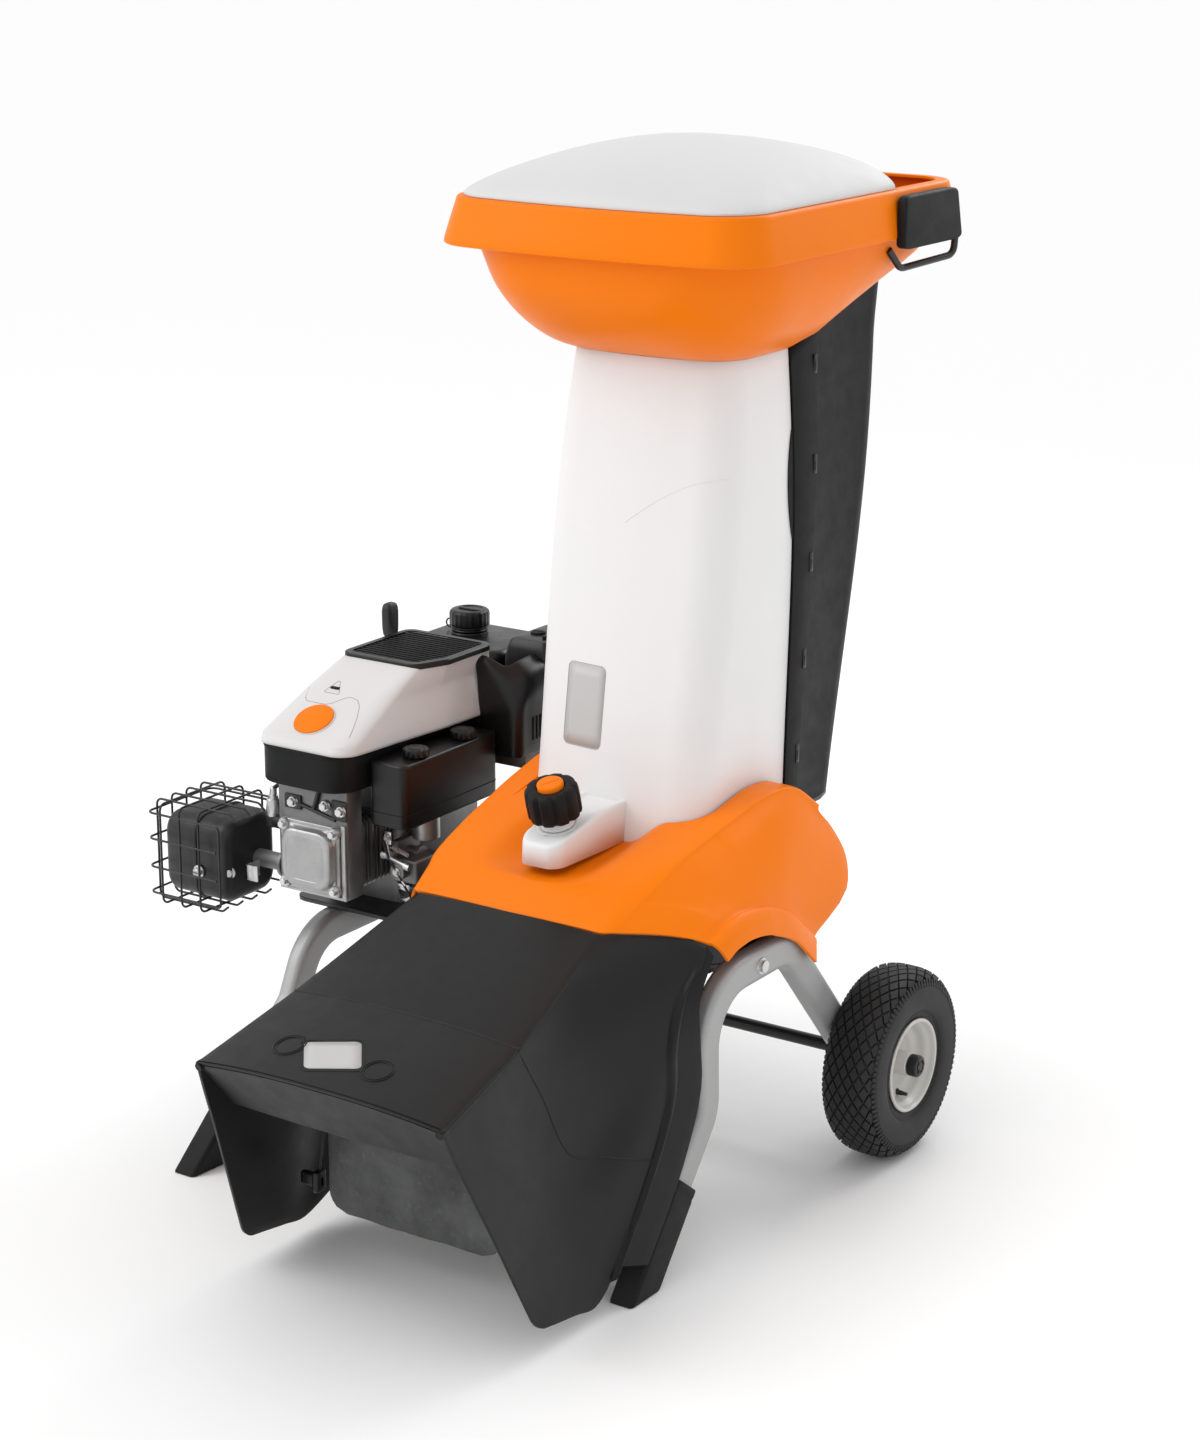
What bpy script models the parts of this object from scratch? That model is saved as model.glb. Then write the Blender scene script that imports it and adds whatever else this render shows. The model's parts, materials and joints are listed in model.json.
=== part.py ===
"""A petrol garden shredder on two wheels and two feet, built as separate pieces.

Units are metres and Z is up. X runs across the machine, the discharge hood points to -Y
and the wheel axle lies along X at Y = 0. The pieces are placed in those machine coordinates
under one empty, which then moves them so that the middle of the footprint is the origin.
"""

import math

import bmesh
import bpy
from mathutils import Matrix, Vector

# Clearances
FIT = 0.0003
RUNNING_FIT = 0.0006

# Facets round small, ordinary and large circles, and at each corner or bend
SMALL_STEPS = 18
ROUND_STEPS = 24
LARGE_STEPS = 28
WHEEL_STEPS = 24
CORNER_STEPS = 3
BEND_STEPS = 4

# Wheels and axle
TYRE_RADIUS = 0.130
TYRE_WIDTH = 0.080
BEAD_RADIUS = 0.060
RIM_WALL = 0.003
RIM_EDGE_OUT = 0.030
HUB_RADIUS = 0.0165
HUB_LENGTH = 0.062
WHEEL_X = 0.3687
AXLE_RADIUS = 0.009
AXLE_END = 0.012
CAP_RADIUS = 0.015
CAP_LENGTH = 0.0145
HUB_GAP = 0.004

# Bent frame tubes, a flattened section
TUBE_THICK = 0.028
TUBE_DEEP = 0.044
TUBE_EDGE = 0.010
FOOT_X = 0.324
FOOT_Y = -0.555
LEFT_FOOT_X = 0.362
LEFT_FOOT_Y = -0.565
KNEE_X = 0.327
ARCH_X = 0.329
AXLE_END_X = 0.306
LEFT_AXLE_END_X = 0.286
KNEE_Y = -0.406
KNEE_Z = 0.193
RIGHT_ARCH_Z = 0.352
RIGHT_ARCH_FRONT = -0.413
RIGHT_ARCH_REAR = -0.219
LEFT_ARCH_Z = 0.278
LEFT_ARCH_FRONT = -0.362
LEFT_ARCH_REAR = -0.148
ARCH_BEND = 0.080
KNEE_BEND = 0.050
SLEEVE_WALL = 0.004
SLEEVE_TOP = 0.118
SOLE_RUN = 0.25
TUBE_END_Z = 0.028
BOLT_Y = -0.297
BOLT_RADIUS = 0.004
BOLT_HEAD = 0.008
BOLT_HEAD_HEIGHT = 0.006
BOLT_TAIL = 0.008
STRAP_THICK = 0.004
STRAP_Z = 0.382
STRAP_START = 0.100

# Base plate that carries engine and chamber
PLATE_THICK = 0.006
PLATE_LEFT = -0.395
PLATE_FRONT = -0.318
PLATE_REAR = 0.050

# Feed chute, an upright tube that leans back
CHUTE_X = 0.100
CHUTE_WALL = 0.004
CHUTE_BASE_HALF = 0.132
CHUTE_TOP_HALF = 0.125
CHUTE_BASE_FRONT = -0.292
CHUTE_TOP_FRONT = -0.203
CHUTE_BASE_REAR = 0.092
CHUTE_TOP_REAR = 0.206
CHUTE_BASE_SEAM = -0.064
CHUTE_TOP_SEAM = -0.057
CHUTE_CORNER = 0.055
CHUTE_BULGE = 0.007
CHUTE_SWELL = 0.0095
CHUTE_TOP_Z = 1.084
CHUTE_REAR_TOP_Z = 1.185
SEAM_GAP = 0.00015
TRIM = 0.003
BAND_BASE = 0.031
BAND_TOP = 0.068
BAND_PROUD = 0.003
CLIP_COUNT = 5
CLIP_LOW_Z = 0.545
CLIP_HIGH_Z = 1.056

# Shredding chamber
DRUM_RADIUS = 0.170
DRUM_WALL = 0.004
DRUM_TOP_Z = 0.462
DECK_THICK = 0.006
DECK_HALF = 0.148
DECK_FRONT = -0.295
DECK_SHOULDER = -0.045
DECK_REAR = 0.134
FEED_RADIUS = 0.120
SPOUT_HALF = 0.100
SPOUT_FRONT = -0.500
SPOUT_LOW = 0.312
SPOUT_HIGH = 0.424
ROTOR_Y = -0.112

# Rotor
SHAFT_RADIUS = 0.0125
DISC_GAP = 0.011
DISC_RADIUS = DRUM_RADIUS - DRUM_WALL - DISC_GAP
DISC_THICK = 0.008
DISC_Z = 0.352
BLADE_LENGTH = 0.100
BLADE_WIDTH = 0.034
BLADE_HEIGHT = 0.006
BEARING_RADIUS = 0.026
BEARING_HEIGHT = 0.014
ROTOR_PULLEY_RADIUS = 0.056

# Engine
ENGINE_X = -0.285
ENGINE_Y = -0.175
ENGINE_PULLEY_RADIUS = 0.024
PULLEY_HEIGHT = 0.020
PULLEY_DROP = 0.040
BELT_ROOM = 0.0055
BELT_THICK = 0.006
BELT_WIDTH = 0.010
CRANK_RADIUS = 0.011
BLOCK_TOP_Z = 0.4947
BLOCK_LEFT = -0.385
BLOCK_RIGHT = -0.2403
BLOCK_FRONT = -0.265
BLOCK_REAR = -0.085
BRACKET_LEFT = -0.360
BRACKET_RIGHT = -0.160
BRACKET_REAR = 0.050
HEAD_FRONT = -0.374
HEAD_HALF = 0.059
HEAD_LOW = 0.340
HEAD_DEEP = 0.034
COVER_HALF_X = 0.050
COVER_HALF_Z = 0.048
COVER_X = -0.311
COVER_Z = 0.394
COVER_DEPTH = 0.030
SKIRT_WALL = 0.003
SKIRT_LEFT = -0.390
SKIRT_FRONT = -0.400
SKIRT_REAR = -0.062
SHROUD_BOTTOM = 0.548
SHROUD_TOP = 0.642
SHROUD_RIGHT = -0.212
GRILLE_THICK = 0.010
GRILLE_LEFT = -0.348
GRILLE_RIGHT = -0.219
GRILLE_FRONT = -0.240
GRILLE_REAR = -0.106
GRILLE_GAP = 0.0003
CORD_X = -0.383
CORD_Y = -0.105
GRIP_LOW = 0.627
BADGE_X = -0.315
FLYWHEEL_RADIUS = 0.056
FLYWHEEL_HEIGHT = 0.030
FLYWHEEL_Z = 0.552
AIR_BOX_LEFT = -0.235
AIR_BOX_RIGHT = -0.173
AIR_BOX_FRONT = -0.350
AIR_BOX_REAR = -0.140
AIR_BOX_BOTTOM = 0.445
AIR_BOX_TOP = 0.535
AIR_KNOB_RADIUS = 0.018
AIR_KNOB_HEIGHT = 0.012
AIR_KNOB_X = -0.192
AIR_KNOB_FRONT_Y = -0.300
AIR_KNOB_REAR_Y = -0.195
MUFFLER_LEFT = -0.538
MUFFLER_RIGHT = -0.422
MUFFLER_FRONT = -0.425
MUFFLER_REAR = -0.315
MUFFLER_BOTTOM = 0.312
MUFFLER_TOP = 0.432
CAGE_GAP = 0.012
CAGE_WIRE = 0.0022
SEAT = 0.0005
TANK_TOP = 0.612
CAP_X = -0.345
CAP_Y = 0.030
FUEL_CAP_RADIUS = 0.029
FUEL_CAP_HEIGHT = 0.034
TANK_LEFT = -0.405
TANK_RIGHT = -0.240
TANK_FRONT = -0.052
TANK_REAR = 0.090
CONTROL_LEFT = -0.226
CONTROL_RIGHT = -0.150
CONTROL_FRONT = -0.056
CONTROL_REAR = 0.052
CONTROL_TOP = 0.640

# Housing cover
COVER_WALL = 0.004
COVER_EDGE = 0.232
FENDER_OUT = 0.020
WING_GAP = 0.0045
RECESS_HALF = 0.043
RECESS_GAP = 0.003
RECESS_Z = 0.464

# Discharge hood
HOOD_WALL = 0.004
HOOD_FRONT_HALF = 0.180
HOOD_SHOULDER_HALF = 0.166
HOOD_REAR_HALF = CHUTE_BASE_HALF + 0.006
HOOD_TIP_HALF = 0.223
HOOD_GAP = 0.0035
CURTAIN_HALF = 0.130
CURTAIN_THICK = 0.004
CURTAIN_Y = -0.700
CURTAIN_Z = 0.334
CURTAIN_DROP = 0.265
ROD_RADIUS = 0.004
LUG_GAP = 0.002
LUG_THICK = 0.008
LUG_TOP = 0.3665
FENDER_CLEAR = 0.0045

# Hopper
RIM_BOTTOM_Z = 1.220
RIM_TOP_Z = 1.279
HOPPER_WALL = 0.0035
RIM_HALF = 0.237
RIM_FRONT = -0.334
RIM_REAR = 0.232
RIM_CORNER = 0.060
RIM_BULGE = 0.022
RIM_FLARE = 0.013
GRIP_GAP = 0.0006
GRIP_DEEP = 0.014
GRIP_FRONT = 0.020
GRIP_REAR = 0.165
DOME_RISE = 0.072
DOME_FALL = 0.024
DOME_PEAK = -0.170
DOME_REAR = 0.045
DOME_WALL = 0.003

# Lock knob
KNOB_TILT = math.radians(16.0)
KNOB_BASE_Y = -0.392
KNOB_BASE_Z = 0.5195
KNOB_RADIUS = 0.034
KNOB_HEIGHT = 0.042
COLLAR_RADIUS = 0.022
COLLAR_HEIGHT = 0.014
BUTTON_RADIUS = 0.017
BUTTON_RISE = 0.006
BUTTON_TRAVEL = 0.004
BUTTON_DEPTH = 0.014
SPINDLE_RADIUS = 0.006
SPINDLE_DROP = 0.036
BOSS_HALF = 0.036
BOSS_FRONT = -0.440
BOSS_REAR = -0.279
BOSS_CREST = -0.366
BOSS_REAR_TOP = 0.530
BOSS_LOW = 0.476

# Chute hinge
HINGE_Y = 0.112
HINGE_Z = 0.484
HINGE_PIN_RADIUS = 0.005
LUG_X = 0.070
LUG_WIDE = 0.014


def material(name, colour, roughness, metallic=0.0):
    """A Principled material, made once for each name."""
    found = bpy.data.materials.get(name)
    if found:
        return found
    made = bpy.data.materials.new(name)
    made.use_nodes = True
    shader = made.node_tree.nodes["Principled BSDF"]
    shader.inputs["Base Color"].default_value = (*colour, 1.0)
    shader.inputs["Roughness"].default_value = roughness
    shader.inputs["Metallic"].default_value = metallic
    made.diffuse_color = (*colour, 1.0)
    return made


def orange():
    return material("orange_shell", (0.90, 0.22, 0.01), 0.35)


def white():
    return material("white_shell", (0.72, 0.72, 0.73), 0.35)


def black():
    return material("black_plastic", (0.035, 0.036, 0.037), 0.5)


def rubber():
    return material("rubber", (0.02, 0.02, 0.021), 0.8)


def silver():
    return material("silver_paint", (0.50, 0.51, 0.52), 0.4, 0.3)


def steel():
    return material("bare_steel", (0.55, 0.56, 0.57), 0.35, 1.0)


def cast():
    return material("cast_metal", (0.06, 0.062, 0.065), 0.55, 0.6)


def keep(name, bm, look, smooth=30.0):
    """Turn a bmesh into a named object whose faces point out."""
    bmesh.ops.recalc_face_normals(bm, faces=bm.faces)
    mesh = bpy.data.meshes.new(name)
    bm.to_mesh(mesh)
    bm.free()
    mesh.shade_smooth()
    mesh.set_sharp_from_angle(angle=math.radians(smooth))
    made = bpy.data.objects.new(name, mesh)
    bpy.context.scene.collection.objects.link(made)
    made.data.materials.append(look)
    made.parent = bpy.data.objects["shredder"]
    return made


def cutter(name, bm):
    """A hidden shape that only cuts or joins."""
    made = keep(name, bm, black())
    made.hide_render = True
    made.display_type = "WIRE"
    return made


def boolean(target, tool, operation="DIFFERENCE"):
    """Cut a tool from a target, or join it, with the exact solver."""
    step = target.modifiers.new(tool.name, "BOOLEAN")
    step.operation = operation
    step.solver = "EXACT"
    step.object = tool
    tool.hide_render = True
    tool.display_type = "WIRE"
    return step


def solidify(target, wall, inward=True):
    """Give an open sheet its wall."""
    step = target.modifiers.new("wall", "SOLIDIFY")
    step.thickness = wall
    step.offset = -1.0 if inward else 1.0
    step.use_even_offset = True
    step.use_rim = True
    return step


def sheet(bm, rows, closed=False):
    """Faces between rows of points. A closed row joins its last point to its first."""
    made = [[bm.verts.new(p) for p in row] for row in rows]
    for near, far in zip(made, made[1:]):
        count = len(near)
        for i in range(count if closed else count - 1):
            j = (i + 1) % count
            bm.faces.new((near[i], near[j], far[j], far[i]))
    return made


def loft(rows):
    """A closed solid through rings of points, with flat ends."""
    bm = bmesh.new()
    made = sheet(bm, rows, closed=True)
    bm.faces.new(made[0])
    bm.faces.new(list(reversed(made[-1])))
    return bm


def box(low, high, bevel=0.0, segments=2):
    """A block between two corners, with rounded edges."""
    bm = bmesh.new()
    bmesh.ops.create_cube(bm, size=1.0)
    low, high = Vector(low), Vector(high)
    bmesh.ops.scale(bm, vec=high - low, verts=bm.verts)
    bmesh.ops.translate(bm, vec=(low + high) / 2, verts=bm.verts)
    if bevel:
        bmesh.ops.bevel(bm, geom=bm.edges[:], offset=bevel, segments=segments, profile=0.5,
                        affect="EDGES")
    return bm


def aim(axis):
    """The rotation that takes +Z to an axis."""
    return Vector((0, 0, 1)).rotation_difference(Vector(axis)).to_matrix().to_4x4()


def turned(profile, at, axis=(0, 0, 1), steps=ROUND_STEPS):
    """A solid of revolution from (radius, height) pairs, along an axis from a point."""
    rings = []
    for radius, height in profile:
        ring = []
        for i in range(steps):
            turn = 2 * math.pi * (i + 0.5) / steps
            ring.append(Vector((radius * math.cos(turn), radius * math.sin(turn), height)))
        rings.append(ring)
    bm = loft(rings)
    bmesh.ops.transform(bm, matrix=Matrix.Translation(at) @ aim(axis), verts=bm.verts)
    return bm


def ring_solid(profile, at, axis=(0, 0, 1), steps=ROUND_STEPS, start=0.5):
    """A turned ring from a closed loop of (radius, height) pairs."""
    bm = bmesh.new()
    rows = []
    for i in range(steps):
        turn = 2 * math.pi * (i + start) / steps
        c, s = math.cos(turn), math.sin(turn)
        rows.append([bm.verts.new((r * c, r * s, h)) for r, h in profile])
    count = len(profile)
    for i in range(steps):
        near, far = rows[i], rows[(i + 1) % steps]
        for k in range(count):
            j = (k + 1) % count
            bm.faces.new((near[k], near[j], far[j], far[k]))
    bmesh.ops.transform(bm, matrix=Matrix.Translation(at) @ aim(axis), verts=bm.verts)
    return bm


def arc_point(centre, radius, turn):
    return (centre[0] + radius * math.cos(turn), centre[1] + radius * math.sin(turn))


def rounded_rectangle(left, right, front, rear, corner, steps=CORNER_STEPS):
    """Plan outline, anticlockwise from the front right corner."""
    out = []
    centres = (
        ((right - corner, front + corner), -0.5 * math.pi),
        ((right - corner, rear - corner), 0.0),
        ((left + corner, rear - corner), 0.5 * math.pi),
        ((left + corner, front + corner), math.pi),
    )
    for centre, start in centres:
        for i in range(steps + 1):
            out.append(arc_point(centre, corner, start + 0.5 * math.pi * i / steps))
    return out


def rounded_path(points, radii, steps=BEND_STEPS):
    """A path through corner points, with an arc at each inner corner."""
    points = [Vector(p) for p in points]
    out = [points[0]]
    for before, corner, after, radius in zip(points, points[1:], points[2:], radii):
        a = (before - corner).normalized()
        b = (after - corner).normalized()
        half = a.angle(b) / 2
        reach = radius / math.tan(half)
        middle = corner + (a + b).normalized() * (radius / math.sin(half))
        start = corner + a * reach - middle
        end = corner + b * reach - middle
        for i in range(steps + 1):
            out.append(middle + start.slerp(end, i / steps).normalized() * radius)
    out.append(points[-1])
    return out


def tube_section(thick, deep, edge, steps=2):
    """Closed section of the flattened tube: x is across the machine, y is in its plane."""
    return rounded_rectangle(-thick / 2, thick / 2, -deep / 2, deep / 2, edge, steps)


def swept(path, section, side=Vector((1, 0, 0))):
    """Carry a section along a path. Its x lies along side, its y square to the path."""
    rows = []
    for i, at in enumerate(path):
        before = path[max(i - 1, 0)]
        after = path[min(i + 1, len(path) - 1)]
        along = Vector(after) - Vector(before)
        if 0 < i < len(path) - 1:
            along = (Vector(at) - before).normalized() + (Vector(after) - at).normalized()
        along.normalize()
        across = (side - along * side.dot(along)).normalized()
        up = along.cross(across)
        rows.append([Vector(at) + across * x + up * y for x, y in section])
    return loft(rows)


def round_section(radius, sides):
    return [arc_point((0, 0), radius, 2 * math.pi * (i + 0.5) / sides) for i in range(sides)]


def lerp(a, b, t):
    return a + (b - a) * t


# Frame


def sole_centre(side):
    if side > 0:
        return Vector((FOOT_X, FOOT_Y, 0.0))
    return Vector((-LEFT_FOOT_X, LEFT_FOOT_Y, 0.0))


def axle_end(side):
    """Where the tube's centre line meets the axle."""
    return Vector((AXLE_END_X if side > 0 else -LEFT_AXLE_END_X, 0.0, TYRE_RADIUS))


def leg_path(side, arch_front, arch_rear, arch_z):
    """Centre line of a bent tube, from the foot over the arch and down to the axle."""
    knee = Vector((side * KNEE_X, KNEE_Y, KNEE_Z))
    start = sole_centre(side).lerp(knee, TUBE_END_Z / KNEE_Z)
    axle = axle_end(side)
    last = Vector((side * ARCH_X, arch_rear, arch_z))
    end = axle + (axle - last).normalized() * TUBE_DEEP / 2
    corners = [start, knee, (side * ARCH_X, arch_front, arch_z), last, end]
    return rounded_path(corners, (KNEE_BEND, ARCH_BEND, ARCH_BEND))


def frame_tube(name, side, arch_front, arch_rear, arch_z):
    section = tube_section(TUBE_THICK, TUBE_DEEP, TUBE_EDGE)
    made = keep(name, swept(leg_path(side, arch_front, arch_rear, arch_z), section), silver())
    bore = turned([(AXLE_RADIUS + FIT, -TUBE_THICK), (AXLE_RADIUS + FIT, TUBE_THICK)],
                  axle_end(side), (side, 0, 0), 16)
    boolean(made, cutter(name + "_bore", bore))
    return made


def bolt_place():
    return Vector((ARCH_X, BOLT_Y, RIGHT_ARCH_Z))


def frame_bolt():
    """The through bolt that joins the right tube to the chamber's strap."""
    face = TUBE_THICK / 2 + FIT
    profile = [(BOLT_RADIUS, -face - STRAP_THICK - BOLT_TAIL), (BOLT_RADIUS, face),
               (BOLT_HEAD, face), (BOLT_HEAD, face + BOLT_HEAD_HEIGHT)]
    return keep("frame_bolt_right", turned(profile, bolt_place(), (1, 0, 0), 12), steel())


def foot(name, side):
    """A plastic shoe around the lower end of a tube, with a flat sole."""
    knee = Vector((side * KNEE_X, KNEE_Y, KNEE_Z))
    sole = sole_centre(side)
    low = sole.lerp(knee, -SOLE_RUN)
    high = sole.lerp(knee, SLEEVE_TOP / KNEE_Z)
    wide = tube_section(TUBE_THICK + 2 * SLEEVE_WALL, TUBE_DEEP + 2 * SLEEVE_WALL,
                        TUBE_EDGE + SLEEVE_WALL)
    made = keep(name, swept([low, high], wide), black())
    start = sole.lerp(knee, TUBE_END_Z / KNEE_Z)
    step = (knee - sole).normalized() * FIT
    socket = tube_section(TUBE_THICK + 2 * FIT, TUBE_DEEP + 2 * FIT, TUBE_EDGE + FIT)
    above = sole.lerp(knee, 1.2 * SLEEVE_TOP / KNEE_Z)
    boolean(made, cutter(name + "_socket", swept([start - step, above], socket)))
    under = box((sole.x - 0.1, sole.y - 0.2, -0.2), (sole.x + 0.1, sole.y + 0.2, 0))
    boolean(made, cutter(name + "_ground", under))
    return made


def axle():
    reach = WHEEL_X + HUB_LENGTH / 2 + AXLE_END
    profile = [(AXLE_RADIUS, -reach), (AXLE_RADIUS, reach)]
    return keep("axle", turned(profile, (0, 0, TYRE_RADIUS), (1, 0, 0), SMALL_STEPS), cast())


def wheel(suffix, side):
    """Tyre and rim on one side, each turned about the axle."""
    centre = Vector((side * WHEEL_X, 0, TYRE_RADIUS))
    half = TYRE_WIDTH / 2
    tread = TYRE_RADIUS
    profile = [
        (BEAD_RADIUS + FIT, -RIM_EDGE_OUT),
        (BEAD_RADIUS + 0.010, -RIM_EDGE_OUT - 0.004),
        (BEAD_RADIUS + 0.026, -half),
        (tread - 0.026, -half),
        (tread - 0.012, -half + 0.003),
        (tread - 0.003, -half + 0.013),
        (tread, -half + 0.028),
        (tread, half - 0.028),
        (tread - 0.003, half - 0.013),
        (tread - 0.012, half - 0.003),
        (tread - 0.026, half),
        (BEAD_RADIUS + 0.026, half),
        (BEAD_RADIUS + 0.010, RIM_EDGE_OUT + 0.004),
        (BEAD_RADIUS + FIT, RIM_EDGE_OUT),
    ]
    keep("tyre_" + suffix, ring_solid(profile, centre, (side, 0, 0), WHEEL_STEPS, 0.0), rubber(),
         40.0)
    bore = AXLE_RADIUS + RUNNING_FIT
    inner = abs(axle_end(side).x) + TUBE_THICK / 2 + HUB_GAP - WHEEL_X
    outer = HUB_LENGTH / 2
    wall = BEAD_RADIUS - RIM_WALL
    web = RIM_WALL
    profile = [
        (bore, inner), (HUB_RADIUS, inner), (HUB_RADIUS, -web), (wall - 0.010, -web),
        (wall, -0.014), (wall, -RIM_EDGE_OUT), (BEAD_RADIUS, -RIM_EDGE_OUT),
        (BEAD_RADIUS, RIM_EDGE_OUT), (wall, RIM_EDGE_OUT), (wall, 0.014),
        (wall - 0.010, web), (HUB_RADIUS, web), (HUB_RADIUS, outer), (bore, outer),
    ]
    keep("rim_" + suffix, ring_solid(profile, centre, (side, 0, 0), WHEEL_STEPS, 0.0), silver())
    start = outer + RUNNING_FIT
    profile = [
        (AXLE_RADIUS + FIT, start), (CAP_RADIUS, start), (CAP_RADIUS, start + CAP_LENGTH - 0.003),
        (CAP_RADIUS - 0.003, start + CAP_LENGTH), (0.001, start + CAP_LENGTH),
        (0.001, start + AXLE_END), (AXLE_RADIUS + FIT, start + AXLE_END),
    ]
    made = keep("axle_cap_" + suffix, ring_solid(profile, centre, (side, 0, 0), SMALL_STEPS), black())
    return made


def plate():
    """The base plate, with holes for both shafts."""
    low = (PLATE_LEFT, PLATE_FRONT, plate_bottom())
    high = (CHUTE_X, PLATE_REAR, plate_bottom() + PLATE_THICK)
    bm = loft([[(x, y, z) for x, y in rounded_rectangle(low[0], high[0], low[1], high[1], 0.02)]
               for z in (low[2], high[2])])
    made = keep("engine_plate", bm, black())
    under_drum = turned([(DRUM_RADIUS, low[2]), (DRUM_RADIUS, high[2])],
                        (CHUTE_X, ROTOR_Y, 0), steps=LARGE_STEPS)
    boolean(made, cutter("plate_round", under_drum), "UNION")
    reach = 0.02
    for name, x, y, radius in (("crank", ENGINE_X, ENGINE_Y, CRANK_RADIUS),
                               ("rotor", CHUTE_X, ROTOR_Y, SHAFT_RADIUS)):
        radius += RUNNING_FIT
        hole = turned([(radius, -reach), (radius, reach)], (x, y, low[2]), (0, 0, 1), SMALL_STEPS)
        boolean(made, cutter("plate_hole_" + name, hole))
    return made


def plate_bottom():
    return LEFT_ARCH_Z + TUBE_DEEP / 2 + FIT


def plate_top():
    return plate_bottom() + PLATE_THICK


# Shredding chamber and rotor


def chamber():
    """Drum, deck, discharge spout and the strap to the right tube, one welded piece."""
    x, y = CHUTE_X, ROTOR_Y
    top = DRUM_TOP_Z + DECK_THICK
    low = plate_top() + FIT
    inner = DRUM_RADIUS - DRUM_WALL
    profile = [(DRUM_RADIUS, low), (DRUM_RADIUS, top - 0.001), (FEED_RADIUS, top - 0.001),
               (FEED_RADIUS, DRUM_TOP_Z), (inner, DRUM_TOP_Z), (inner, low)]
    made = keep("chamber", ring_solid(profile, (x, y, 0), steps=LARGE_STEPS), cast())
    for name, half, front, rear, corner in (
            ("deck_front", DECK_HALF, DECK_FRONT, DECK_SHOULDER, 0.020),
            ("deck_rear", CHUTE_BASE_HALF, DECK_FRONT + 0.030, CHUTE_BASE_REAR, CHUTE_CORNER),
            ("deck_tongue", LUG_X + 0.005, CHUTE_BASE_REAR - 0.030, DECK_REAR, 0.010)):
        plan = rounded_rectangle(x - half, x + half, front, rear, corner)
        deck = [[(px, py, z) for px, py in plan] for z in (DRUM_TOP_Z, top)]
        boolean(made, cutter(name, loft(deck)), "UNION")
    feed = turned([(FEED_RADIUS, DRUM_TOP_Z - 0.02), (FEED_RADIUS, top + 0.02)], (x, y, 0),
                  steps=LARGE_STEPS)
    boolean(made, cutter("feed_hole", feed))
    spout = box((x - SPOUT_HALF, SPOUT_FRONT, SPOUT_LOW), (x + SPOUT_HALF, y - inner + 0.02,
                                                         SPOUT_HIGH))
    boolean(made, cutter("spout", spout), "UNION")
    hollow = box((x - SPOUT_HALF + DRUM_WALL, SPOUT_FRONT - 0.02, SPOUT_LOW + DRUM_WALL),
                 (x + SPOUT_HALF - DRUM_WALL, y - 0.05, SPOUT_HIGH - DRUM_WALL))
    boolean(made, cutter("spout_hollow", hollow))
    face = ARCH_X - TUBE_THICK / 2 - FIT
    shelf = box((x + STRAP_START, BOLT_Y - 0.03, STRAP_Z),
                (face, BOLT_Y + 0.14, STRAP_Z + STRAP_THICK))
    boolean(made, cutter("strap_shelf", shelf), "UNION")
    inside = turned([(inner, SPOUT_LOW - 0.02), (inner, SPOUT_HIGH + 0.02)], (x, y, 0), steps=LARGE_STEPS)
    boolean(made, cutter("drum_hollow", inside))
    web = box((face - STRAP_THICK, BOLT_Y - 0.03, RIGHT_ARCH_Z - 0.016),
              (face, BOLT_Y + 0.05, STRAP_Z + STRAP_THICK / 2))
    boolean(made, cutter("strap_web", web), "UNION")
    hole = turned([(BOLT_RADIUS + FIT, -0.04), (BOLT_RADIUS + FIT, 0.04)], bolt_place(),
                  (1, 0, 0), 12)
    boolean(made, cutter("bolt_hole", hole))
    boolean(bpy.data.objects["frame_tube_right"], bpy.data.objects["bolt_hole"])
    return made


def rotor():
    """Shaft, bearing, disc and the two knives."""
    x, y = CHUTE_X, ROTOR_Y
    low = plate_top() + FIT
    top = DISC_Z + DISC_THICK + BLADE_HEIGHT + 0.012
    shaft = [(SHAFT_RADIUS, pulley_low() - 0.004), (SHAFT_RADIUS, top)]
    keep("rotor_shaft", turned(shaft, (x, y, 0), steps=SMALL_STEPS), steel())
    bore = SHAFT_RADIUS + FIT
    profile = [(bore, low), (BEARING_RADIUS, low), (BEARING_RADIUS, low + BEARING_HEIGHT),
               (bore, low + BEARING_HEIGHT)]
    keep("rotor_bearing", ring_solid(profile, (x, y, 0)), steel())
    hub = SHAFT_RADIUS + 0.014
    profile = [(bore, low + BEARING_HEIGHT + RUNNING_FIT), (hub, low + BEARING_HEIGHT + RUNNING_FIT),
               (hub, DISC_Z), (DISC_RADIUS, DISC_Z), (DISC_RADIUS, DISC_Z + DISC_THICK),
               (bore, DISC_Z + DISC_THICK)]
    keep("blade_disc", ring_solid(profile, (x, y, 0), steps=LARGE_STEPS), steel())
    for i, side in enumerate((1, -1)):
        inner = SHAFT_RADIUS + 0.020
        near, far = x + side * inner, x + side * (inner + BLADE_LENGTH)
        z = DISC_Z + DISC_THICK + FIT
        bm = box((min(near, far), y - BLADE_WIDTH / 2, z),
                 (max(near, far), y + BLADE_WIDTH / 2, z + BLADE_HEIGHT))
        for v in bm.verts:
            if v.co.z > z + FIT and side * (v.co.y - y) > 0:
                v.co.y -= side * 0.008
        keep("blade_%d" % (i + 1), bm, steel())


def pulley_low():
    return plate_bottom() - PULLEY_DROP


def pulley(name, x, y, radius, bore):
    """A V pulley; the belt sits on the groove's flanks."""
    z = pulley_low()
    deep = radius - BELT_THICK
    profile = [
        (bore, z), (radius, z), (radius, z + 0.003), (deep, z + 0.007),
        (deep, z + PULLEY_HEIGHT - 0.007), (radius, z + PULLEY_HEIGHT - 0.003),
        (radius, z + PULLEY_HEIGHT), (bore, z + PULLEY_HEIGHT),
    ]
    keep(name, ring_solid(profile, (x, y, 0)), steel())


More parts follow.
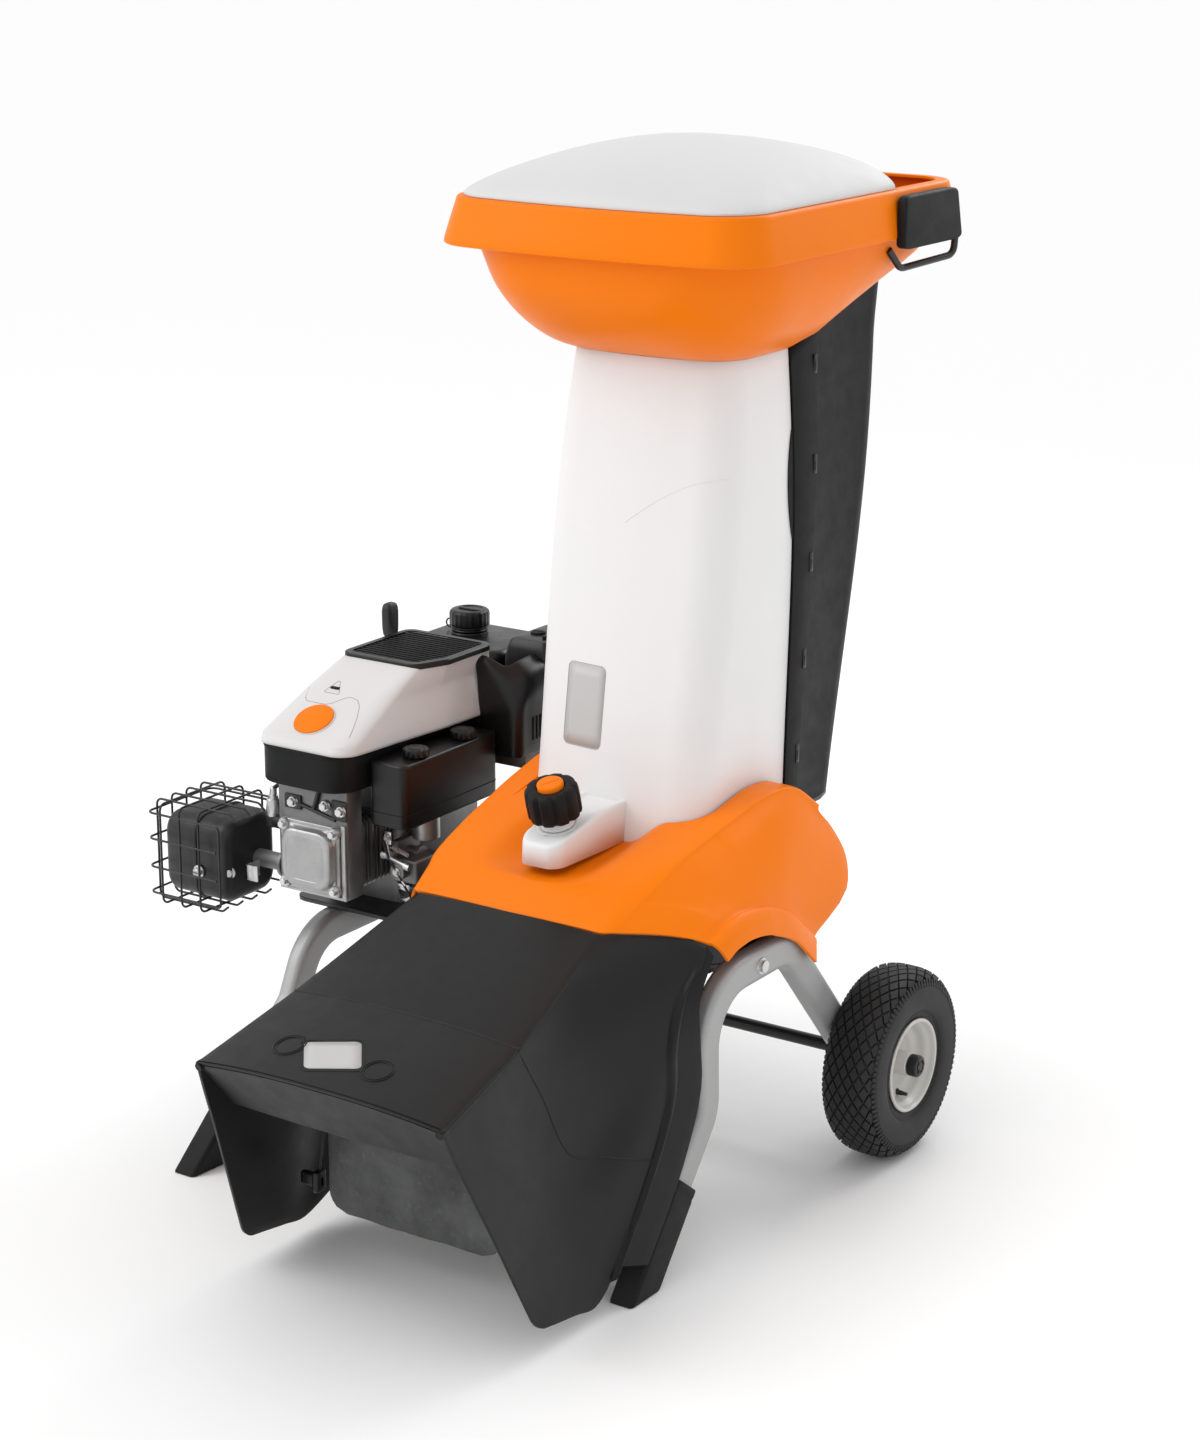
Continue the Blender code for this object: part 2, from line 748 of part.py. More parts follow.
def wrap(radius_a, radius_b, steps=18):
    """Outline of a band around both pulleys, and the outward direction at each point."""
    a, b = Vector((ENGINE_X, ENGINE_Y)), Vector((CHUTE_X, ROTOR_Y))
    line = b - a
    heading = math.atan2(line.y, line.x)
    lean = math.acos((radius_a - radius_b) / line.length)
    out = []
    for centre, radius, start, stop in ((b, radius_b, -lean, lean),
                                        (a, radius_a, lean, 2 * math.pi - lean)):
        for i in range(steps + 1):
            turn = heading + lerp(start, stop, i / steps)
            way = Vector((math.cos(turn), math.sin(turn)))
            out.append((centre + way * radius, way))
    return out


def drive_belt():
    seat_a = ENGINE_PULLEY_RADIUS - BELT_THICK + FIT
    seat_b = ROTOR_PULLEY_RADIUS - BELT_THICK + FIT
    middle = pulley_low() + PULLEY_HEIGHT / 2
    narrow, wide = 0.0022, 0.0040
    rows = [[], [], [], []]
    for at, way in wrap(seat_a, seat_b):
        outer = at + way * BELT_THICK
        rows[0].append((at.x, at.y, middle - narrow))
        rows[1].append((outer.x, outer.y, middle - wide))
        rows[2].append((outer.x, outer.y, middle + wide))
        rows[3].append((at.x, at.y, middle + narrow))
    bm = bmesh.new()
    sheet(bm, rows + [rows[0]], closed=True)
    bmesh.ops.remove_doubles(bm, verts=bm.verts, dist=1e-6)
    keep("drive_belt", bm, rubber())


def belt_cover():
    """A tray under the plate around both pulleys."""
    top = plate_bottom() - FIT
    low = pulley_low() - 0.012
    outside = wrap(ENGINE_PULLEY_RADIUS + BELT_ROOM, ROTOR_PULLEY_RADIUS + BELT_ROOM)
    rows = [[(p.x, p.y, z) for p, way in outside] for z in (low, top)]
    made = keep("belt_cover", loft(rows), black())
    wall = DRUM_WALL / 2
    inside = [[(p.x - way.x * wall, p.y - way.y * wall, z) for p, way in outside]
              for z in (low + wall, top + 0.01)]
    boolean(made, cutter("belt_room", loft(inside)))


# Engine


def ring_at(corners, radius, z, steps=CORNER_STEPS):
    """A closed ring with rounded corners at one height, from plan corners."""
    out = []
    count = len(corners)
    for i in range(count):
        before = Vector((*corners[i - 1], z))
        corner = Vector((*corners[i], z))
        after = Vector((*corners[(i + 1) % count], z))
        a = (before - corner).normalized()
        b = (after - corner).normalized()
        half = a.angle(b) / 2
        middle = corner + (a + b).normalized() * (radius / math.sin(half))
        start = corner + a * (radius / math.tan(half)) - middle
        end = corner + b * (radius / math.tan(half)) - middle
        for k in range(steps + 1):
            out.append(middle + start.slerp(end, k / steps).normalized() * radius)
    return out


def plan_box(left, right, front, rear):
    return [(left, front), (right, front), (right, rear), (left, rear)]


def block():
    """Crankcase with the finned cylinder to the front and the rear bracket."""
    low = plate_top() + FIT
    rows = [ring_at(plan_box(BLOCK_LEFT, BLOCK_RIGHT, BLOCK_FRONT, BLOCK_REAR), 0.02, z)
            for z in (low, BLOCK_TOP_Z)]
    made = keep("engine_block", loft(rows), cast())
    rows = []
    count = 6
    start = BLOCK_FRONT + 0.01
    for i in range(count):
        near = lerp(start, HEAD_FRONT, i / count)
        far = lerp(start, HEAD_FRONT, (i + 1) / count)
        for y, inset in ((near, 0.012), (lerp(near, far, 0.5), 0.012), (lerp(near, far, 0.5), 0.0),
                         (far, 0.0)):
            ring = rounded_rectangle(COVER_X - COVER_HALF_X + inset,
                                     COVER_X + COVER_HALF_X - inset,
                                     COVER_Z - COVER_HALF_Z + inset,
                                     COVER_Z + COVER_HALF_Z - inset, 0.012, 2)
            rows.append([(x, y, z) for x, z in ring])
    boolean(made, cutter("cylinder", loft(rows)), "UNION")
    head = box((COVER_X - HEAD_HALF, HEAD_FRONT + 0.0002, HEAD_LOW),
               (COVER_X + HEAD_HALF, HEAD_FRONT + HEAD_DEEP, BLOCK_TOP_Z), 0.004)
    boolean(made, cutter("cylinder_head", head), "UNION")
    bracket = box((BRACKET_LEFT, BLOCK_REAR - 0.01, BLOCK_TOP_Z - 0.024),
                  (BRACKET_RIGHT, BRACKET_REAR, BLOCK_TOP_Z))
    boolean(made, cutter("engine_bracket", bracket), "UNION")
    radius = CRANK_RADIUS + RUNNING_FIT
    bore = turned([(radius, low - 0.02), (radius, BLOCK_TOP_Z + 0.02)], (ENGINE_X, ENGINE_Y, 0),
                  steps=24)
    boolean(made, cutter("crank_bore", bore))
    ring = rounded_rectangle(COVER_X - COVER_HALF_X, COVER_X + COVER_HALF_X,
                             COVER_Z - COVER_HALF_Z, COVER_Z + COVER_HALF_Z, 0.014, 3)
    rows = []
    for y, scale in ((HEAD_FRONT - FIT, 1.0), (HEAD_FRONT - 0.006, 1.0),
                     (HEAD_FRONT - 0.008, 0.95), (HEAD_FRONT - COVER_DEPTH + 0.005, 0.94),
                     (HEAD_FRONT - COVER_DEPTH, 0.86)):
        rows.append([(COVER_X + (x - COVER_X) * scale, y, COVER_Z + (z - COVER_Z) * scale)
                     for x, z in ring])
    keep("valve_cover", loft(rows), cast())


def crank():
    low = pulley_low() - 0.004
    shaft = [(CRANK_RADIUS, low), (CRANK_RADIUS, FLYWHEEL_Z + FLYWHEEL_HEIGHT + 0.010)]
    keep("crankshaft", turned(shaft, (ENGINE_X, ENGINE_Y, 0), steps=SMALL_STEPS), steel())
    bore = CRANK_RADIUS + FIT
    profile = [
        (bore, FLYWHEEL_Z - 0.012), (CRANK_RADIUS + 0.012, FLYWHEEL_Z - 0.012),
        (CRANK_RADIUS + 0.012, FLYWHEEL_Z), (FLYWHEEL_RADIUS, FLYWHEEL_Z),
        (FLYWHEEL_RADIUS, FLYWHEEL_Z + FLYWHEEL_HEIGHT),
        (FLYWHEEL_RADIUS - 0.012, FLYWHEEL_Z + FLYWHEEL_HEIGHT),
        (FLYWHEEL_RADIUS - 0.012, FLYWHEEL_Z + 0.008), (CRANK_RADIUS + 0.012, FLYWHEEL_Z + 0.008),
        (CRANK_RADIUS + 0.012, FLYWHEEL_Z + FLYWHEEL_HEIGHT),
        (bore, FLYWHEEL_Z + FLYWHEEL_HEIGHT),
    ]
    keep("flywheel", ring_solid(profile, (ENGINE_X, ENGINE_Y, 0), steps=LARGE_STEPS), cast())


def skirt():
    """The dark tray under the fan housing."""
    low = BLOCK_TOP_Z + FIT
    top = SHROUD_BOTTOM - FIT
    corners = plan_box(SKIRT_LEFT, AIR_BOX_LEFT - SKIRT_WALL, SKIRT_FRONT, SKIRT_REAR)
    made = keep("engine_skirt", loft([ring_at(corners, 0.04, z) for z in (low, top)]), black())
    inner = plan_box(SKIRT_LEFT + SKIRT_WALL, AIR_BOX_LEFT - 2 * SKIRT_WALL,
                     SKIRT_FRONT + SKIRT_WALL, SKIRT_REAR - SKIRT_WALL)
    rows = [ring_at(inner, 0.04 - SKIRT_WALL, z) for z in (low + SKIRT_WALL, top + 0.01)]
    boolean(made, cutter("skirt_room", loft(rows)))
    radius = CRANK_RADIUS + 0.016
    hole = turned([(radius, low - 0.01), (radius, low + 0.01)], (ENGINE_X, ENGINE_Y, 0), steps=SMALL_STEPS)
    boolean(made, cutter("skirt_hole", hole))


def shroud():
    """The white fan housing, open below and at the grille, with the cord's eyelet."""
    left, right = SKIRT_LEFT, AIR_BOX_LEFT
    low = [(left, SKIRT_FRONT), (right + 0.003, SKIRT_FRONT), (SHROUD_RIGHT, -0.200),
           (SHROUD_RIGHT + 0.004, SKIRT_REAR), (left, SKIRT_REAR)]
    middle = [(left + 0.001, SKIRT_FRONT + 0.004), (right + 0.002, SKIRT_FRONT + 0.004),
              (SHROUD_RIGHT - 0.001, -0.200), (SHROUD_RIGHT + 0.003, SKIRT_REAR - 0.001),
              (left + 0.001, SKIRT_REAR - 0.001)]
    upper = [(left + 0.014, -0.312), (right + 0.001, -0.312), (right + 0.012, -0.200),
             (right + 0.014, -0.074), (left + 0.014, -0.074)]
    top = [(GRILLE_LEFT - 0.008, GRILLE_FRONT - 0.008), (right + 0.004, GRILLE_FRONT - 0.008),
           (GRILLE_RIGHT + 0.008, -0.200), (GRILLE_RIGHT + 0.008, GRILLE_REAR + 0.008),
           (GRILLE_LEFT - 0.008, GRILLE_REAR + 0.008)]
    hole = [(GRILLE_LEFT, GRILLE_FRONT), (right - 0.002, GRILLE_FRONT), (GRILLE_RIGHT, -0.196),
            (GRILLE_RIGHT, GRILLE_REAR), (GRILLE_LEFT, GRILLE_REAR)]
    rows = [
        ring_at(low, 0.030, SHROUD_BOTTOM), ring_at(low, 0.030, SHROUD_BOTTOM + 0.004),
        ring_at(middle, 0.030, SHROUD_BOTTOM + 0.012),
        ring_at(upper, 0.026, SHROUD_BOTTOM + 0.056), ring_at(top, 0.016, SHROUD_TOP - 0.003),
        ring_at(hole, 0.010, SHROUD_TOP), ring_at(hole, 0.010, SHROUD_TOP - GRILLE_THICK),
    ]
    bm = bmesh.new()
    sheet(bm, rows, closed=True)
    made = keep("engine_shroud", bm, white())
    solidify(made, SKIRT_WALL)
    low_z = SHROUD_TOP - 0.045
    eyelet = turned([(0.009, low_z), (0.009, GRIP_LOW - FIT)], (CORD_X, CORD_Y, 0), steps=16)
    boolean(made, cutter("cord_eyelet", eyelet), "UNION")
    bore = turned([(0.004, low_z - 0.02), (0.004, GRIP_LOW + 0.02)], (CORD_X, CORD_Y, 0), steps=12)
    boolean(made, cutter("cord_bore", bore))
    inset = [(GRILLE_LEFT, GRILLE_FRONT), (right - 0.002, GRILLE_FRONT), (GRILLE_RIGHT, -0.196),
             (GRILLE_RIGHT, GRILLE_REAR), (GRILLE_LEFT, GRILLE_REAR)]
    middle_x = (GRILLE_LEFT + GRILLE_RIGHT) / 2
    middle_y = (GRILLE_FRONT + GRILLE_REAR) / 2
    inset = [(x - math.copysign(GRILLE_GAP, x - middle_x), y - math.copysign(GRILLE_GAP, y - middle_y))
             for x, y in inset]
    rows = [ring_at(inset, 0.010 - FIT, z) for z in (SHROUD_TOP - GRILLE_THICK, SHROUD_TOP - 0.001)]
    grille = keep("starter_grille", loft(rows), black())
    slots = bmesh.new()
    count = 8
    pitch = (GRILLE_REAR - GRILLE_FRONT - 0.020) / count
    for i in range(count):
        y = GRILLE_FRONT + 0.010 + pitch * (i + 0.5)
        near = GRILLE_LEFT + 0.012
        far = GRILLE_RIGHT - (0.028 if i < 2 else 0.012)
        slot = box((near, y - pitch * 0.28, SHROUD_TOP - 0.02), (far, y + pitch * 0.28, SHROUD_TOP + 0.01))
        spare = bpy.data.meshes.new("slot")
        slot.to_mesh(spare)
        slot.free()
        slots.from_mesh(spare)
        bpy.data.meshes.remove(spare)
    boolean(grille, cutter("grille_slots", slots))


def badge():
    """A plain orange disc on the sloping front of the fan housing."""
    rise = (0.056 - 0.012)
    run = (SKIRT_FRONT + 0.004) - (-0.312)
    slope = Vector((0, run, rise)).normalized()
    slope = Vector((0, -slope.y, slope.z))
    normal = Vector((0, -slope.z, slope.y))
    middle = Vector((BADGE_X, ((SKIRT_FRONT + 0.004) - 0.312) / 2, SHROUD_BOTTOM + 0.034))
    middle -= slope * 0.006
    keep("badge_disc", turned([(0.028, FIT), (0.028, 0.003), (0.026, 0.0045)], middle, normal),
         orange())


def starter():
    rows = []
    for rise, wide, deep in ((0.0, 0.006, 0.006), (0.006, 0.009, 0.010), (0.040, 0.008, 0.012),
                             (0.050, 0.006, 0.009)):
        ring = rounded_rectangle(-wide, wide, -deep, deep, 0.004, 3)
        rows.append([(CORD_X + x, CORD_Y + y, GRIP_LOW + rise) for x, y in ring])
    keep("starter_grip", loft(rows), black())
    low = SHROUD_TOP - 0.045
    cord = [(0.002, low), (0.002, GRIP_LOW - FIT)]
    keep("starter_cord", turned(cord, (CORD_X, CORD_Y, 0), steps=8), rubber())


def air_filter():
    low = AIR_BOX_BOTTOM
    corners = plan_box(AIR_BOX_LEFT, AIR_BOX_RIGHT, AIR_BOX_FRONT, AIR_BOX_REAR)
    lid = plan_box(AIR_BOX_LEFT + 0.003, AIR_BOX_RIGHT - 0.003, AIR_BOX_FRONT + 0.003,
                   AIR_BOX_REAR - 0.003)
    rows = [ring_at(lid, 0.009, low), ring_at(corners, 0.012, low + 0.006),
            ring_at(corners, 0.012, AIR_BOX_TOP - 0.006), ring_at(lid, 0.009, AIR_BOX_TOP)]
    keep("air_box", loft(rows), black())
    for name, y in (("air_knob_front", AIR_KNOB_FRONT_Y), ("air_knob_rear", AIR_KNOB_REAR_Y)):
        z = AIR_BOX_TOP + FIT
        bm = turned([(AIR_KNOB_RADIUS - 0.002, z), (AIR_KNOB_RADIUS, z + 0.003),
                     (AIR_KNOB_RADIUS, z + AIR_KNOB_HEIGHT - 0.003),
                     (AIR_KNOB_RADIUS - 0.003, z + AIR_KNOB_HEIGHT)],
                    (AIR_KNOB_X, y, 0))
        keep(name, bm, black())
    made = keep("carburettor", box((BLOCK_RIGHT + FIT, -0.325, 0.346),
                                   (-0.184, -0.215, 0.414), 0.004), cast())
    riser = turned([(0.020, 0.40), (0.020, AIR_BOX_BOTTOM - FIT)], (-0.208, -0.262, 0), steps=SMALL_STEPS)
    boolean(made, cutter("intake", riser), "UNION")
    bowl = turned([(0.017, 0.322), (0.020, 0.326), (0.020, 0.35)], (-0.210, -0.29, 0), steps=SMALL_STEPS)
    boolean(made, cutter("float_bowl", bowl), "UNION")


def exhaust():
    """Muffler, its wire guard and the spark plug boot."""
    made = keep("muffler", box((MUFFLER_LEFT, MUFFLER_FRONT, MUFFLER_BOTTOM),
                               (MUFFLER_RIGHT, MUFFLER_REAR, MUFFLER_TOP), 0.014, 3), steel())
    stub = box((MUFFLER_RIGHT - 0.02, MUFFLER_REAR - 0.052, 0.352),
               (COVER_X - HEAD_HALF - FIT, MUFFLER_REAR - 0.030, 0.382))
    boolean(made, cutter("exhaust_stub", stub), "UNION")
    wire = round_section(CAGE_WIRE, 4)
    out = CAGE_GAP
    left, right = MUFFLER_LEFT - out, MUFFLER_RIGHT - 0.016
    front, rear = MUFFLER_FRONT - out, MUFFLER_REAR + out
    top, low = MUFFLER_TOP + out, MUFFLER_BOTTOM - out + 0.002
    paths = []
    for i in range(4):
        y = lerp(front + 0.022, rear - 0.022, i / 3)
        corners = [(right, y, MUFFLER_TOP + SEAT), (right, y, top), (left, y, top), (left, y, low),
                   (right, y, low), (right, y, MUFFLER_BOTTOM - SEAT)]
        paths.append((rounded_path(corners, (0.006, 0.012, 0.012, 0.006), 1), Vector((0, 1, 0))))
    for z in (top - 0.014, (top + low) / 2, low + 0.014):
        corners = [(right, front, z), (left, front, z), (left, rear, z), (right, rear, z)]
        paths.append((rounded_path(corners, (0.012, 0.012), 1), Vector((0, 0, 1))))
    for share in (0.3, 0.8):
        x = lerp(left, right, share)
        corners = [(x, rear, low + 0.010), (x, rear, top), (x, front, top), (x, front, low),
                   (x, rear - 0.010, low)]
        paths.append((rounded_path(corners, (0.010, 0.010, 0.010), 1), Vector((1, 0, 0))))
    group = bpy.data.collections.new("guard_wires")
    bpy.context.scene.collection.children.link(group)
    guard = None
    for i, (path, side) in enumerate(paths):
        bm = swept(path, wire, side)
        if guard is None:
            guard = keep("muffler_guard", bm, steel())
        else:
            piece = cutter("guard_wire_%d" % i, bm)
            bpy.context.scene.collection.objects.unlink(piece)
            group.objects.link(piece)
    step = guard.modifiers.new("join_wires", "BOOLEAN")
    step.operation = "UNION"
    step.solver = "EXACT"
    step.operand_type = "COLLECTION"
    step.collection = group
    head = COVER_X - HEAD_HALF
    path = rounded_path([(head - FIT, -0.352, 0.424), (head - 0.026, -0.352, 0.424),
                         (head - 0.028, -0.352, 0.470)], (0.010,), 4)
    keep("spark_boot", swept(path, round_section(0.0085, 10), Vector((0, 1, 0))), rubber())


def fuel_and_controls():
    low = BLOCK_TOP_Z + FIT
    big = plan_box(TANK_LEFT, TANK_RIGHT, TANK_FRONT, TANK_REAR)
    small = plan_box(TANK_LEFT + 0.01, TANK_RIGHT - 0.01, TANK_FRONT + 0.01, TANK_REAR - 0.01)
    rows = [ring_at(small, 0.02, low), ring_at(big, 0.03, low + 0.012),
            ring_at(big, 0.03, TANK_TOP - 0.016), ring_at(small, 0.02, TANK_TOP)]
    keep("fuel_tank", loft(rows), black())
    z = TANK_TOP + FIT
    profile = [(FUEL_CAP_RADIUS - 0.004, z), (FUEL_CAP_RADIUS, z + 0.004)]
    profile += [(FUEL_CAP_RADIUS, z + FUEL_CAP_HEIGHT - 0.005),
                (FUEL_CAP_RADIUS - 0.005, z + FUEL_CAP_HEIGHT)]
    keep("fuel_cap", turned(profile, (CAP_X, CAP_Y, 0)), black())
    made = keep("control_box", box((CONTROL_LEFT, CONTROL_FRONT, low),
                                   (CONTROL_RIGHT, CONTROL_REAR, CONTROL_TOP), 0.006), black())
    duct = box((CONTROL_LEFT + 0.018, CONTROL_FRONT - 0.075, low + 0.002),
               (CONTROL_RIGHT + 0.004, CONTROL_FRONT + 0.015, CONTROL_TOP - 0.025), 0.008)
    boolean(made, cutter("rear_duct", duct), "UNION")


# Shells


def cover():
    """The orange housing: a front apron and two wings beside the chute, with fender lips."""
    m = CHUTE_X
    lip = CHUTE_BASE_HALF + WING_GAP
    floor = DRUM_TOP_Z + DECK_THICK + FIT
    rows = (
        # inner y, outer y, crown z, ridge z, ridge beyond the lip, edge z, lip y, lip z
        (-0.4980, -0.4045, 0.4365, 0.4345, 0.0015, 0.4130, -0.390, 0.389),
        (-0.4500, -0.3720, 0.4690, 0.4580, 0.0095, 0.4245, -0.368, 0.397),
        (-0.4440, -0.3550, 0.4710, 0.4610, 0.0115, 0.4280, -0.352, 0.399),
        (-0.4320, -0.3370, 0.4745, 0.4670, 0.0135, 0.4300, -0.340, 0.400),
        (-0.3700, -0.3050, 0.4920, 0.4900, 0.0155, 0.4270, -0.310, 0.397),
        (CHUTE_BASE_FRONT - 0.0045, -0.2700, 0.5080, 0.5080, 0.0205, 0.4200, -0.280, 0.390),
        (CHUTE_BASE_FRONT + 0.0030, -0.2660, 0.0, 0.5100, 0.0215, 0.4185, -0.277, 0.388),
        (-0.2300, -0.2350, 0.0, 0.5220, 0.0255, 0.4070, -0.250, 0.377),
        (-0.1600, -0.2050, 0.0, 0.5320, 0.0295, 0.3910, -0.222, 0.362),
        (-0.1000, -0.1750, 0.0, 0.5240, 0.0335, 0.3660, -0.197, 0.341),
        (-0.0500, -0.1480, 0.0, 0.4900, 0.0435, 0.3410, -0.174, 0.320),
    )
    corner = lip + 0.0535
    rear_right = [(lerp(corner, COVER_EDGE, share), y, z) for share, y, z in (
        (4 / 42, -0.040, 0.455), (18 / 42, -0.026, 0.415), (34 / 42, -0.050, 0.378))]
    bm = bmesh.new()
    for side in (1, -1):
        grid = []
        for inner, outer, crown, ridge, beyond, edge, lip_y, lip_z in rows:
            line = []
            half = lip + beyond
            slope = (outer - inner) / (COVER_EDGE - half) if side > 0 else 0.0
            if crown:
                sunk = min(crown, RECESS_Z) if inner > BOSS_FRONT - 2 * RECESS_GAP else crown
                for x, z in ((0.0, sunk), (RECESS_HALF, sunk), (RECESS_HALF + 0.006, crown),
                             (0.115, lerp(crown, ridge, 0.4)), (lip, lerp(crown, ridge, 0.7))):
                    line.append((x, inner - 0.004 * (1 - x / HOOD_REAR_HALF), z))
            else:
                line.append((lip, inner, floor))
            for x, drop in ((lip + 0.002, 0.006), (lip + 0.008, 0.0005)):
                line.append((x, inner + slope * max(0.0, x - half), ridge - drop))
            if side < 0:
                line.append((half + 0.010, inner + 0.004, ridge))
                for out, drop in ((0.016, 0.006), (0.020, 0.030), (0.024, 0.070)):
                    line.append((half + out, inner + 0.006, ridge - drop))
                grid.append(line)
                continue
            for step, sag in ((0.0, 0.0), (0.35, 0.16), (0.65, 0.20), (0.88, 0.10)):
                x = lerp(half + 0.010, COVER_EDGE, step)
                y = inner + slope * (x - half)
                z = lerp(ridge, edge, step) + sag * (ridge - edge)
                line.append((x, y, z))
            line.append((COVER_EDGE, outer, edge))
            line.append((COVER_EDGE + FENDER_OUT, lip_y, lip_z))
            grid.append(line)
        if side > 0:
            grid[-1][-5:-2] = rear_right
        for near, far in zip(grid, grid[1:]):
            near = near[len(near) - len(far):]
            strip = [[bm.verts.new((m + side * x, y, z)) for x, y, z in row] for row in (near, far)]
            for i in range(len(far) - 1):
                bm.faces.new((strip[0][i], strip[0][i + 1], strip[1][i + 1], strip[1][i]))
    bmesh.ops.remove_doubles(bm, verts=bm.verts, dist=1e-5)
    made = keep("housing_cover", bm, orange(), 40.0)
    solidify(made, COVER_WALL)
    return made


def tube_front(z):
    """Y of the front of the right tube at a height on its upright and lower leg."""
    if z > KNEE_Z:
        share = (z - KNEE_Z) / (RIGHT_ARCH_Z - KNEE_Z)
        return lerp(KNEE_Y, RIGHT_ARCH_FRONT, share) - TUBE_DEEP / 2
    share = z / KNEE_Z
    lean = math.hypot(KNEE_Z, KNEE_Y - FOOT_Y) / KNEE_Z
    return lerp(FOOT_Y, KNEE_Y, share) - TUBE_DEEP / 2 * lean


def hood():
    """The black discharge hood: lid, flared cheeks, flanges by the tubes, curtain lugs."""
    m = CHUTE_X
    back = HOOD_GAP
    tip, front, shoulder, rear = (HOOD_TIP_HALF, HOOD_FRONT_HALF, HOOD_SHOULDER_HALF,
                                  HOOD_REAR_HALF)
    flange = COVER_EDGE - 0.002
    outer = flange + 0.012
    cheek = [
        [(front, -0.879, 0.324), (0.187, -0.859, 0.277), (0.194, -0.838, 0.230),
         (0.202, -0.817, 0.182), (0.209, -0.797, 0.135), (0.216, -0.777, 0.087),
         (tip, -0.757, 0.040)],
        [(0.173, -0.795, 0.344), (0.181, -0.782, 0.291), (0.188, -0.769, 0.240),
         (0.196, -0.757, 0.189), (0.204, -0.745, 0.138), (0.214, -0.731, 0.087),
         (tip + 0.001, -0.718, 0.034)],
        [(shoulder, -0.711, 0.364), (0.173, -0.700, 0.305), (0.180, -0.688, 0.250),
         (0.190, -0.682, 0.198), (0.202, -0.680, 0.146), (0.213, -0.678, 0.090),
         (tip + 0.001, -0.680, 0.028)],
        [(lerp(shoulder, rear, 0.5), -0.604, 0.399), (0.178, -0.590, 0.340),
         (0.190, -0.587, 0.275), (0.198, -0.587, 0.213), (0.212, -0.598, 0.160),
         (0.219, -0.615, 0.100), (tip + 0.002, -0.640, 0.022)],
        [(rear, -0.4980 - back, 0.4335), (COVER_EDGE, -0.4050 - back, 0.4095),
         (flange, -0.446, 0.367), (flange, -0.469, 0.305), (flange, -0.471, 0.243),
         (flange, -0.512, 0.164), (flange, -0.594, 0.058)],
    ]
    edge = [None, (outer, -0.4050 - back, 0.3990), (outer, tube_front(0.345) - FENDER_CLEAR, 0.350)]
    for z in (0.300, 0.236, 0.146, 0.046):
        edge.append((outer, tube_front(z) - FENDER_CLEAR, z))
    bm = bmesh.new()
    far_cheek = [column[:] for column in cheek]
    far_cheek[3][1:4] = [(0.164, -0.604, 0.340), (0.177, -0.604, 0.275), (0.190, -0.604, 0.213)]
    far_cheek[4][1:] = [(0.150, -0.500, 0.370), (0.162, -0.500, 0.310), (0.175, -0.503, 0.250),
                        (0.188, -0.512, 0.190), (0.200, -0.530, 0.130), (0.215, -0.560, 0.060)]
    for side, walls in ((1, cheek), (-1, far_cheek)):
        columns = [[bm.verts.new((m + side * x, y, z)) for x, y, z in column] for column in walls]
        for near, far in zip(columns, columns[1:]):
            for i in range(len(near) - 1):
                bm.faces.new((near[i], near[i + 1], far[i + 1], far[i]))
        if side > 0:
            last = columns[-1]
            strip = [None] + [bm.verts.new((m + x, y, z)) for x, y, z in edge[1:]]
            for i in range(1, len(last) - 1):
                bm.faces.new((last[i], last[i + 1], strip[i + 1], strip[i]))
    lid = [[(front - 0.012, -0.826, 0.256), 0.0], [cheek[0][0], 0.0035]]
    lid += [[column[0], 0.0045] for column in cheek[1:]]
    rows = []
    for (half, y, z), crown in lid:
        row = []
        for share in (-1.0, -0.6, -0.2, 0.2, 0.6, 1.0):
            lift = crown * (1 - share * share)
            bow = -0.004 * (1 - share * share)
            row.append(bm.verts.new((m + half * share, y + bow, z + lift)))
        rows.append(row)
    for near, far in zip(rows, rows[1:]):
        for i in range(len(near) - 1):
            bm.faces.new((near[i], near[i + 1], far[i + 1], far[i]))
    bmesh.ops.remove_doubles(bm, verts=bm.verts, dist=1e-5)
    made = keep("discharge_hood", bm, black(), 25.0)
    solidify(made, HOOD_WALL)
    for side in (1, -1):
        x = m + side * (CURTAIN_HALF + LUG_GAP)
        low = box((min(x, x + side * LUG_THICK), CURTAIN_Y - 0.006, CURTAIN_Z - 0.010),
                  (max(x, x + side * LUG_THICK), CURTAIN_Y + 0.006, LUG_TOP))
        boolean(made, cutter("curtain_lug_%d" % (1 if side > 0 else 2), low), "UNION")
    rod = turned([(ROD_RADIUS + FIT, -0.17), (ROD_RADIUS + FIT, 0.17)], (m, CURTAIN_Y, CURTAIN_Z),
                 (1, 0, 0), 12)
    boolean(made, cutter("rod_bore", rod))
    return made


def curtain():
    """Rubber flap hung from a rod inside the hood."""
    m = CHUTE_X
    reach = CURTAIN_HALF + LUG_GAP + LUG_THICK + 0.004
    rod = [(ROD_RADIUS, -reach), (ROD_RADIUS, reach)]
    keep("curtain_rod", turned(rod, (m, CURTAIN_Y, CURTAIN_Z), (1, 0, 0), 12), steel())
    bore = ROD_RADIUS + FIT
    sleeve = ROD_RADIUS + CURTAIN_THICK
    profile = [(bore, -CURTAIN_HALF), (sleeve, -CURTAIN_HALF), (sleeve, CURTAIN_HALF),
               (bore, CURTAIN_HALF)]
    made = keep("curtain", ring_solid(profile, (m, CURTAIN_Y, CURTAIN_Z), (1, 0, 0), 16), rubber())
    flap = box((m - CURTAIN_HALF, CURTAIN_Y - CURTAIN_THICK / 2, CURTAIN_Z - CURTAIN_DROP),
               (m + CURTAIN_HALF, CURTAIN_Y + CURTAIN_THICK / 2, CURTAIN_Z - ROD_RADIUS - 0.001))
    boolean(made, cutter("curtain_flap", flap), "UNION")


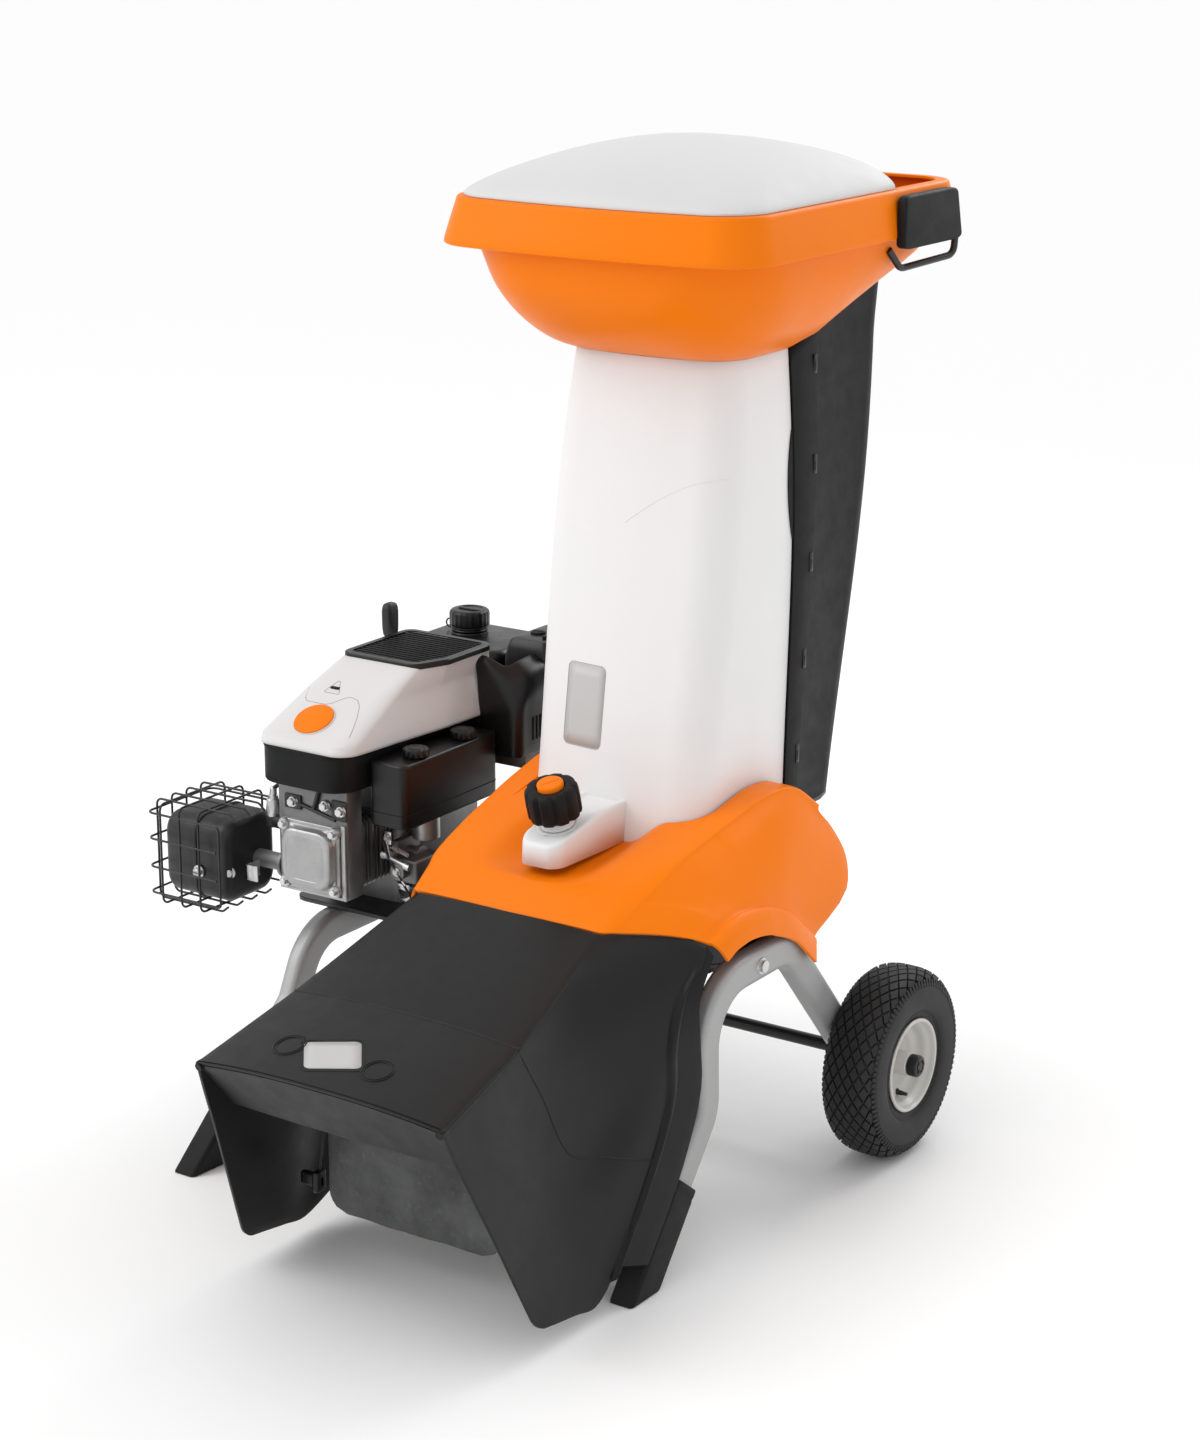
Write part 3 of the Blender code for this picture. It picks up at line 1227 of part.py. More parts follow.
def chute_at(z):
    """Half width, front, rear and seam of the feed chute at a height."""
    t = (z - chute_low()) / (CHUTE_TOP_Z - chute_low())
    swell = CHUTE_SWELL * math.sin(math.pi * max(0.0, min(1.0, t)) ** 1.5)
    return (lerp(CHUTE_BASE_HALF, CHUTE_TOP_HALF, t) + swell, lerp(CHUTE_BASE_FRONT, CHUTE_TOP_FRONT, t),
            lerp(CHUTE_BASE_REAR, CHUTE_TOP_REAR, t), lerp(CHUTE_BASE_SEAM, CHUTE_TOP_SEAM, t))


def chute_low():
    return DRUM_TOP_Z + DECK_THICK + FIT


def mouth_z(y):
    """Height of the chute's slanted top edge."""
    rise = (CHUTE_REAR_TOP_Z - CHUTE_TOP_Z) / (CHUTE_TOP_REAR - CHUTE_TOP_SEAM)
    return CHUTE_TOP_Z + rise * max(0.0, y - CHUTE_TOP_SEAM)


def front_plan(z, steps=CORNER_STEPS + 1):
    half, front, rear, seam = chute_at(z)
    seam -= SEAM_GAP
    c = CHUTE_CORNER
    m = CHUTE_X
    out = [(m + half, seam)]
    for i in range(steps + 1):
        out.append(arc_point((m + half - c, front + c), c, -0.5 * math.pi * i / steps))
    for share in (0.5, 0.0, -0.5):
        out.append((m + (half - c) * share, front - CHUTE_BULGE * (1 - share * share)))
    for i in range(steps + 1):
        out.append(arc_point((m - half + c, front + c), c, -0.5 * math.pi * (1 + i / steps)))
    out.append((m - half, seam))
    return out


def rear_plan(z, steps=CORNER_STEPS + 1):
    half, front, rear, seam = chute_at(z)
    seam += SEAM_GAP
    c = CHUTE_CORNER
    m = CHUTE_X
    t = (z - chute_low()) / (CHUTE_TOP_Z - chute_low())
    band = lerp(BAND_BASE, BAND_TOP, t)
    right = [(half + BAND_PROUD, seam), (half + BAND_PROUD, seam + band),
             (half, seam + band + BAND_PROUD)]
    for i in range(steps + 1):
        right.append(arc_point((half - c, rear - c), c, 0.5 * math.pi * i / steps))
    out = [(m + x, y) for x, y in right]
    out.append((m, rear))
    out += [(m - x, y) for x, y in reversed(right)]
    return out


def chute_front():
    """White front half of the chute with the boss that carries the lock knob."""
    low, high = chute_low() - TRIM, CHUTE_TOP_Z
    bm = bmesh.new()
    count = 4
    sheet(bm, [[(x, y, lerp(low, high, i / count)) for x, y in front_plan(lerp(low, high, i / count))]
               for i in range(count + 1)])
    made = keep("chute_front", bm, white(), 40.0)
    solidify(made, CHUTE_WALL)
    trim = box((CHUTE_X - 0.3, CHUTE_BASE_FRONT - 0.2, low - 0.05),
               (CHUTE_X + 0.3, CHUTE_BASE_REAR + 0.1, chute_low()))
    boolean(made, cutter("chute_foot_trim", trim))
    slope = math.tan(KNOB_TILT)
    base = KNOB_BASE_Z - FIT
    side = [(BOSS_FRONT, BOSS_LOW), (BOSS_FRONT, base + (BOSS_FRONT - KNOB_BASE_Y) * slope),
            (BOSS_CREST, base + (BOSS_CREST - KNOB_BASE_Y) * slope), (BOSS_REAR, BOSS_REAR_TOP),
            (BOSS_REAR, BOSS_LOW)]
    boss = loft([[(CHUTE_X + x, y, z) for y, z in side] for x in (-BOSS_HALF, BOSS_HALF)])
    upright = [e for e in boss.edges
               if abs(e.verts[0].co.z - e.verts[1].co.z) > 0.02 and e.verts[0].co.y < BOSS_FRONT + FIT]
    bmesh.ops.bevel(boss, geom=upright, offset=0.010, segments=3, profile=0.5, affect="EDGES")
    boolean(made, cutter("boss", boss), "UNION")
    bore = turned([(SPINDLE_RADIUS + FIT, -0.06), (SPINDLE_RADIUS + FIT, 0.03)],
                  (CHUTE_X, KNOB_BASE_Y, KNOB_BASE_Z), knob_axis(), 12)
    boolean(made, cutter("spindle_bore", bore))
    return made


def chute_rear():
    """Dark rear half of the chute, with clip slots in its band and two hinge lugs."""
    low = chute_low()
    count = 6
    base = rear_plan(low)
    rows = [[] for _ in range(count + 1)]
    for i, (x, y) in enumerate(base):
        top = CHUTE_TOP_Z
        for _ in range(6):
            top = mouth_z(rear_plan(top)[i][1])
        for k in range(count + 1):
            z = lerp(low - TRIM, top, k / count)
            px, py = rear_plan(z)[i]
            rows[k].append((px, py, z))
    bm = bmesh.new()
    sheet(bm, rows)
    made = keep("chute_rear", bm, black(), 40.0)
    solidify(made, CHUTE_WALL)
    boolean(made, bpy.data.objects["chute_foot_trim"])
    for side in (1, -1):
        for i in range(CLIP_COUNT):
            z = lerp(CLIP_LOW_Z, CLIP_HIGH_Z, i / (CLIP_COUNT - 1))
            half, front, rear, seam = chute_at(z)
            t = (z - low) / (CHUTE_TOP_Z - low)
            y = seam + lerp(BAND_BASE, BAND_TOP, t) - 0.004
            x = CHUTE_X + side * half
            slot = box((x - 0.02, y - 0.005, z - 0.013), (x + 0.02, y + 0.005, z + 0.013))
            boolean(made, cutter("clip_slot_%d_%d" % (i + 1, 1 if side > 0 else 2), slot))
        x = CHUTE_X + side * LUG_X
        arm = box((x - LUG_WIDE / 2, CHUTE_BASE_REAR - 0.002, HINGE_Z - 0.006),
                  (x + LUG_WIDE / 2, HINGE_Y, HINGE_Z + 0.010))
        boolean(made, cutter("hinge_arm_%d" % (1 if side > 0 else 2), arm), "UNION")
        eye = turned([(0.010, -LUG_WIDE / 2), (0.010, LUG_WIDE / 2)], (x, HINGE_Y, HINGE_Z),
                     (1, 0, 0), 16)
        boolean(made, cutter("hinge_eye_%d" % (1 if side > 0 else 2), eye), "UNION")
    reach = LUG_X + LUG_WIDE
    bore = turned([(HINGE_PIN_RADIUS + FIT, -reach), (HINGE_PIN_RADIUS + FIT, reach)],
                  (CHUTE_X, HINGE_Y, HINGE_Z), (1, 0, 0), 16)
    boolean(made, cutter("hinge_bore", bore))
    return made


def hinge():
    """Bracket on the deck and the pin the chute swings on."""
    low = chute_low()
    reach = LUG_X - LUG_WIDE / 2 - FIT
    base = box((CHUTE_X - reach, CHUTE_BASE_REAR + 0.012, low),
               (CHUTE_X + reach, DECK_REAR, HINGE_Z - 0.0115))
    made = keep("hinge_bracket", base, cast())
    for side in (1, -1):
        x = CHUTE_X + side * (reach - 0.006)
        knuckle = turned([(0.010, -0.006), (0.010, 0.006)], (x, HINGE_Y, HINGE_Z), (1, 0, 0), 16)
        boolean(made, cutter("knuckle_%d" % (1 if side > 0 else 2), knuckle), "UNION")
        post = box((x - 0.006, HINGE_Y - 0.006, low + 0.001), (x + 0.006, HINGE_Y + 0.009, HINGE_Z))
        boolean(made, cutter("post_%d" % (1 if side > 0 else 2), post), "UNION")
    long = LUG_X + LUG_WIDE
    bore = turned([(HINGE_PIN_RADIUS + FIT, -long), (HINGE_PIN_RADIUS + FIT, long)],
                  (CHUTE_X, HINGE_Y, HINGE_Z), (1, 0, 0), 16)
    boolean(made, cutter("bracket_bore", bore))
    pin = [(HINGE_PIN_RADIUS, -LUG_X - LUG_WIDE / 2 - 0.003), (HINGE_PIN_RADIUS, LUG_X + LUG_WIDE / 2 + 0.003)]
    keep("hinge_pin", turned(pin, (CHUTE_X, HINGE_Y, HINGE_Z), (1, 0, 0), 16), steel())


# Hopper


def hopper_ring(half, front, rear, corner, height, bulge=0.0, steps=CORNER_STEPS):
    """A plan ring of the hopper. Height is a number or a function of y."""
    out = []
    m = CHUTE_X
    plan = rounded_rectangle(-half, half, front, rear, corner, steps)
    count = len(plan)
    for i, (x, y) in enumerate(plan):
        nx, ny = plan[(i + 1) % count]
        out.append((x, y))
        if (i + 1) % (steps + 1) == 0:
            for share in (0.25, 0.5, 0.75):
                out.append((lerp(x, nx, share), lerp(y, ny, share)))
    ring = []
    for x, y in out:
        share = x / half
        deep = (rear - y) / (rear - front)
        y -= bulge * (1 - share * share) * deep
        z = height(y) if callable(height) else height
        ring.append((m + x, y, z))
    return ring


def bowl_row(share, half, front, rear, corner, bulge):
    """One ring of the bowl at a share of its depth, between the chute's mouth and the rim."""
    def height(y):
        return lerp(mouth_z(y) + FIT, RIM_BOTTOM_Z, share)
    return hopper_ring(half, front, rear, corner, height, bulge)


def bowl():
    """White bowl with its upright rim band."""
    half, front, rear, seam = chute_at(CHUTE_TOP_Z)
    half += BAND_PROUD
    rear = chute_at(CHUTE_REAR_TOP_Z)[2]
    b = CHUTE_BULGE
    rows = [
        bowl_row(0.0, half, front - 0.0005, rear + 0.001, CHUTE_CORNER, b),
        bowl_row(0.12, half + 0.020, front - 0.030, rear + 0.004, 0.075, b + 0.002),
        bowl_row(0.32, half + 0.046, front - 0.066, rear + 0.006, 0.100, b + 0.006),
        bowl_row(0.62, half + 0.070, front - 0.094, rear + 0.009, 0.115, b + 0.012),
        bowl_row(1.0, RIM_HALF - 0.012, RIM_FRONT + 0.012, RIM_REAR - 0.006, RIM_CORNER + 0.03,
                 RIM_BULGE),
    ]
    for inset, z in ((0.0, RIM_BOTTOM_Z + 0.001), (0.0, RIM_BOTTOM_Z + 0.005),
                     (RIM_FLARE, RIM_TOP_Z - 0.006), (RIM_FLARE + 0.003, RIM_TOP_Z),
                     (RIM_FLARE + 0.016, RIM_TOP_Z)):
        rows.append(hopper_ring(RIM_HALF - inset, RIM_FRONT + inset, RIM_REAR - inset,
                                RIM_CORNER - inset / 2, z, RIM_BULGE))
    bm = bmesh.new()
    sheet(bm, rows, closed=True)
    made = keep("hopper_bowl", bm, orange(), 40.0)
    solidify(made, HOPPER_WALL)
    return made


def dome_height(y):
    """Crown height along the dome, which falls again behind its peak."""
    past = max(0.0, (y - DOME_PEAK) / (DOME_REAR - DOME_PEAK))
    return DOME_RISE - DOME_FALL * past * past


def dome():
    """Splash guard on the rim, open to the rear."""
    inset = RIM_FLARE + 0.007
    ring = hopper_ring(RIM_HALF - inset, RIM_FRONT + inset, RIM_REAR - inset, RIM_CORNER - 0.006,
                       0.0, RIM_BULGE, CORNER_STEPS + 1)
    side = [p for p in ring if p[1] < DOME_REAR - 0.02]
    left = sorted([p for p in side if p[0] < CHUTE_X], key=lambda p: (-p[1], p[0]))
    right = sorted([p for p in side if p[0] >= CHUTE_X], key=lambda p: (p[1], p[0]))
    edge_x = max(p[0] for p in side) - CHUTE_X
    line = [(CHUTE_X - edge_x, DOME_REAR)]
    line += [(p[0], p[1]) for p in left]
    line += [(p[0], p[1]) for p in right]
    line.append((CHUTE_X + edge_x, DOME_REAR))
    base = RIM_TOP_Z + FIT
    rows = [[(x, y, base) for x, y in line]]
    base += DOME_WALL
    for share in (0.0, 0.015, 0.06, 0.15, 0.30, 0.50, 0.75):
        lift = (1 - (1 - share) ** 2.2) ** 0.62
        row = []
        for x, y in line:
            py = lerp(y, DOME_REAR, share)
            row.append((lerp(x, CHUTE_X, share), py, base + dome_height(py) * lift))
        rows.append(row)
    bm = bmesh.new()
    made = sheet(bm, rows)
    top = bm.verts.new((CHUTE_X, DOME_REAR, base + dome_height(DOME_REAR)))
    last = made[-1]
    for a, b in zip(last, last[1:]):
        bm.faces.new((a, b, top))
    made = keep("hopper_dome", bm, white(), 40.0)
    solidify(made, DOME_WALL)
    return made


def grip(name, side):
    """Dark grip at a rear corner of the rim, with its bail below."""
    x = RIM_HALF + GRIP_GAP
    low = (CHUTE_X + side * x, GRIP_FRONT, RIM_BOTTOM_Z - 0.012)
    high = (CHUTE_X + side * (x + GRIP_DEEP), GRIP_REAR, RIM_TOP_Z - 0.007)
    low, high = ([min(a, b) for a, b in zip(low, high)], [max(a, b) for a, b in zip(low, high)])
    made = keep(name, box(low, high, 0.004), black())
    middle = CHUTE_X + side * (x + GRIP_DEEP / 2)
    z = low[2]
    corners = [(middle, GRIP_REAR - 0.008, z + 0.004), (middle, GRIP_REAR - 0.010, z - 0.022),
               (middle - side * 0.020, GRIP_FRONT + 0.045, z - 0.026), (middle, GRIP_FRONT + 0.030, z + 0.004)]
    path = rounded_path(corners, (0.010, 0.010), 4)
    boolean(made, cutter(name + "_bail", swept(path, round_section(0.004, 8), Vector((1, 0, 0)))),
            "UNION")
    return made


# Lock knob


def knob_axis():
    return Vector((0.0, -math.sin(KNOB_TILT), math.cos(KNOB_TILT)))


def knob():
    """Spindle with its white collar, lobed knob and sprung button."""
    at = (CHUTE_X, KNOB_BASE_Y, KNOB_BASE_Z)
    stub = [(SPINDLE_RADIUS, -SPINDLE_DROP), (SPINDLE_RADIUS, 0.0), (COLLAR_RADIUS, 0.0),
            (COLLAR_RADIUS, COLLAR_HEIGHT), (SPINDLE_RADIUS, COLLAR_HEIGHT),
            (SPINDLE_RADIUS, COLLAR_HEIGHT + 0.010)]
    keep("knob_spindle", turned(stub, at, knob_axis()), white())
    lobes = 10
    steps = lobes * 4
    rows = []
    for height, scale in ((0.0, 0.93), (0.003, 1.0), (KNOB_HEIGHT - 0.008, 0.98),
                          (KNOB_HEIGHT - 0.002, 0.93), (KNOB_HEIGHT, 0.86)):
        ring = []
        for i in range(steps):
            turn = 2 * math.pi * i / steps
            radius = KNOB_RADIUS * (1 + 0.06 * math.cos(lobes * turn)) * scale
            ring.append((radius * math.cos(turn), radius * math.sin(turn),
                         COLLAR_HEIGHT + FIT + height))
        rows.append(ring)
    bm = loft(rows)
    bmesh.ops.transform(bm, matrix=Matrix.Translation(at) @ aim(knob_axis()), verts=bm.verts)
    made = keep("lock_knob", bm, black())
    top = COLLAR_HEIGHT + FIT + KNOB_HEIGHT
    floor = top - BUTTON_DEPTH
    well = turned([(BUTTON_RADIUS + FIT, floor), (BUTTON_RADIUS + FIT, top + 0.01)], at,
                  knob_axis())
    boolean(made, cutter("button_well", well))
    socket = turned([(SPINDLE_RADIUS + FIT, 0.0), (SPINDLE_RADIUS + FIT, COLLAR_HEIGHT + 0.0106)],
                    at, knob_axis())
    boolean(made, cutter("knob_socket", socket))
    button = [(BUTTON_RADIUS, floor + BUTTON_TRAVEL + FIT), (BUTTON_RADIUS, top + BUTTON_RISE - 0.002),
              (BUTTON_RADIUS - 0.003, top + BUTTON_RISE)]
    keep("knob_button", turned(button, at, knob_axis()), orange())


def pivot(at, *names):
    """Put the origins of moving pieces on their joint's axis."""
    at = Vector(at)
    for name in names:
        made = bpy.data.objects[name]
        made.data.transform(Matrix.Translation(-at))
        made.location = at


def pivots():
    pivot((CHUTE_X, HINGE_Y, HINGE_Z), "chute_front", "chute_rear", "hopper_bowl", "hopper_dome",
          "hopper_grip_right", "hopper_grip_left")
    pivot((CHUTE_X, KNOB_BASE_Y, KNOB_BASE_Z), "knob_spindle", "lock_knob", "knob_button")
    for suffix, side in (("right", 1), ("left", -1)):
        pivot((side * WHEEL_X, 0, TYRE_RADIUS), "tyre_" + suffix, "rim_" + suffix)
    pivot((ENGINE_X, ENGINE_Y, plate_top()), "crankshaft", "flywheel", "engine_pulley")
    pivot((CHUTE_X, ROTOR_Y, plate_top()), "rotor_shaft", "rotor_pulley", "blade_disc", "blade_1",
          "blade_2")
    pivot((CHUTE_X, CURTAIN_Y, CURTAIN_Z), "curtain")
    pivot((CAP_X, CAP_Y, TANK_TOP), "fuel_cap")
    pivot((AIR_KNOB_X, AIR_KNOB_FRONT_Y, AIR_BOX_TOP), "air_knob_front")
    pivot((AIR_KNOB_X, AIR_KNOB_REAR_Y, AIR_BOX_TOP), "air_knob_rear")
    pivot((CORD_X, CORD_Y, SHROUD_TOP), "starter_grip", "starter_cord")


def settle(root):
    """Move the whole machine so that the middle of its footprint is the origin."""
    bpy.context.view_layer.update()
    graph = bpy.context.evaluated_depsgraph_get()
    low = Vector((1e9, 1e9, 1e9))
    high = -low
    for made in bpy.data.objects:
        if made.type != "MESH" or made.hide_render:
            continue
        shape = made.evaluated_get(graph)
        mesh = shape.to_mesh()
        for v in mesh.vertices:
            at = made.matrix_world @ v.co
            low = Vector(map(min, low, at))
            high = Vector(map(max, high, at))
        shape.to_mesh_clear()
    root.location = (-(low.x + high.x) / 2, -(low.y + high.y) / 2, -low.z)
    bpy.context.view_layer.update()
    print("size", [round(v, 5) for v in high - low])
    print("shift", [round(v, 5) for v in root.location])


def main():
    for old in list(bpy.data.objects):
        bpy.data.objects.remove(old, do_unlink=True)
    root = bpy.data.objects.new("shredder", None)
    bpy.context.scene.collection.objects.link(root)
    frame_tube("frame_tube_right", 1, RIGHT_ARCH_FRONT, RIGHT_ARCH_REAR, RIGHT_ARCH_Z)
    frame_tube("frame_tube_left", -1, LEFT_ARCH_FRONT, LEFT_ARCH_REAR, LEFT_ARCH_Z)
    frame_bolt()
    for suffix, side in (("right", 1), ("left", -1)):
        foot("foot_" + suffix, side)
        wheel(suffix, side)
    axle()
    plate()
    chamber()
    rotor()
    pulley("engine_pulley", ENGINE_X, ENGINE_Y, ENGINE_PULLEY_RADIUS, CRANK_RADIUS + FIT)
    pulley("rotor_pulley", CHUTE_X, ROTOR_Y, ROTOR_PULLEY_RADIUS, SHAFT_RADIUS + FIT)
    drive_belt()
    belt_cover()
    block()
    crank()
    skirt()
    shroud()
    badge()
    starter()
    air_filter()
    exhaust()
    fuel_and_controls()
    cover()
    hood()
    curtain()
    chute_front()
    chute_rear()
    hinge()
    bowl()
    dome()
    grip("hopper_grip_right", 1)
    grip("hopper_grip_left", -1)
    knob()
    pivots()
    settle(root)


if __name__ == "__main__":
    main()
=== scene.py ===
"""Studio scene of a wheeled petrol garden shredder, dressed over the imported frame."""

import json
import math

import bmesh
import bpy
from bpy.props import (
    FloatProperty,
    FloatVectorProperty,
    IntProperty,
    PointerProperty,
)
from mathutils import Matrix, Vector
from mathutils.bvhtree import BVHTree

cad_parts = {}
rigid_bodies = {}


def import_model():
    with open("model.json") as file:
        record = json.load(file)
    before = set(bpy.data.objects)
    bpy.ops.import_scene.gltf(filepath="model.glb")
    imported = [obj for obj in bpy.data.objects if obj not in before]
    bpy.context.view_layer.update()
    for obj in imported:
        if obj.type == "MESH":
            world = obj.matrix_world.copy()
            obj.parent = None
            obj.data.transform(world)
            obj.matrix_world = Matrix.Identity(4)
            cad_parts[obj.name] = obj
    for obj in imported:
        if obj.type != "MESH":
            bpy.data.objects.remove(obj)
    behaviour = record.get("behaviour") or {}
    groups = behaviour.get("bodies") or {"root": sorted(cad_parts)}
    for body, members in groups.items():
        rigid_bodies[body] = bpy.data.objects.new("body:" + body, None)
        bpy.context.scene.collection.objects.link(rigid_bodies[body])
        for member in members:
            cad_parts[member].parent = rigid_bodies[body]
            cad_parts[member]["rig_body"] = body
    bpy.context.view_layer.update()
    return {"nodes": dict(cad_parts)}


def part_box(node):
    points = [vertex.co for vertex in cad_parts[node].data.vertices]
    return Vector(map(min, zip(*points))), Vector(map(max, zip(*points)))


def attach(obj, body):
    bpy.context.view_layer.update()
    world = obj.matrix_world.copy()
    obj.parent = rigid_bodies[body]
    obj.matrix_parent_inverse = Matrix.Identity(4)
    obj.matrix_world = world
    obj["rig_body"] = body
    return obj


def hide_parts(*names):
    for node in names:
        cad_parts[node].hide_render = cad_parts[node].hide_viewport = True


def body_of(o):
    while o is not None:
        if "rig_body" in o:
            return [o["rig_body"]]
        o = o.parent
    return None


bl_info = {
    "name": "Garden shredder",
    "version": (1, 0, 0),
    "blender": (4, 5, 0),
    "location": "View3D > Sidebar > Shredder",
    "description": "Dresses the shredder's frame with its shells, wheels, engine and studio",
    "category": "Object",
}

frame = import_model()


def middle_of(node):
    low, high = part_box(node)
    return (low + high) / 2


AXLE = middle_of("axle")
ORIGIN = Vector((AXLE.x, AXLE.y, 0.0))
WHEEL_RADIUS = (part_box("tyre_right")[1].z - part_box("tyre_right")[0].z) / 2
LOOKS = {}


# Settings


def size(name, description, default):
    """A length in metres."""
    return FloatProperty(name=name, description=description, default=default, unit="LENGTH",
                         precision=4)


def share(name, description, default):
    """A number from nought to one."""
    return FloatProperty(name=name, description=description, default=default, min=0.0, max=1.0,
                         subtype="FACTOR")


def colour(name, description, default):
    return FloatVectorProperty(name=name, description=description, default=default, size=3,
                               subtype="COLOR", min=0.0, max=1.0)


class ShellSettings(bpy.types.PropertyGroup):
    """Moulded plastic shells"""
    orange: colour("Orange", "Housing, hopper and button", (0.88, 0.195, 0.002))
    light: colour("Light grey", "Chute front and splash guard", (0.78, 0.78, 0.78))
    engine_light: colour("Engine white", "Engine cowl", (0.66, 0.657, 0.653))
    dark: colour("Dark grey", "Chute rear, hood, feet and caps", (0.0088, 0.0091, 0.0091))
    grain: size("Grain", "Spacing of the moulded grain", 0.0007)
    gloss: share("Gloss", "Gloss of the smooth shells", 0.62)


class MetalSettings(bpy.types.PropertyGroup):
    """Painted and bare metal"""
    tube: colour("Tube", "Powder coat of the frame tubes", (0.36, 0.36, 0.36))
    rim: colour("Rim", "Paint of the wheel rims", (0.56, 0.55, 0.52))
    casting: colour("Casting", "Bare cast metal", (0.42, 0.42, 0.42))
    bright: colour("Bright steel", "Turned and zinc plated steel", (0.6, 0.6, 0.6))
    black: colour("Black coat", "Plate, axle and wire guard", (0.007, 0.007, 0.0075))


class TyreSettings(bpy.types.PropertyGroup):
    """Tyre and its tread"""
    rubber: colour("Rubber", "Tyre rubber", (0.0115, 0.012, 0.0125))
    blocks: IntProperty(name="Tread blocks", description="Tread blocks round the tyre", default=32,
                        min=12, max=80)
    block_height: size("Block height", "Height of a tread block", 0.0032)
    lug_length: size("Lug length", "Length of a shoulder lug", 0.011)


class StudioSettings(bpy.types.PropertyGroup):
    """Camera, floor and lights"""
    lens: FloatProperty(name="Lens", description="Focal length in millimetres", default=76.965)
    floor: colour("Floor", "Floor colour", (0.95, 0.95, 0.95))
    key: FloatProperty(name="Key", description="Strength of the main light", default=0.95)
    sky: FloatProperty(name="Sky", description="Strength of the surrounding light", default=0.84)


def shells():
    return bpy.context.scene.shredder_shells


def metals():
    return bpy.context.scene.shredder_metals


# Materials


class Nodes:
    """A short way to wire a material's nodes."""

    def __init__(self, name):
        self.look = bpy.data.materials.new(name)
        self.look.use_nodes = True
        self.tree = self.look.node_tree
        self.shader = self.tree.nodes["Principled BSDF"]
        self.coords = self.tree.nodes.new("ShaderNodeTexCoord")

    def add(self, kind, **values):
        node = self.tree.nodes.new(kind)
        for key, value in values.items():
            if hasattr(node, key):
                setattr(node, key, value)
            else:
                node.inputs[key.replace("_", " ")].default_value = value
        return node

    def link(self, a, b):
        self.tree.links.new(a, b)

    def mapped(self, stretch):
        node = self.add("ShaderNodeMapping")
        node.inputs["Scale"].default_value = stretch
        self.link(self.coords.outputs["Object"], node.inputs["Vector"])
        return node.outputs["Vector"]

    def noise(self, scale, detail=3.0, roughness=0.55, stretch=(1, 1, 1)):
        node = self.add("ShaderNodeTexNoise", Scale=scale, Detail=detail, Roughness=roughness)
        self.link(self.mapped(stretch), node.inputs["Vector"])
        return node.outputs["Fac"]

    def spread(self, value, low, high, to_low, to_high):
        node = self.add("ShaderNodeMapRange")
        for key, number in (("From Min", low), ("From Max", high), ("To Min", to_low),
                            ("To Max", to_high)):
            node.inputs[key].default_value = number
        self.link(value, node.inputs["Value"])
        return node.outputs["Result"]

    def mix(self, factor, a, b):
        node = self.tree.nodes.new("ShaderNodeMix")
        node.data_type = "RGBA"
        weight, first, second = (node.inputs[i] for i in (0, 6, 7))
        self.link(factor, weight)
        for value, socket in ((a, first), (b, second)):
            if hasattr(value, "is_linked"):
                self.link(value, socket)
            else:
                socket.default_value = (*value, 1.0)
        return node.outputs[2]

    def bump(self, height, depth, strength=1.0, below=None):
        node = self.add("ShaderNodeBump", Strength=strength, Distance=depth)
        self.link(height, node.inputs["Height"])
        if below is not None:
            self.link(below, node.inputs["Normal"])
        return node.outputs["Normal"]

    def set(self, **values):
        for key, value in values.items():
            socket = self.shader.inputs[key.replace("_", " ")]
            if hasattr(value, "is_linked"):
                self.link(value, socket)
            elif hasattr(value, "__len__"):
                socket.default_value = (*value, 1.0)
            else:
                socket.default_value = value


def tint(base, factor):
    return tuple(min(1.0, c * factor) for c in base)


def moulded(name, base, roughness, grain, depth, coat=0.0, shift=0.05, sheen=0.32):
    """Injection moulded plastic: fine grain, faint flow marks, slightly uneven gloss."""
    n = Nodes(name)
    flow = n.noise(5.0, 4.0, 0.6)
    skin = n.noise(1.0 / grain, 2.0, 0.5)
    faint = n.noise(38.0, 4.0, 0.6)
    scuff = n.noise(60.0, 6.0, 0.7, (1, 1, 0.25))
    near = n.mix(n.spread(flow, 0.3, 0.7, 0.0, 1.0), tint(base, 1 - shift), tint(base, 1 + shift))
    worn = n.mix(n.spread(scuff, 0.62, 0.8, 0.0, 0.35), near, tint(base, 1.0 + 2 * shift))
    n.set(Base_Color=worn, Roughness=n.spread(faint, 0.3, 0.7, roughness - 0.05, roughness + 0.06))
    rough = n.bump(skin, depth)
    n.set(Normal=n.bump(faint, depth * 4, 0.35, rough))
    n.set(Coat_Weight=coat, Coat_Roughness=0.25, IOR=1.48, Specular_IOR_Level=sheen)
    return n.look


def coated(name, base, roughness, peel, metallic=0.0, flake=0.0):
    """Powder coat or paint on steel, with orange peel, dust in the low places and rubbed edges."""
    n = Nodes(name)
    dust = n.noise(14.0, 5.0, 0.65)
    skin = n.noise(1.0 / peel, 2.0, 0.5)
    spots = n.noise(900.0, 1.0, 0.5)
    tone = n.mix(n.spread(dust, 0.35, 0.7, 0.0, 1.0), tint(base, 0.94), tint(base, 1.05))
    if flake:
        tone = n.mix(n.spread(spots, 0.5, 0.75, 0.0, flake), tone, tint(base, 1.5))
    edge = n.add("ShaderNodeNewGeometry").outputs["Pointiness"]
    rub = n.mix(n.spread(edge, 0.54, 0.62, 0.0, 0.35), tone, tint(base, 1.35))
    n.set(Base_Color=rub, Roughness=n.spread(dust, 0.3, 0.7, roughness - 0.06, roughness + 0.08))
    n.set(Normal=n.bump(skin, 0.0001, 0.6), Metallic=metallic, Coat_Weight=0.15,
          Coat_Roughness=0.3)
    return n.look


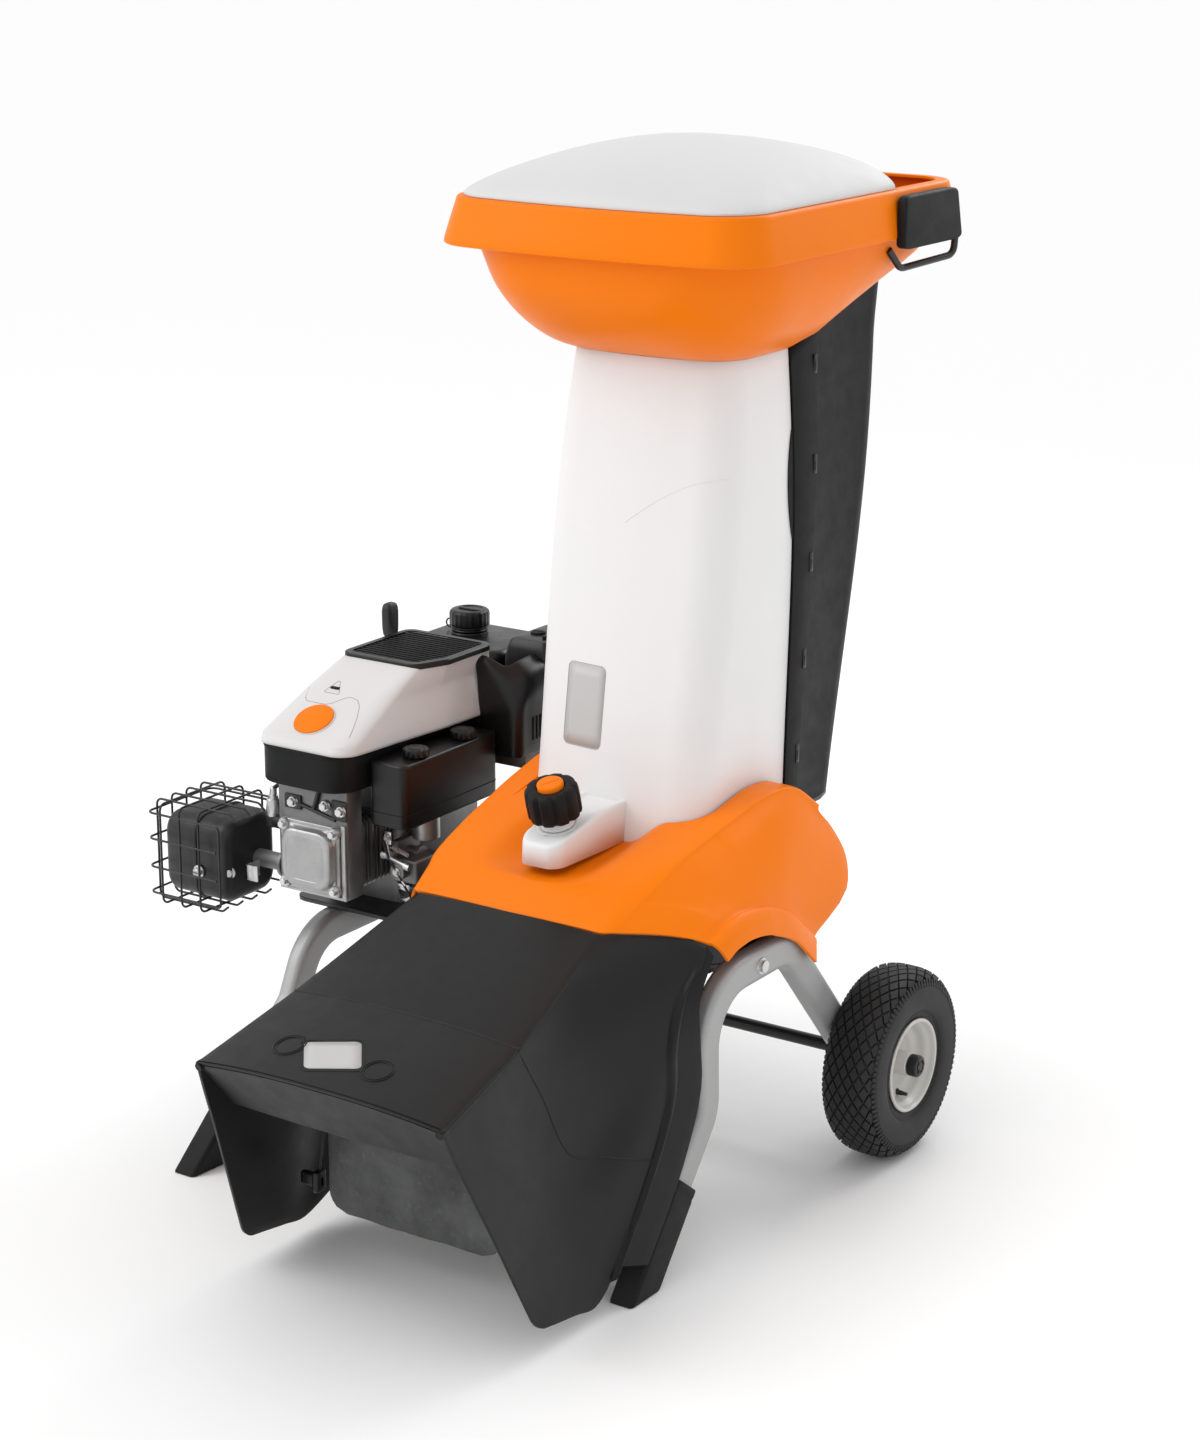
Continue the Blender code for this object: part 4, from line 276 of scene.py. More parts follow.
def cast_metal(name, base, roughness, depth=0.0004):
    """Sand or die cast metal: pebbled skin, darker in pits, brighter where it stands proud."""
    n = Nodes(name)
    pebble = n.noise(420.0, 5.0, 0.6)
    broad = n.noise(26.0, 4.0, 0.6)
    oil = n.noise(9.0, 5.0, 0.7)
    tone = n.mix(n.spread(broad, 0.3, 0.7, 0.0, 1.0), tint(base, 0.86), tint(base, 1.1))
    tone = n.mix(n.spread(oil, 0.58, 0.75, 0.0, 0.5), tone, tint(base, 0.6))
    edge = n.add("ShaderNodeNewGeometry").outputs["Pointiness"]
    tone = n.mix(n.spread(edge, 0.53, 0.6, 0.0, 0.6), tone, tint(base, 1.45))
    n.set(Base_Color=tone, Metallic=0.85,
          Roughness=n.spread(pebble, 0.3, 0.7, roughness - 0.08, roughness + 0.08))
    n.set(Normal=n.bump(pebble, depth, 0.5))
    return n.look


def brushed(name, base, roughness, stretch):
    """Turned or rolled bright steel with fine lines along one way."""
    n = Nodes(name)
    lines = n.noise(300.0, 3.0, 0.6, stretch)
    stain = n.noise(18.0, 4.0, 0.6)
    tone = n.mix(n.spread(stain, 0.35, 0.7, 0.0, 1.0), tint(base, 0.9), tint(base, 1.06))
    n.set(Base_Color=tone, Metallic=1.0,
          Roughness=n.spread(lines, 0.3, 0.7, roughness - 0.07, roughness + 0.1))
    n.set(Normal=n.bump(lines, 0.00006, 0.5))
    return n.look


def rubbery(name, base, roughness, blotch=0.1, scale=22.0):
    """Vulcanised rubber: dull skin, bloom and dust."""
    n = Nodes(name)
    bloom = n.noise(scale, 6.0, 0.65)
    skin = n.noise(700.0, 3.0, 0.6)
    dust = n.noise(90.0, 5.0, 0.7)
    tone = n.mix(n.spread(bloom, 0.35, 0.68, 0.0, 1.0), tint(base, 1 - blotch),
                 tint(base, 1 + blotch))
    tone = n.mix(n.spread(dust, 0.58, 0.78, 0.0, 0.5), tone, tint(base, 1.0 + 3 * blotch))
    n.set(Base_Color=tone, Roughness=n.spread(bloom, 0.3, 0.7, roughness - 0.06, roughness + 0.06))
    n.set(Normal=n.bump(skin, 0.00025, 0.5), IOR=1.45)
    return n.look


def make_looks():
    s = shells()
    m = metals()
    dark = tuple(s.dark)
    LOOKS.update({
        "orange": moulded("orange moulding", tuple(s.orange), 1 - s.gloss, 0.0011, 0.000012, 0.0,
                          0.02, 0.12),
        "light": moulded("light grey moulding", tuple(s.light), 0.44, 0.0011, 0.00001, 0.03, 0.012),
        "engine_light": moulded("engine cowl moulding", tuple(s.engine_light), 0.42, 0.0015,
                                0.000006, 0.0, 0.012, 0.24),
        # Painted shade: the splash guard takes the light grey darkened to 0.82, a shaded copy that
        # holds down its upward face, which catches more light than the chute front.
        "dome": moulded("splash guard moulding with painted shade", tint(s.light, 0.82), 0.55, 0.002, 0.0, 0.0, 0.008,
                        0.16),
        "dark": moulded("dark grained moulding", dark, 0.5, s.grain, 0.00008, 0.0, 0.1, 0.17),
        "hood": moulded("hood moulding", dark, 0.38, s.grain * 1.2, 0.00003, 0.0, 0.06, 0.25),
        "panel": moulded("chute rear moulding", dark, 0.5, s.grain * 1.2, 0.00004, 0.0,
                         0.06, 0.12),
        "satin": moulded("satin black moulding", tint(dark, 0.62), 0.34, s.grain, 0.00004, 0.1,
                         0.12),
        "tube": coated("silver powder coat", tuple(m.tube), 0.42, 0.0016, 0.25, 0.35),
        "rim": coated("rim paint", tuple(m.rim), 0.36, 0.002, 0.1, 0.1),
        "black_coat": coated("black powder coat", tuple(m.black), 0.4, 0.0013),
        "hot_black": coated("heat resistant black", tint(m.black, 0.9), 0.48, 0.0008),
        "chamber": coated("chamber paint", tint(m.black, 1.7), 0.48, 0.0012),
        "casting": cast_metal("bare casting", tuple(m.casting), 0.42),
        "block": cast_metal("engine casting", tint(m.casting, 0.5), 0.48, 0.0006),
        "iron": cast_metal("flywheel iron", tint(m.casting, 0.55), 0.5),
        "bright": brushed("bright steel", tuple(m.bright), 0.28, (1, 1, 0.04)),
        "zinc": brushed("zinc plate", tint(m.bright, 1.1), 0.34, (1, 1, 1)),
        "tyre": rubbery("tyre rubber", tuple(bpy.context.scene.shredder_tyres.rubber), 0.62),
        "rubber": rubbery("black rubber", (0.014, 0.014, 0.015), 0.5),
        "curtain": rubbery("curtain rubber", (0.068, 0.069, 0.07), 0.55, 0.55, 11.0),
        "plate": moulded("blank plate", (0.5, 0.5, 0.495), 0.35, 0.002, 0.00001, 0.1, 0.01),
        "plate_line": moulded("plate line", (0.3, 0.3, 0.31), 0.4, 0.002, 0.00001, 0.0, 0.02),
        "rope": rubbery("starter rope", (0.05, 0.05, 0.052), 0.8, 0.3, 400.0),
    })


# Modelling


def added(name, data):
    """An object in the scene for a mesh, a curve, a lamp or a camera."""
    made = bpy.data.objects.new(name, data)
    bpy.context.scene.collection.objects.link(made)
    return made


def finished(name, mesh, look, body, replaces):
    """A piece with its finish, on its body, with the CAD nodes it replaces hidden."""
    piece = added(name, mesh)
    mesh.materials.clear()
    mesh.materials.append(LOOKS[look])
    mesh.shade_smooth()
    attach(piece, body)
    if replaces:
        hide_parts(*replaces)
    return piece


def keep(name, bm, look, body, replaces=(), sharp=35.0, move=True):
    """Turn a bmesh in machine coordinates into a finished piece on its body."""
    if move:
        bmesh.ops.translate(bm, vec=ORIGIN, verts=bm.verts)
    mesh = bpy.data.meshes.new(name)
    bm.to_mesh(mesh)
    bm.free()
    piece = finished(name, mesh, look, body, replaces)
    mesh.set_sharp_from_angle(angle=math.radians(sharp))
    return piece


def body_of_node(node):
    return body_of(frame["nodes"][node])[0]


def soften(piece, width, segments=2, angle=35.0, name="soft edges"):
    """Round the sharp edges of a piece."""
    step = piece.modifiers.new(name, "BEVEL")
    step.width = width
    step.segments = segments
    step.limit_method = "ANGLE"
    step.angle_limit = math.radians(angle)
    step.harden_normals = False


def cad_copy(node):
    """A merged copy of a CAD node's mesh, with its flat faces whole again."""
    bm = bmesh.new()
    bm.from_mesh(frame["nodes"][node].data)
    bmesh.ops.remove_doubles(bm, verts=bm.verts, dist=2e-6)
    bmesh.ops.dissolve_limit(bm, angle_limit=math.radians(0.6), verts=bm.verts, edges=bm.edges)
    return bm


def dressed(node, look, width=0.0008):
    """The node's own form with soft edges and its finish."""
    piece = keep(node + "_skin", cad_copy(node), look, body_of_node(node), (node,),
                 move=False)
    if width:
        soften(piece, width, angle=38.0)


def finish_node(node, look):
    """A CAD node that shows as it is, in its own finish."""
    made = frame["nodes"][node]
    made.data.materials.clear()
    made.data.materials.append(LOOKS[look])


def turning(axis):
    return Vector((0, 0, 1)).rotation_difference(Vector(axis)).to_matrix().to_4x4()


def turned(bm, profile, at, axis=(0, 0, 1), steps=48):
    """Spin a profile of (radius, height) pairs about an axis through a point."""
    verts = [bm.verts.new((r, 0.0, h)) for r, h in profile]
    edges = [bm.edges.new(pair) for pair in zip(verts, verts[1:])]
    bmesh.ops.spin(bm, geom=verts + edges, cent=(0, 0, 0), axis=(0, 0, 1), dvec=(0, 0, 0),
                   angle=2 * math.pi, steps=steps, use_merge=True, use_duplicate=False)
    fresh = set(verts)
    for face in {f for v in verts for f in v.link_faces}:
        fresh.update(face.verts)
    todo = list(fresh)
    while todo:
        v = todo.pop()
        for e in v.link_edges:
            other = e.other_vert(v)
            if other not in fresh:
                fresh.add(other)
                todo.append(other)
    fresh = [v for v in fresh if v.is_valid]
    bmesh.ops.transform(bm, matrix=Matrix.Translation(Vector(at)) @ turning(axis), verts=fresh)
    bmesh.ops.remove_doubles(bm, verts=fresh, dist=1e-6)


def drum(radius, height):
    """The profile of a round bar with bevelled ends."""
    edge = 0.001
    return [(0.0, 0.0), (radius - edge, 0.0), (radius, edge), (radius, height - edge),
            (radius - edge, height), (0.0, height)]


def new_turned(profile, at, axis=(0, 0, 1), steps=48):
    """A bmesh with one spun profile."""
    bm = bmesh.new()
    turned(bm, profile, at, axis, steps)
    bmesh.ops.recalc_face_normals(bm, faces=bm.faces)
    return bm


def block(bm, low, high, width=0.0, segments=2):
    """A cube between two corners, with its edges rounded."""
    low, high = Vector(low), Vector(high)
    made = bmesh.ops.create_cube(bm, size=1.0)["verts"]
    bmesh.ops.scale(bm, vec=high - low, verts=made)
    bmesh.ops.translate(bm, vec=(low + high) / 2, verts=made)
    if width:
        edges = list({e for v in made for e in v.link_edges})
        bmesh.ops.bevel(bm, geom=edges, offset=width, offset_type="OFFSET", segments=segments,
                        profile=0.5, affect="EDGES", material=-1)


def rod(bm, start, end, radius, steps=12):
    """A round bar between two points."""
    start, end = Vector(start), Vector(end)
    way = end - start
    at = Matrix.Translation((start + end) / 2) @ turning(way.normalized())
    bmesh.ops.create_cone(bm, cap_ends=True, segments=steps, radius1=radius, radius2=radius,
                          depth=way.length, matrix=at)


WASHER = 0.0012


def bolt(bm, at, axis, radius=0.005, head=0.004, washer=1.5):
    """Hexagon head with its washer, seated at a point."""
    place = Matrix.Translation(Vector(at)) @ turning(axis)
    for sides, low, high, depth, middle in (
            (28, radius * washer, radius * washer * 0.96, WASHER, WASHER / 2),
            (6, radius, radius, head, WASHER + head / 2),
            (24, radius * 0.86, radius * 0.74, 0.0008, WASHER + head + 0.0002)):
        bmesh.ops.create_cone(bm, cap_ends=True, segments=sides, radius1=low, radius2=high,
                              depth=depth, matrix=place @ Matrix.Translation((0, 0, middle)))


def arc(centre, start, end, steps):
    return [centre + start.slerp(end, i / steps).normalized() * start.length
            for i in range(steps + 1)]


def rounded(points, radius, steps=6):
    """A path through corner points with an arc at each inner corner."""
    points = [Vector(p) for p in points]
    out = [points[0]]
    for before, corner, after in zip(points, points[1:], points[2:]):
        a = (before - corner).normalized()
        b = (after - corner).normalized()
        half = a.angle(b) / 2
        if half > 1.55:
            out.append(corner)
            continue
        reach = radius / math.tan(half)
        middle = corner + (a + b).normalized() * (radius / math.sin(half))
        out += arc(middle, corner + a * reach - middle, corner + b * reach - middle, steps)
    out.append(points[-1])
    return out


def wires(name, paths, radius, look, body, replaces=(), closed=False, sides=3):
    """Round wires along paths, as one piece."""
    curve = bpy.data.curves.new(name, "CURVE")
    curve.dimensions = "3D"
    curve.bevel_depth = radius
    curve.bevel_resolution = sides
    curve.use_fill_caps = True
    for path in paths:
        spline = curve.splines.new("POLY")
        spline.points.add(len(path) - 1)
        for point, at in zip(spline.points, path):
            point.co = (*(Vector(at) + ORIGIN), 1.0)
        spline.use_cyclic_u = closed
        spline.use_smooth = True
    holder = added(name + "_path", curve)
    bpy.context.view_layer.update()
    mesh = bpy.data.meshes.new_from_object(holder.evaluated_get(
        bpy.context.evaluated_depsgraph_get()))
    bpy.data.objects.remove(holder)
    mesh.name = name
    return finished(name, mesh, look, body, replaces)


def risen(bm, loops, closed=True):
    """Extrude a loop of points through the following loops. Returns the last loop's vertices."""
    row = [bm.verts.new(p) for p in loops[0]]
    pairs = list(zip(row, row[1:] + row[:1] if closed else row[1:]))
    edges = [bm.edges.new(pair) for pair in pairs]
    for points in loops[1:]:
        made = bmesh.ops.extrude_edge_only(bm, edges=edges)["geom"]
        fresh = {v for v in made if isinstance(v, bmesh.types.BMVert)}
        after = []
        for old, point in zip(row, points):
            new = next(e.other_vert(old) for e in old.link_edges if e.other_vert(old) in fresh)
            new.co = point
            after.append(new)
        row = after
        edges = [bm.edges.get(pair) for pair in zip(row, row[1:] + row[:1] if closed else row[1:])]
    return row


def solid(loops):
    """A closed skin over closed loops of points."""
    bm = bmesh.new()
    last = risen(bm, loops)
    bm.verts.ensure_lookup_table()
    bm.faces.new(bm.verts[:len(loops[0])])
    bm.faces.new(last)
    bmesh.ops.recalc_face_normals(bm, faces=bm.faces)
    return bm


def sheet_of(rows, closed, centre):
    """An open skin over rows of points, facing away from a point."""
    bm = bmesh.new()
    risen(bm, rows, closed)
    outward(bm, centre)
    return bm


def wall(piece, thick, offset=-1.0):
    step = piece.modifiers.new("wall", "SOLIDIFY")
    step.thickness = thick
    step.offset = offset
    step.use_even_offset = False
    step.use_rim = True


def lerp(a, b, t):
    return a + (b - a) * t


def ease(t):
    return t * t * (3 - 2 * t)


def plan(left, right, front, rear, corner, steps=8):
    """A rounded rectangle seen from above, anticlockwise from the front right corner."""
    out = []
    for cx, cy, start in ((right - corner, front + corner, -90), (right - corner, rear - corner, 0),
                          (left + corner, rear - corner, 90), (left + corner, front + corner, 180)):
        for i in range(steps + 1):
            turn = math.radians(start + 90 * i / steps)
            out.append((cx + corner * math.cos(turn), cy + corner * math.sin(turn)))
    return out


def soft_box(name, low, high, corner, edge, look, body, replaces=()):
    """A moulded box with rounded corners and edges."""
    steps = 6
    turns = [math.radians(90 * i / steps) for i in range(steps + 1)]
    loops = [(edge * (1 - math.sin(turn)), low[2] + edge * (1 - math.cos(turn)))
             for turn in turns]
    loops += [(edge * (1 - math.cos(turn)), high[2] - edge * (1 - math.sin(turn)))
              for turn in turns]
    rings = []
    for inset, z in loops:
        ring = plan(low[0] + inset, high[0] - inset, low[1] + inset, high[1] - inset,
                    max(corner - inset, 0.0008))
        rings.append([(x, y, z) for x, y in ring])
    bm = solid(rings)
    return keep(name, bm, look, body, replaces)


def flow(points, steps, closed=False):
    """A smooth path through all the points, with the same number of steps between each two."""
    points = [Vector(p) for p in points]
    count = len(points)
    out = []
    for i in range(count if closed else count - 1):
        b, c = points[i], points[(i + 1) % count]
        a = points[i - 1] if i or closed else b * 2 - c
        d = points[(i + 2) % count] if i + 2 < count or closed else c * 2 - b
        gaps = [max((q - p).length, 1e-6) ** 0.5 for p, q in ((a, b), (b, c), (c, d))]
        t1, t2, t3 = gaps[0], gaps[0] + gaps[1], sum(gaps)
        for k in range(steps):
            t = lerp(t1, t2, k / steps)
            near = a.lerp(b, t / t1).lerp(b.lerp(c, (t - t1) / gaps[1]), t / t2)
            far = b.lerp(c, (t - t1) / gaps[1]).lerp(c.lerp(d, (t - t2) / gaps[2]),
                                                     (t - t1) / (t3 - t1))
            out.append(near.lerp(far, (t - t1) / gaps[1]))
    if not closed:
        out.append(points[-1])
    return out


def net(rows, across, along, before=False, after=False):
    """A fine grid through a coarse one. before and after drop a row that only guides the ends."""
    fine = [flow(row, across) for row in rows] if across > 1 else [[Vector(p) for p in r]
                                                                   for r in rows]
    columns = [flow(column, along) for column in zip(*fine)]
    made = [list(row) for row in zip(*columns)]
    return made[along if before else 0:len(made) - along if after else None]


def ribbed(table, radius, count, each, wave_of):
    """Rings of a ribbed knob at its own origin, from rows of (height, radius share, wave)."""
    rows = []
    for height, scale, wave in table:
        ring = []
        for i in range(count * each):
            turn = 2 * math.pi * i / (count * each)
            r = radius * scale * (1 + wave * wave_of(math.cos(count * turn)))
            ring.append(Vector((r * math.cos(turn), r * math.sin(turn), height)))
        rows.append(ring)
    return rows


def bridge(bm, low, high):
    """Faces between two closed loops of vertices."""
    for a, b, c, d in zip(low, low[1:] + low[:1], high[1:] + high[:1], high):
        bm.faces.new((a, b, c, d))


def outward(bm, centre):
    """Turn a sheet's faces away from a point."""
    bmesh.ops.recalc_face_normals(bm, faces=bm.faces)
    centre = Vector(centre)
    lean = sum(f.normal.dot(f.calc_center_median() - centre) * f.calc_area() for f in bm.faces)
    if lean < 0:
        bmesh.ops.reverse_faces(bm, faces=bm.faces)


def section(thick, deep, edge):
    """The rounded outline of a tube."""
    return plan(-thick / 2, thick / 2, -deep / 2, deep / 2, edge, 7)


def carried(path, outline, side):
    """Loops of a section carried along a path, its x along side."""
    loops = []
    side = Vector(side)
    for i, at in enumerate(path):
        along = path[min(i + 1, len(path) - 1)] - path[max(i - 1, 0)]
        along.normalize()
        across = (side - along * side.dot(along)).normalized()
        up = along.cross(across)
        loops.append([at + across * x + up * y for x, y in outline])
    return loops


def ring_at(corners, radius, z):
    """A closed ring with rounded corners at one height, from plan corners."""
    out = []
    for i, corner in enumerate(corners):
        at = Vector((*corner, z))
        a = (Vector((*corners[i - 1], z)) - at).normalized()
        b = (Vector((*corners[(i + 1) % len(corners)], z)) - at).normalized()
        half = a.angle(b) / 2
        middle = at + (a + b).normalized() * (radius / math.sin(half))
        reach = radius / math.tan(half)
        out += arc(middle, at + a * reach - middle, at + b * reach - middle, 8)
    return out


def box_plan(left, right, front, rear):
    return [(left, front), (right, front), (right, rear), (left, rear)]


def shapes(name, look, body, build, replaces=(), sharp=35.0):
    """A piece made of several closed parts, added by a function."""
    bm = bmesh.new()
    build(bm)
    bmesh.ops.recalc_face_normals(bm, faces=bm.faces)
    return keep(name, bm, look, body, replaces, sharp)


RAY_BACK = 0.3


def on_surface(piece, points, way, lift=0.0):
    """Points moved along a direction on to a finished piece, in machine coordinates."""
    tree = BVHTree.FromObject(piece, bpy.context.evaluated_depsgraph_get())
    way = Vector(way).normalized()
    out = []
    for p in points:
        at, normal = tree.ray_cast(Vector(p) + ORIGIN - way * RAY_BACK, way)[:2]
        if at is None:
            raise RuntimeError("no surface of %s under %s" % (piece.name, tuple(p)))
        normal = normal if normal.dot(way) < 0 else -normal
        out.append(at + normal * lift - ORIGIN)
    return out


def divided(outline, pitch):
    """A closed outline with points along its straight stretches, at most about pitch apart."""
    out = []
    for a, b in zip(outline, outline[1:] + outline[:1]):
        count = max(1, round(math.dist(a, b) / pitch))
        out += [(lerp(a[0], b[0], i / count), lerp(a[1], b[1], i / count)) for i in range(count)]
    return out


LABEL_PITCH = 0.004


def label(name, piece, low, high, corner, look, body, lift):
    """A blank plate with rounded corners on a surface that faces front, between (x, z) corners."""
    way = (0, 1, 0)
    rings = []
    middle = Vector(((low[0] + high[0]) / 2, 0, (low[1] + high[1]) / 2))
    outline = divided(plan(low[0], high[0], low[1], high[1], corner, 5), LABEL_PITCH)
    for scale in (1.0, 0.66, 0.33):
        ring = [Vector((lerp(middle.x, x, scale), -0.6, lerp(middle.z, z, scale)))
                for x, z in outline]
        rings.append(on_surface(piece, ring, way, lift))
    bm = bmesh.new()
    last = risen(bm, rings, True)
    bm.faces.new(last)
    outward(bm, rings[0][0] + Vector(way) * 0.5)
    wall(keep(name, bm, look, body), lift * 0.9)


# Wheels

WHEEL_X = middle_of("tyre_right").x - ORIGIN.x
TYRE_HALF = (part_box("tyre_right")[1].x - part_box("tyre_right")[0].x) / 2
BEAD = 0.06
TREAD_HALF = 0.047
LUG_START = 0.04
SIDES = (("right", 1), ("left", -1))


def tyre_profile():
    """The tyre's outer skin as (radius, offset outward), from bead to bead."""
    r = WHEEL_RADIUS
    h = TYRE_HALF
    side = [(BEAD + 0.0004, -0.03), (BEAD + 0.004, -0.0322), (BEAD + 0.01, -0.034),
            (BEAD + 0.02, -0.0385), (BEAD + 0.032, -h), (r - 0.028, -h), (r - 0.018, -h + 0.0012),
            (r - 0.0095, -h + 0.0055), (r - 0.0035, -h + 0.0135), (r - 0.0006, -h + 0.025)]
    points = side + [(r, 0.0)] + [(a, -b) for a, b in reversed(side)]
    return [(p.x, p.y) for p in flow([(a, b, 0) for a, b in points], 6)]


def along_profile(profile):
    """Distance along a profile from its middle at each of its points."""
    reach = [0.0]
    for a, b in zip(profile, profile[1:]):
        reach.append(reach[-1] + math.dist(a, b))
    half = reach[-1] / 2
    return [value - half for value in reach]


def profile_at(profile, reach, s):
    """The point and outward direction of a profile at a distance from its middle."""
    i = next((k for k in range(1, len(reach)) if reach[k] >= s), len(reach) - 1)
    t = (s - reach[i - 1]) / (reach[i] - reach[i - 1])
    a, b = profile[i - 1], profile[i]
    along = Vector((b[0] - a[0], b[1] - a[1])).normalized()
    return Vector((lerp(a[0], b[0], t), lerp(a[1], b[1], t))), Vector((along.y, -along.x))


def tyre(suffix, side):
    """Carcass, tread blocks, shoulder lugs and bead lines."""
    t = bpy.context.scene.shredder_tyres
    outer = tyre_profile()
    reach = along_profile(outer)
    tread = TREAD_HALF
    centre = Vector((side * WHEEL_X, 0, WHEEL_RADIUS))
    carcass = []
    for (r, h), s in zip(outer, reach):
        point, way = profile_at(outer, reach, s)
        depth = t.block_height * ease(max(0.0, min(1.0, (tread - abs(s)) / 0.006)))
        inward = Vector((-abs(way.x), -math.copysign(abs(way.y), h)))
        carcass.append((r + inward.x * depth, h + inward.y * depth))
    inner = [(BEAD + 0.0004, 0.029), (BEAD + 0.0004, -0.029)]
    body = "wheel_" + suffix
    bm = new_turned(carcass + inner + [carcass[0]], centre, (side, 0, 0), 160)
    keep("tyre_%s_carcass" % suffix, bm, "tyre", body, ("tyre_" + suffix,), 50.0)
    place = Matrix.Translation(centre) @ turning((side, 0, 0))
    bm = bmesh.new()
    pitch = 2 * math.pi / t.blocks
    spacing = 0.015

    def spot(turn, s, sink):
        point, way = profile_at(outer, reach, s)
        way = Vector((abs(way.x), math.copysign(abs(way.y), point.y)))
        r, h = point.x - way.x * sink, point.y - way.y * sink
        return Vector((r * math.cos(turn), r * math.sin(turn), h))

    fill = 0.86
    for row in range(-5, 6):
        for i in range(t.blocks):
            turn = pitch * (i + (0.5 if row % 2 else 0.0))
            grid = []
            for sink, scale in ((t.block_height * 1.15, 1.0), (0.0, 0.93)):
                level = []
                for u in range(3):
                    for v in range(3):
                        a, b = (u - 1) * fill * scale, (v - 1) * fill * scale
                        s = (row * 2 + a + b) * spacing / 4
                        s = max(-tread + 0.0006, min(tread - 0.0006, s))
                        level.append(spot(turn + (a - b) * pitch * 0.25, s, sink))
                grid.append(level)
            verts = [[bm.verts.new(p) for p in level] for level in grid]
            border = (0, 1, 2, 5, 8, 7, 6, 3)
            bridge(bm, *[[level[k] for k in border] for level in verts])
            for u in range(2):
                for v in range(2):
                    k = u * 3 + v
                    bm.faces.new((verts[1][k], verts[1][k + 3], verts[1][k + 4], verts[1][k + 1]))
    wide = pitch * 0.105
    near, far = LUG_START, LUG_START + t.lug_length
    for edge in (-1, 1):
        for i in range(t.blocks * 3):
            turn = pitch * (i + 0.5) / 3
            levels = []
            for sink, shrink in ((0.0008, 0.0), (-0.0009, 0.0006)):
                levels.append([spot(turn + a * (wide - shrink * 4), edge * (b + c * shrink), sink)
                               for a, b, c in ((-1, near, 1), (1, near, 1), (1, far, -1),
                                               (-1, far, -1))])
            low, high = [[bm.verts.new(p) for p in level] for level in levels]
            bridge(bm, low, high)
            bm.faces.new(high)
    bmesh.ops.transform(bm, matrix=place, verts=bm.verts)
    bmesh.ops.recalc_face_normals(bm, faces=bm.faces)
    keep("tyre_%s_tread" % suffix, bm, "tyre", body, (), 28.0)
    rings = []
    for radius in (BEAD + 0.0125, BEAD + 0.015):
        for face in (1, -1):
            loop = [spot_on_wall(outer, radius, face, 2 * math.pi * i / 96) for i in range(96)]
            rings.append([place @ p for p in loop])
    wires("tyre_%s_bead_lines" % suffix, rings, 0.0006, "tyre", body, (), True, 2)


def spot_on_wall(outer, radius, face, turn):
    """A point on the tyre's side wall at a radius."""
    pairs = [(a, b) for a, b in zip(outer, outer[1:]) if min(a[0], b[0]) <= radius <= max(a[0],
                                                                                          b[0])
             and a[1] * face > 0]
    a, b = pairs[0]
    t = (radius - a[0]) / (b[0] - a[0])
    return Vector((radius * math.cos(turn), radius * math.sin(turn), lerp(a[1], b[1], t)))


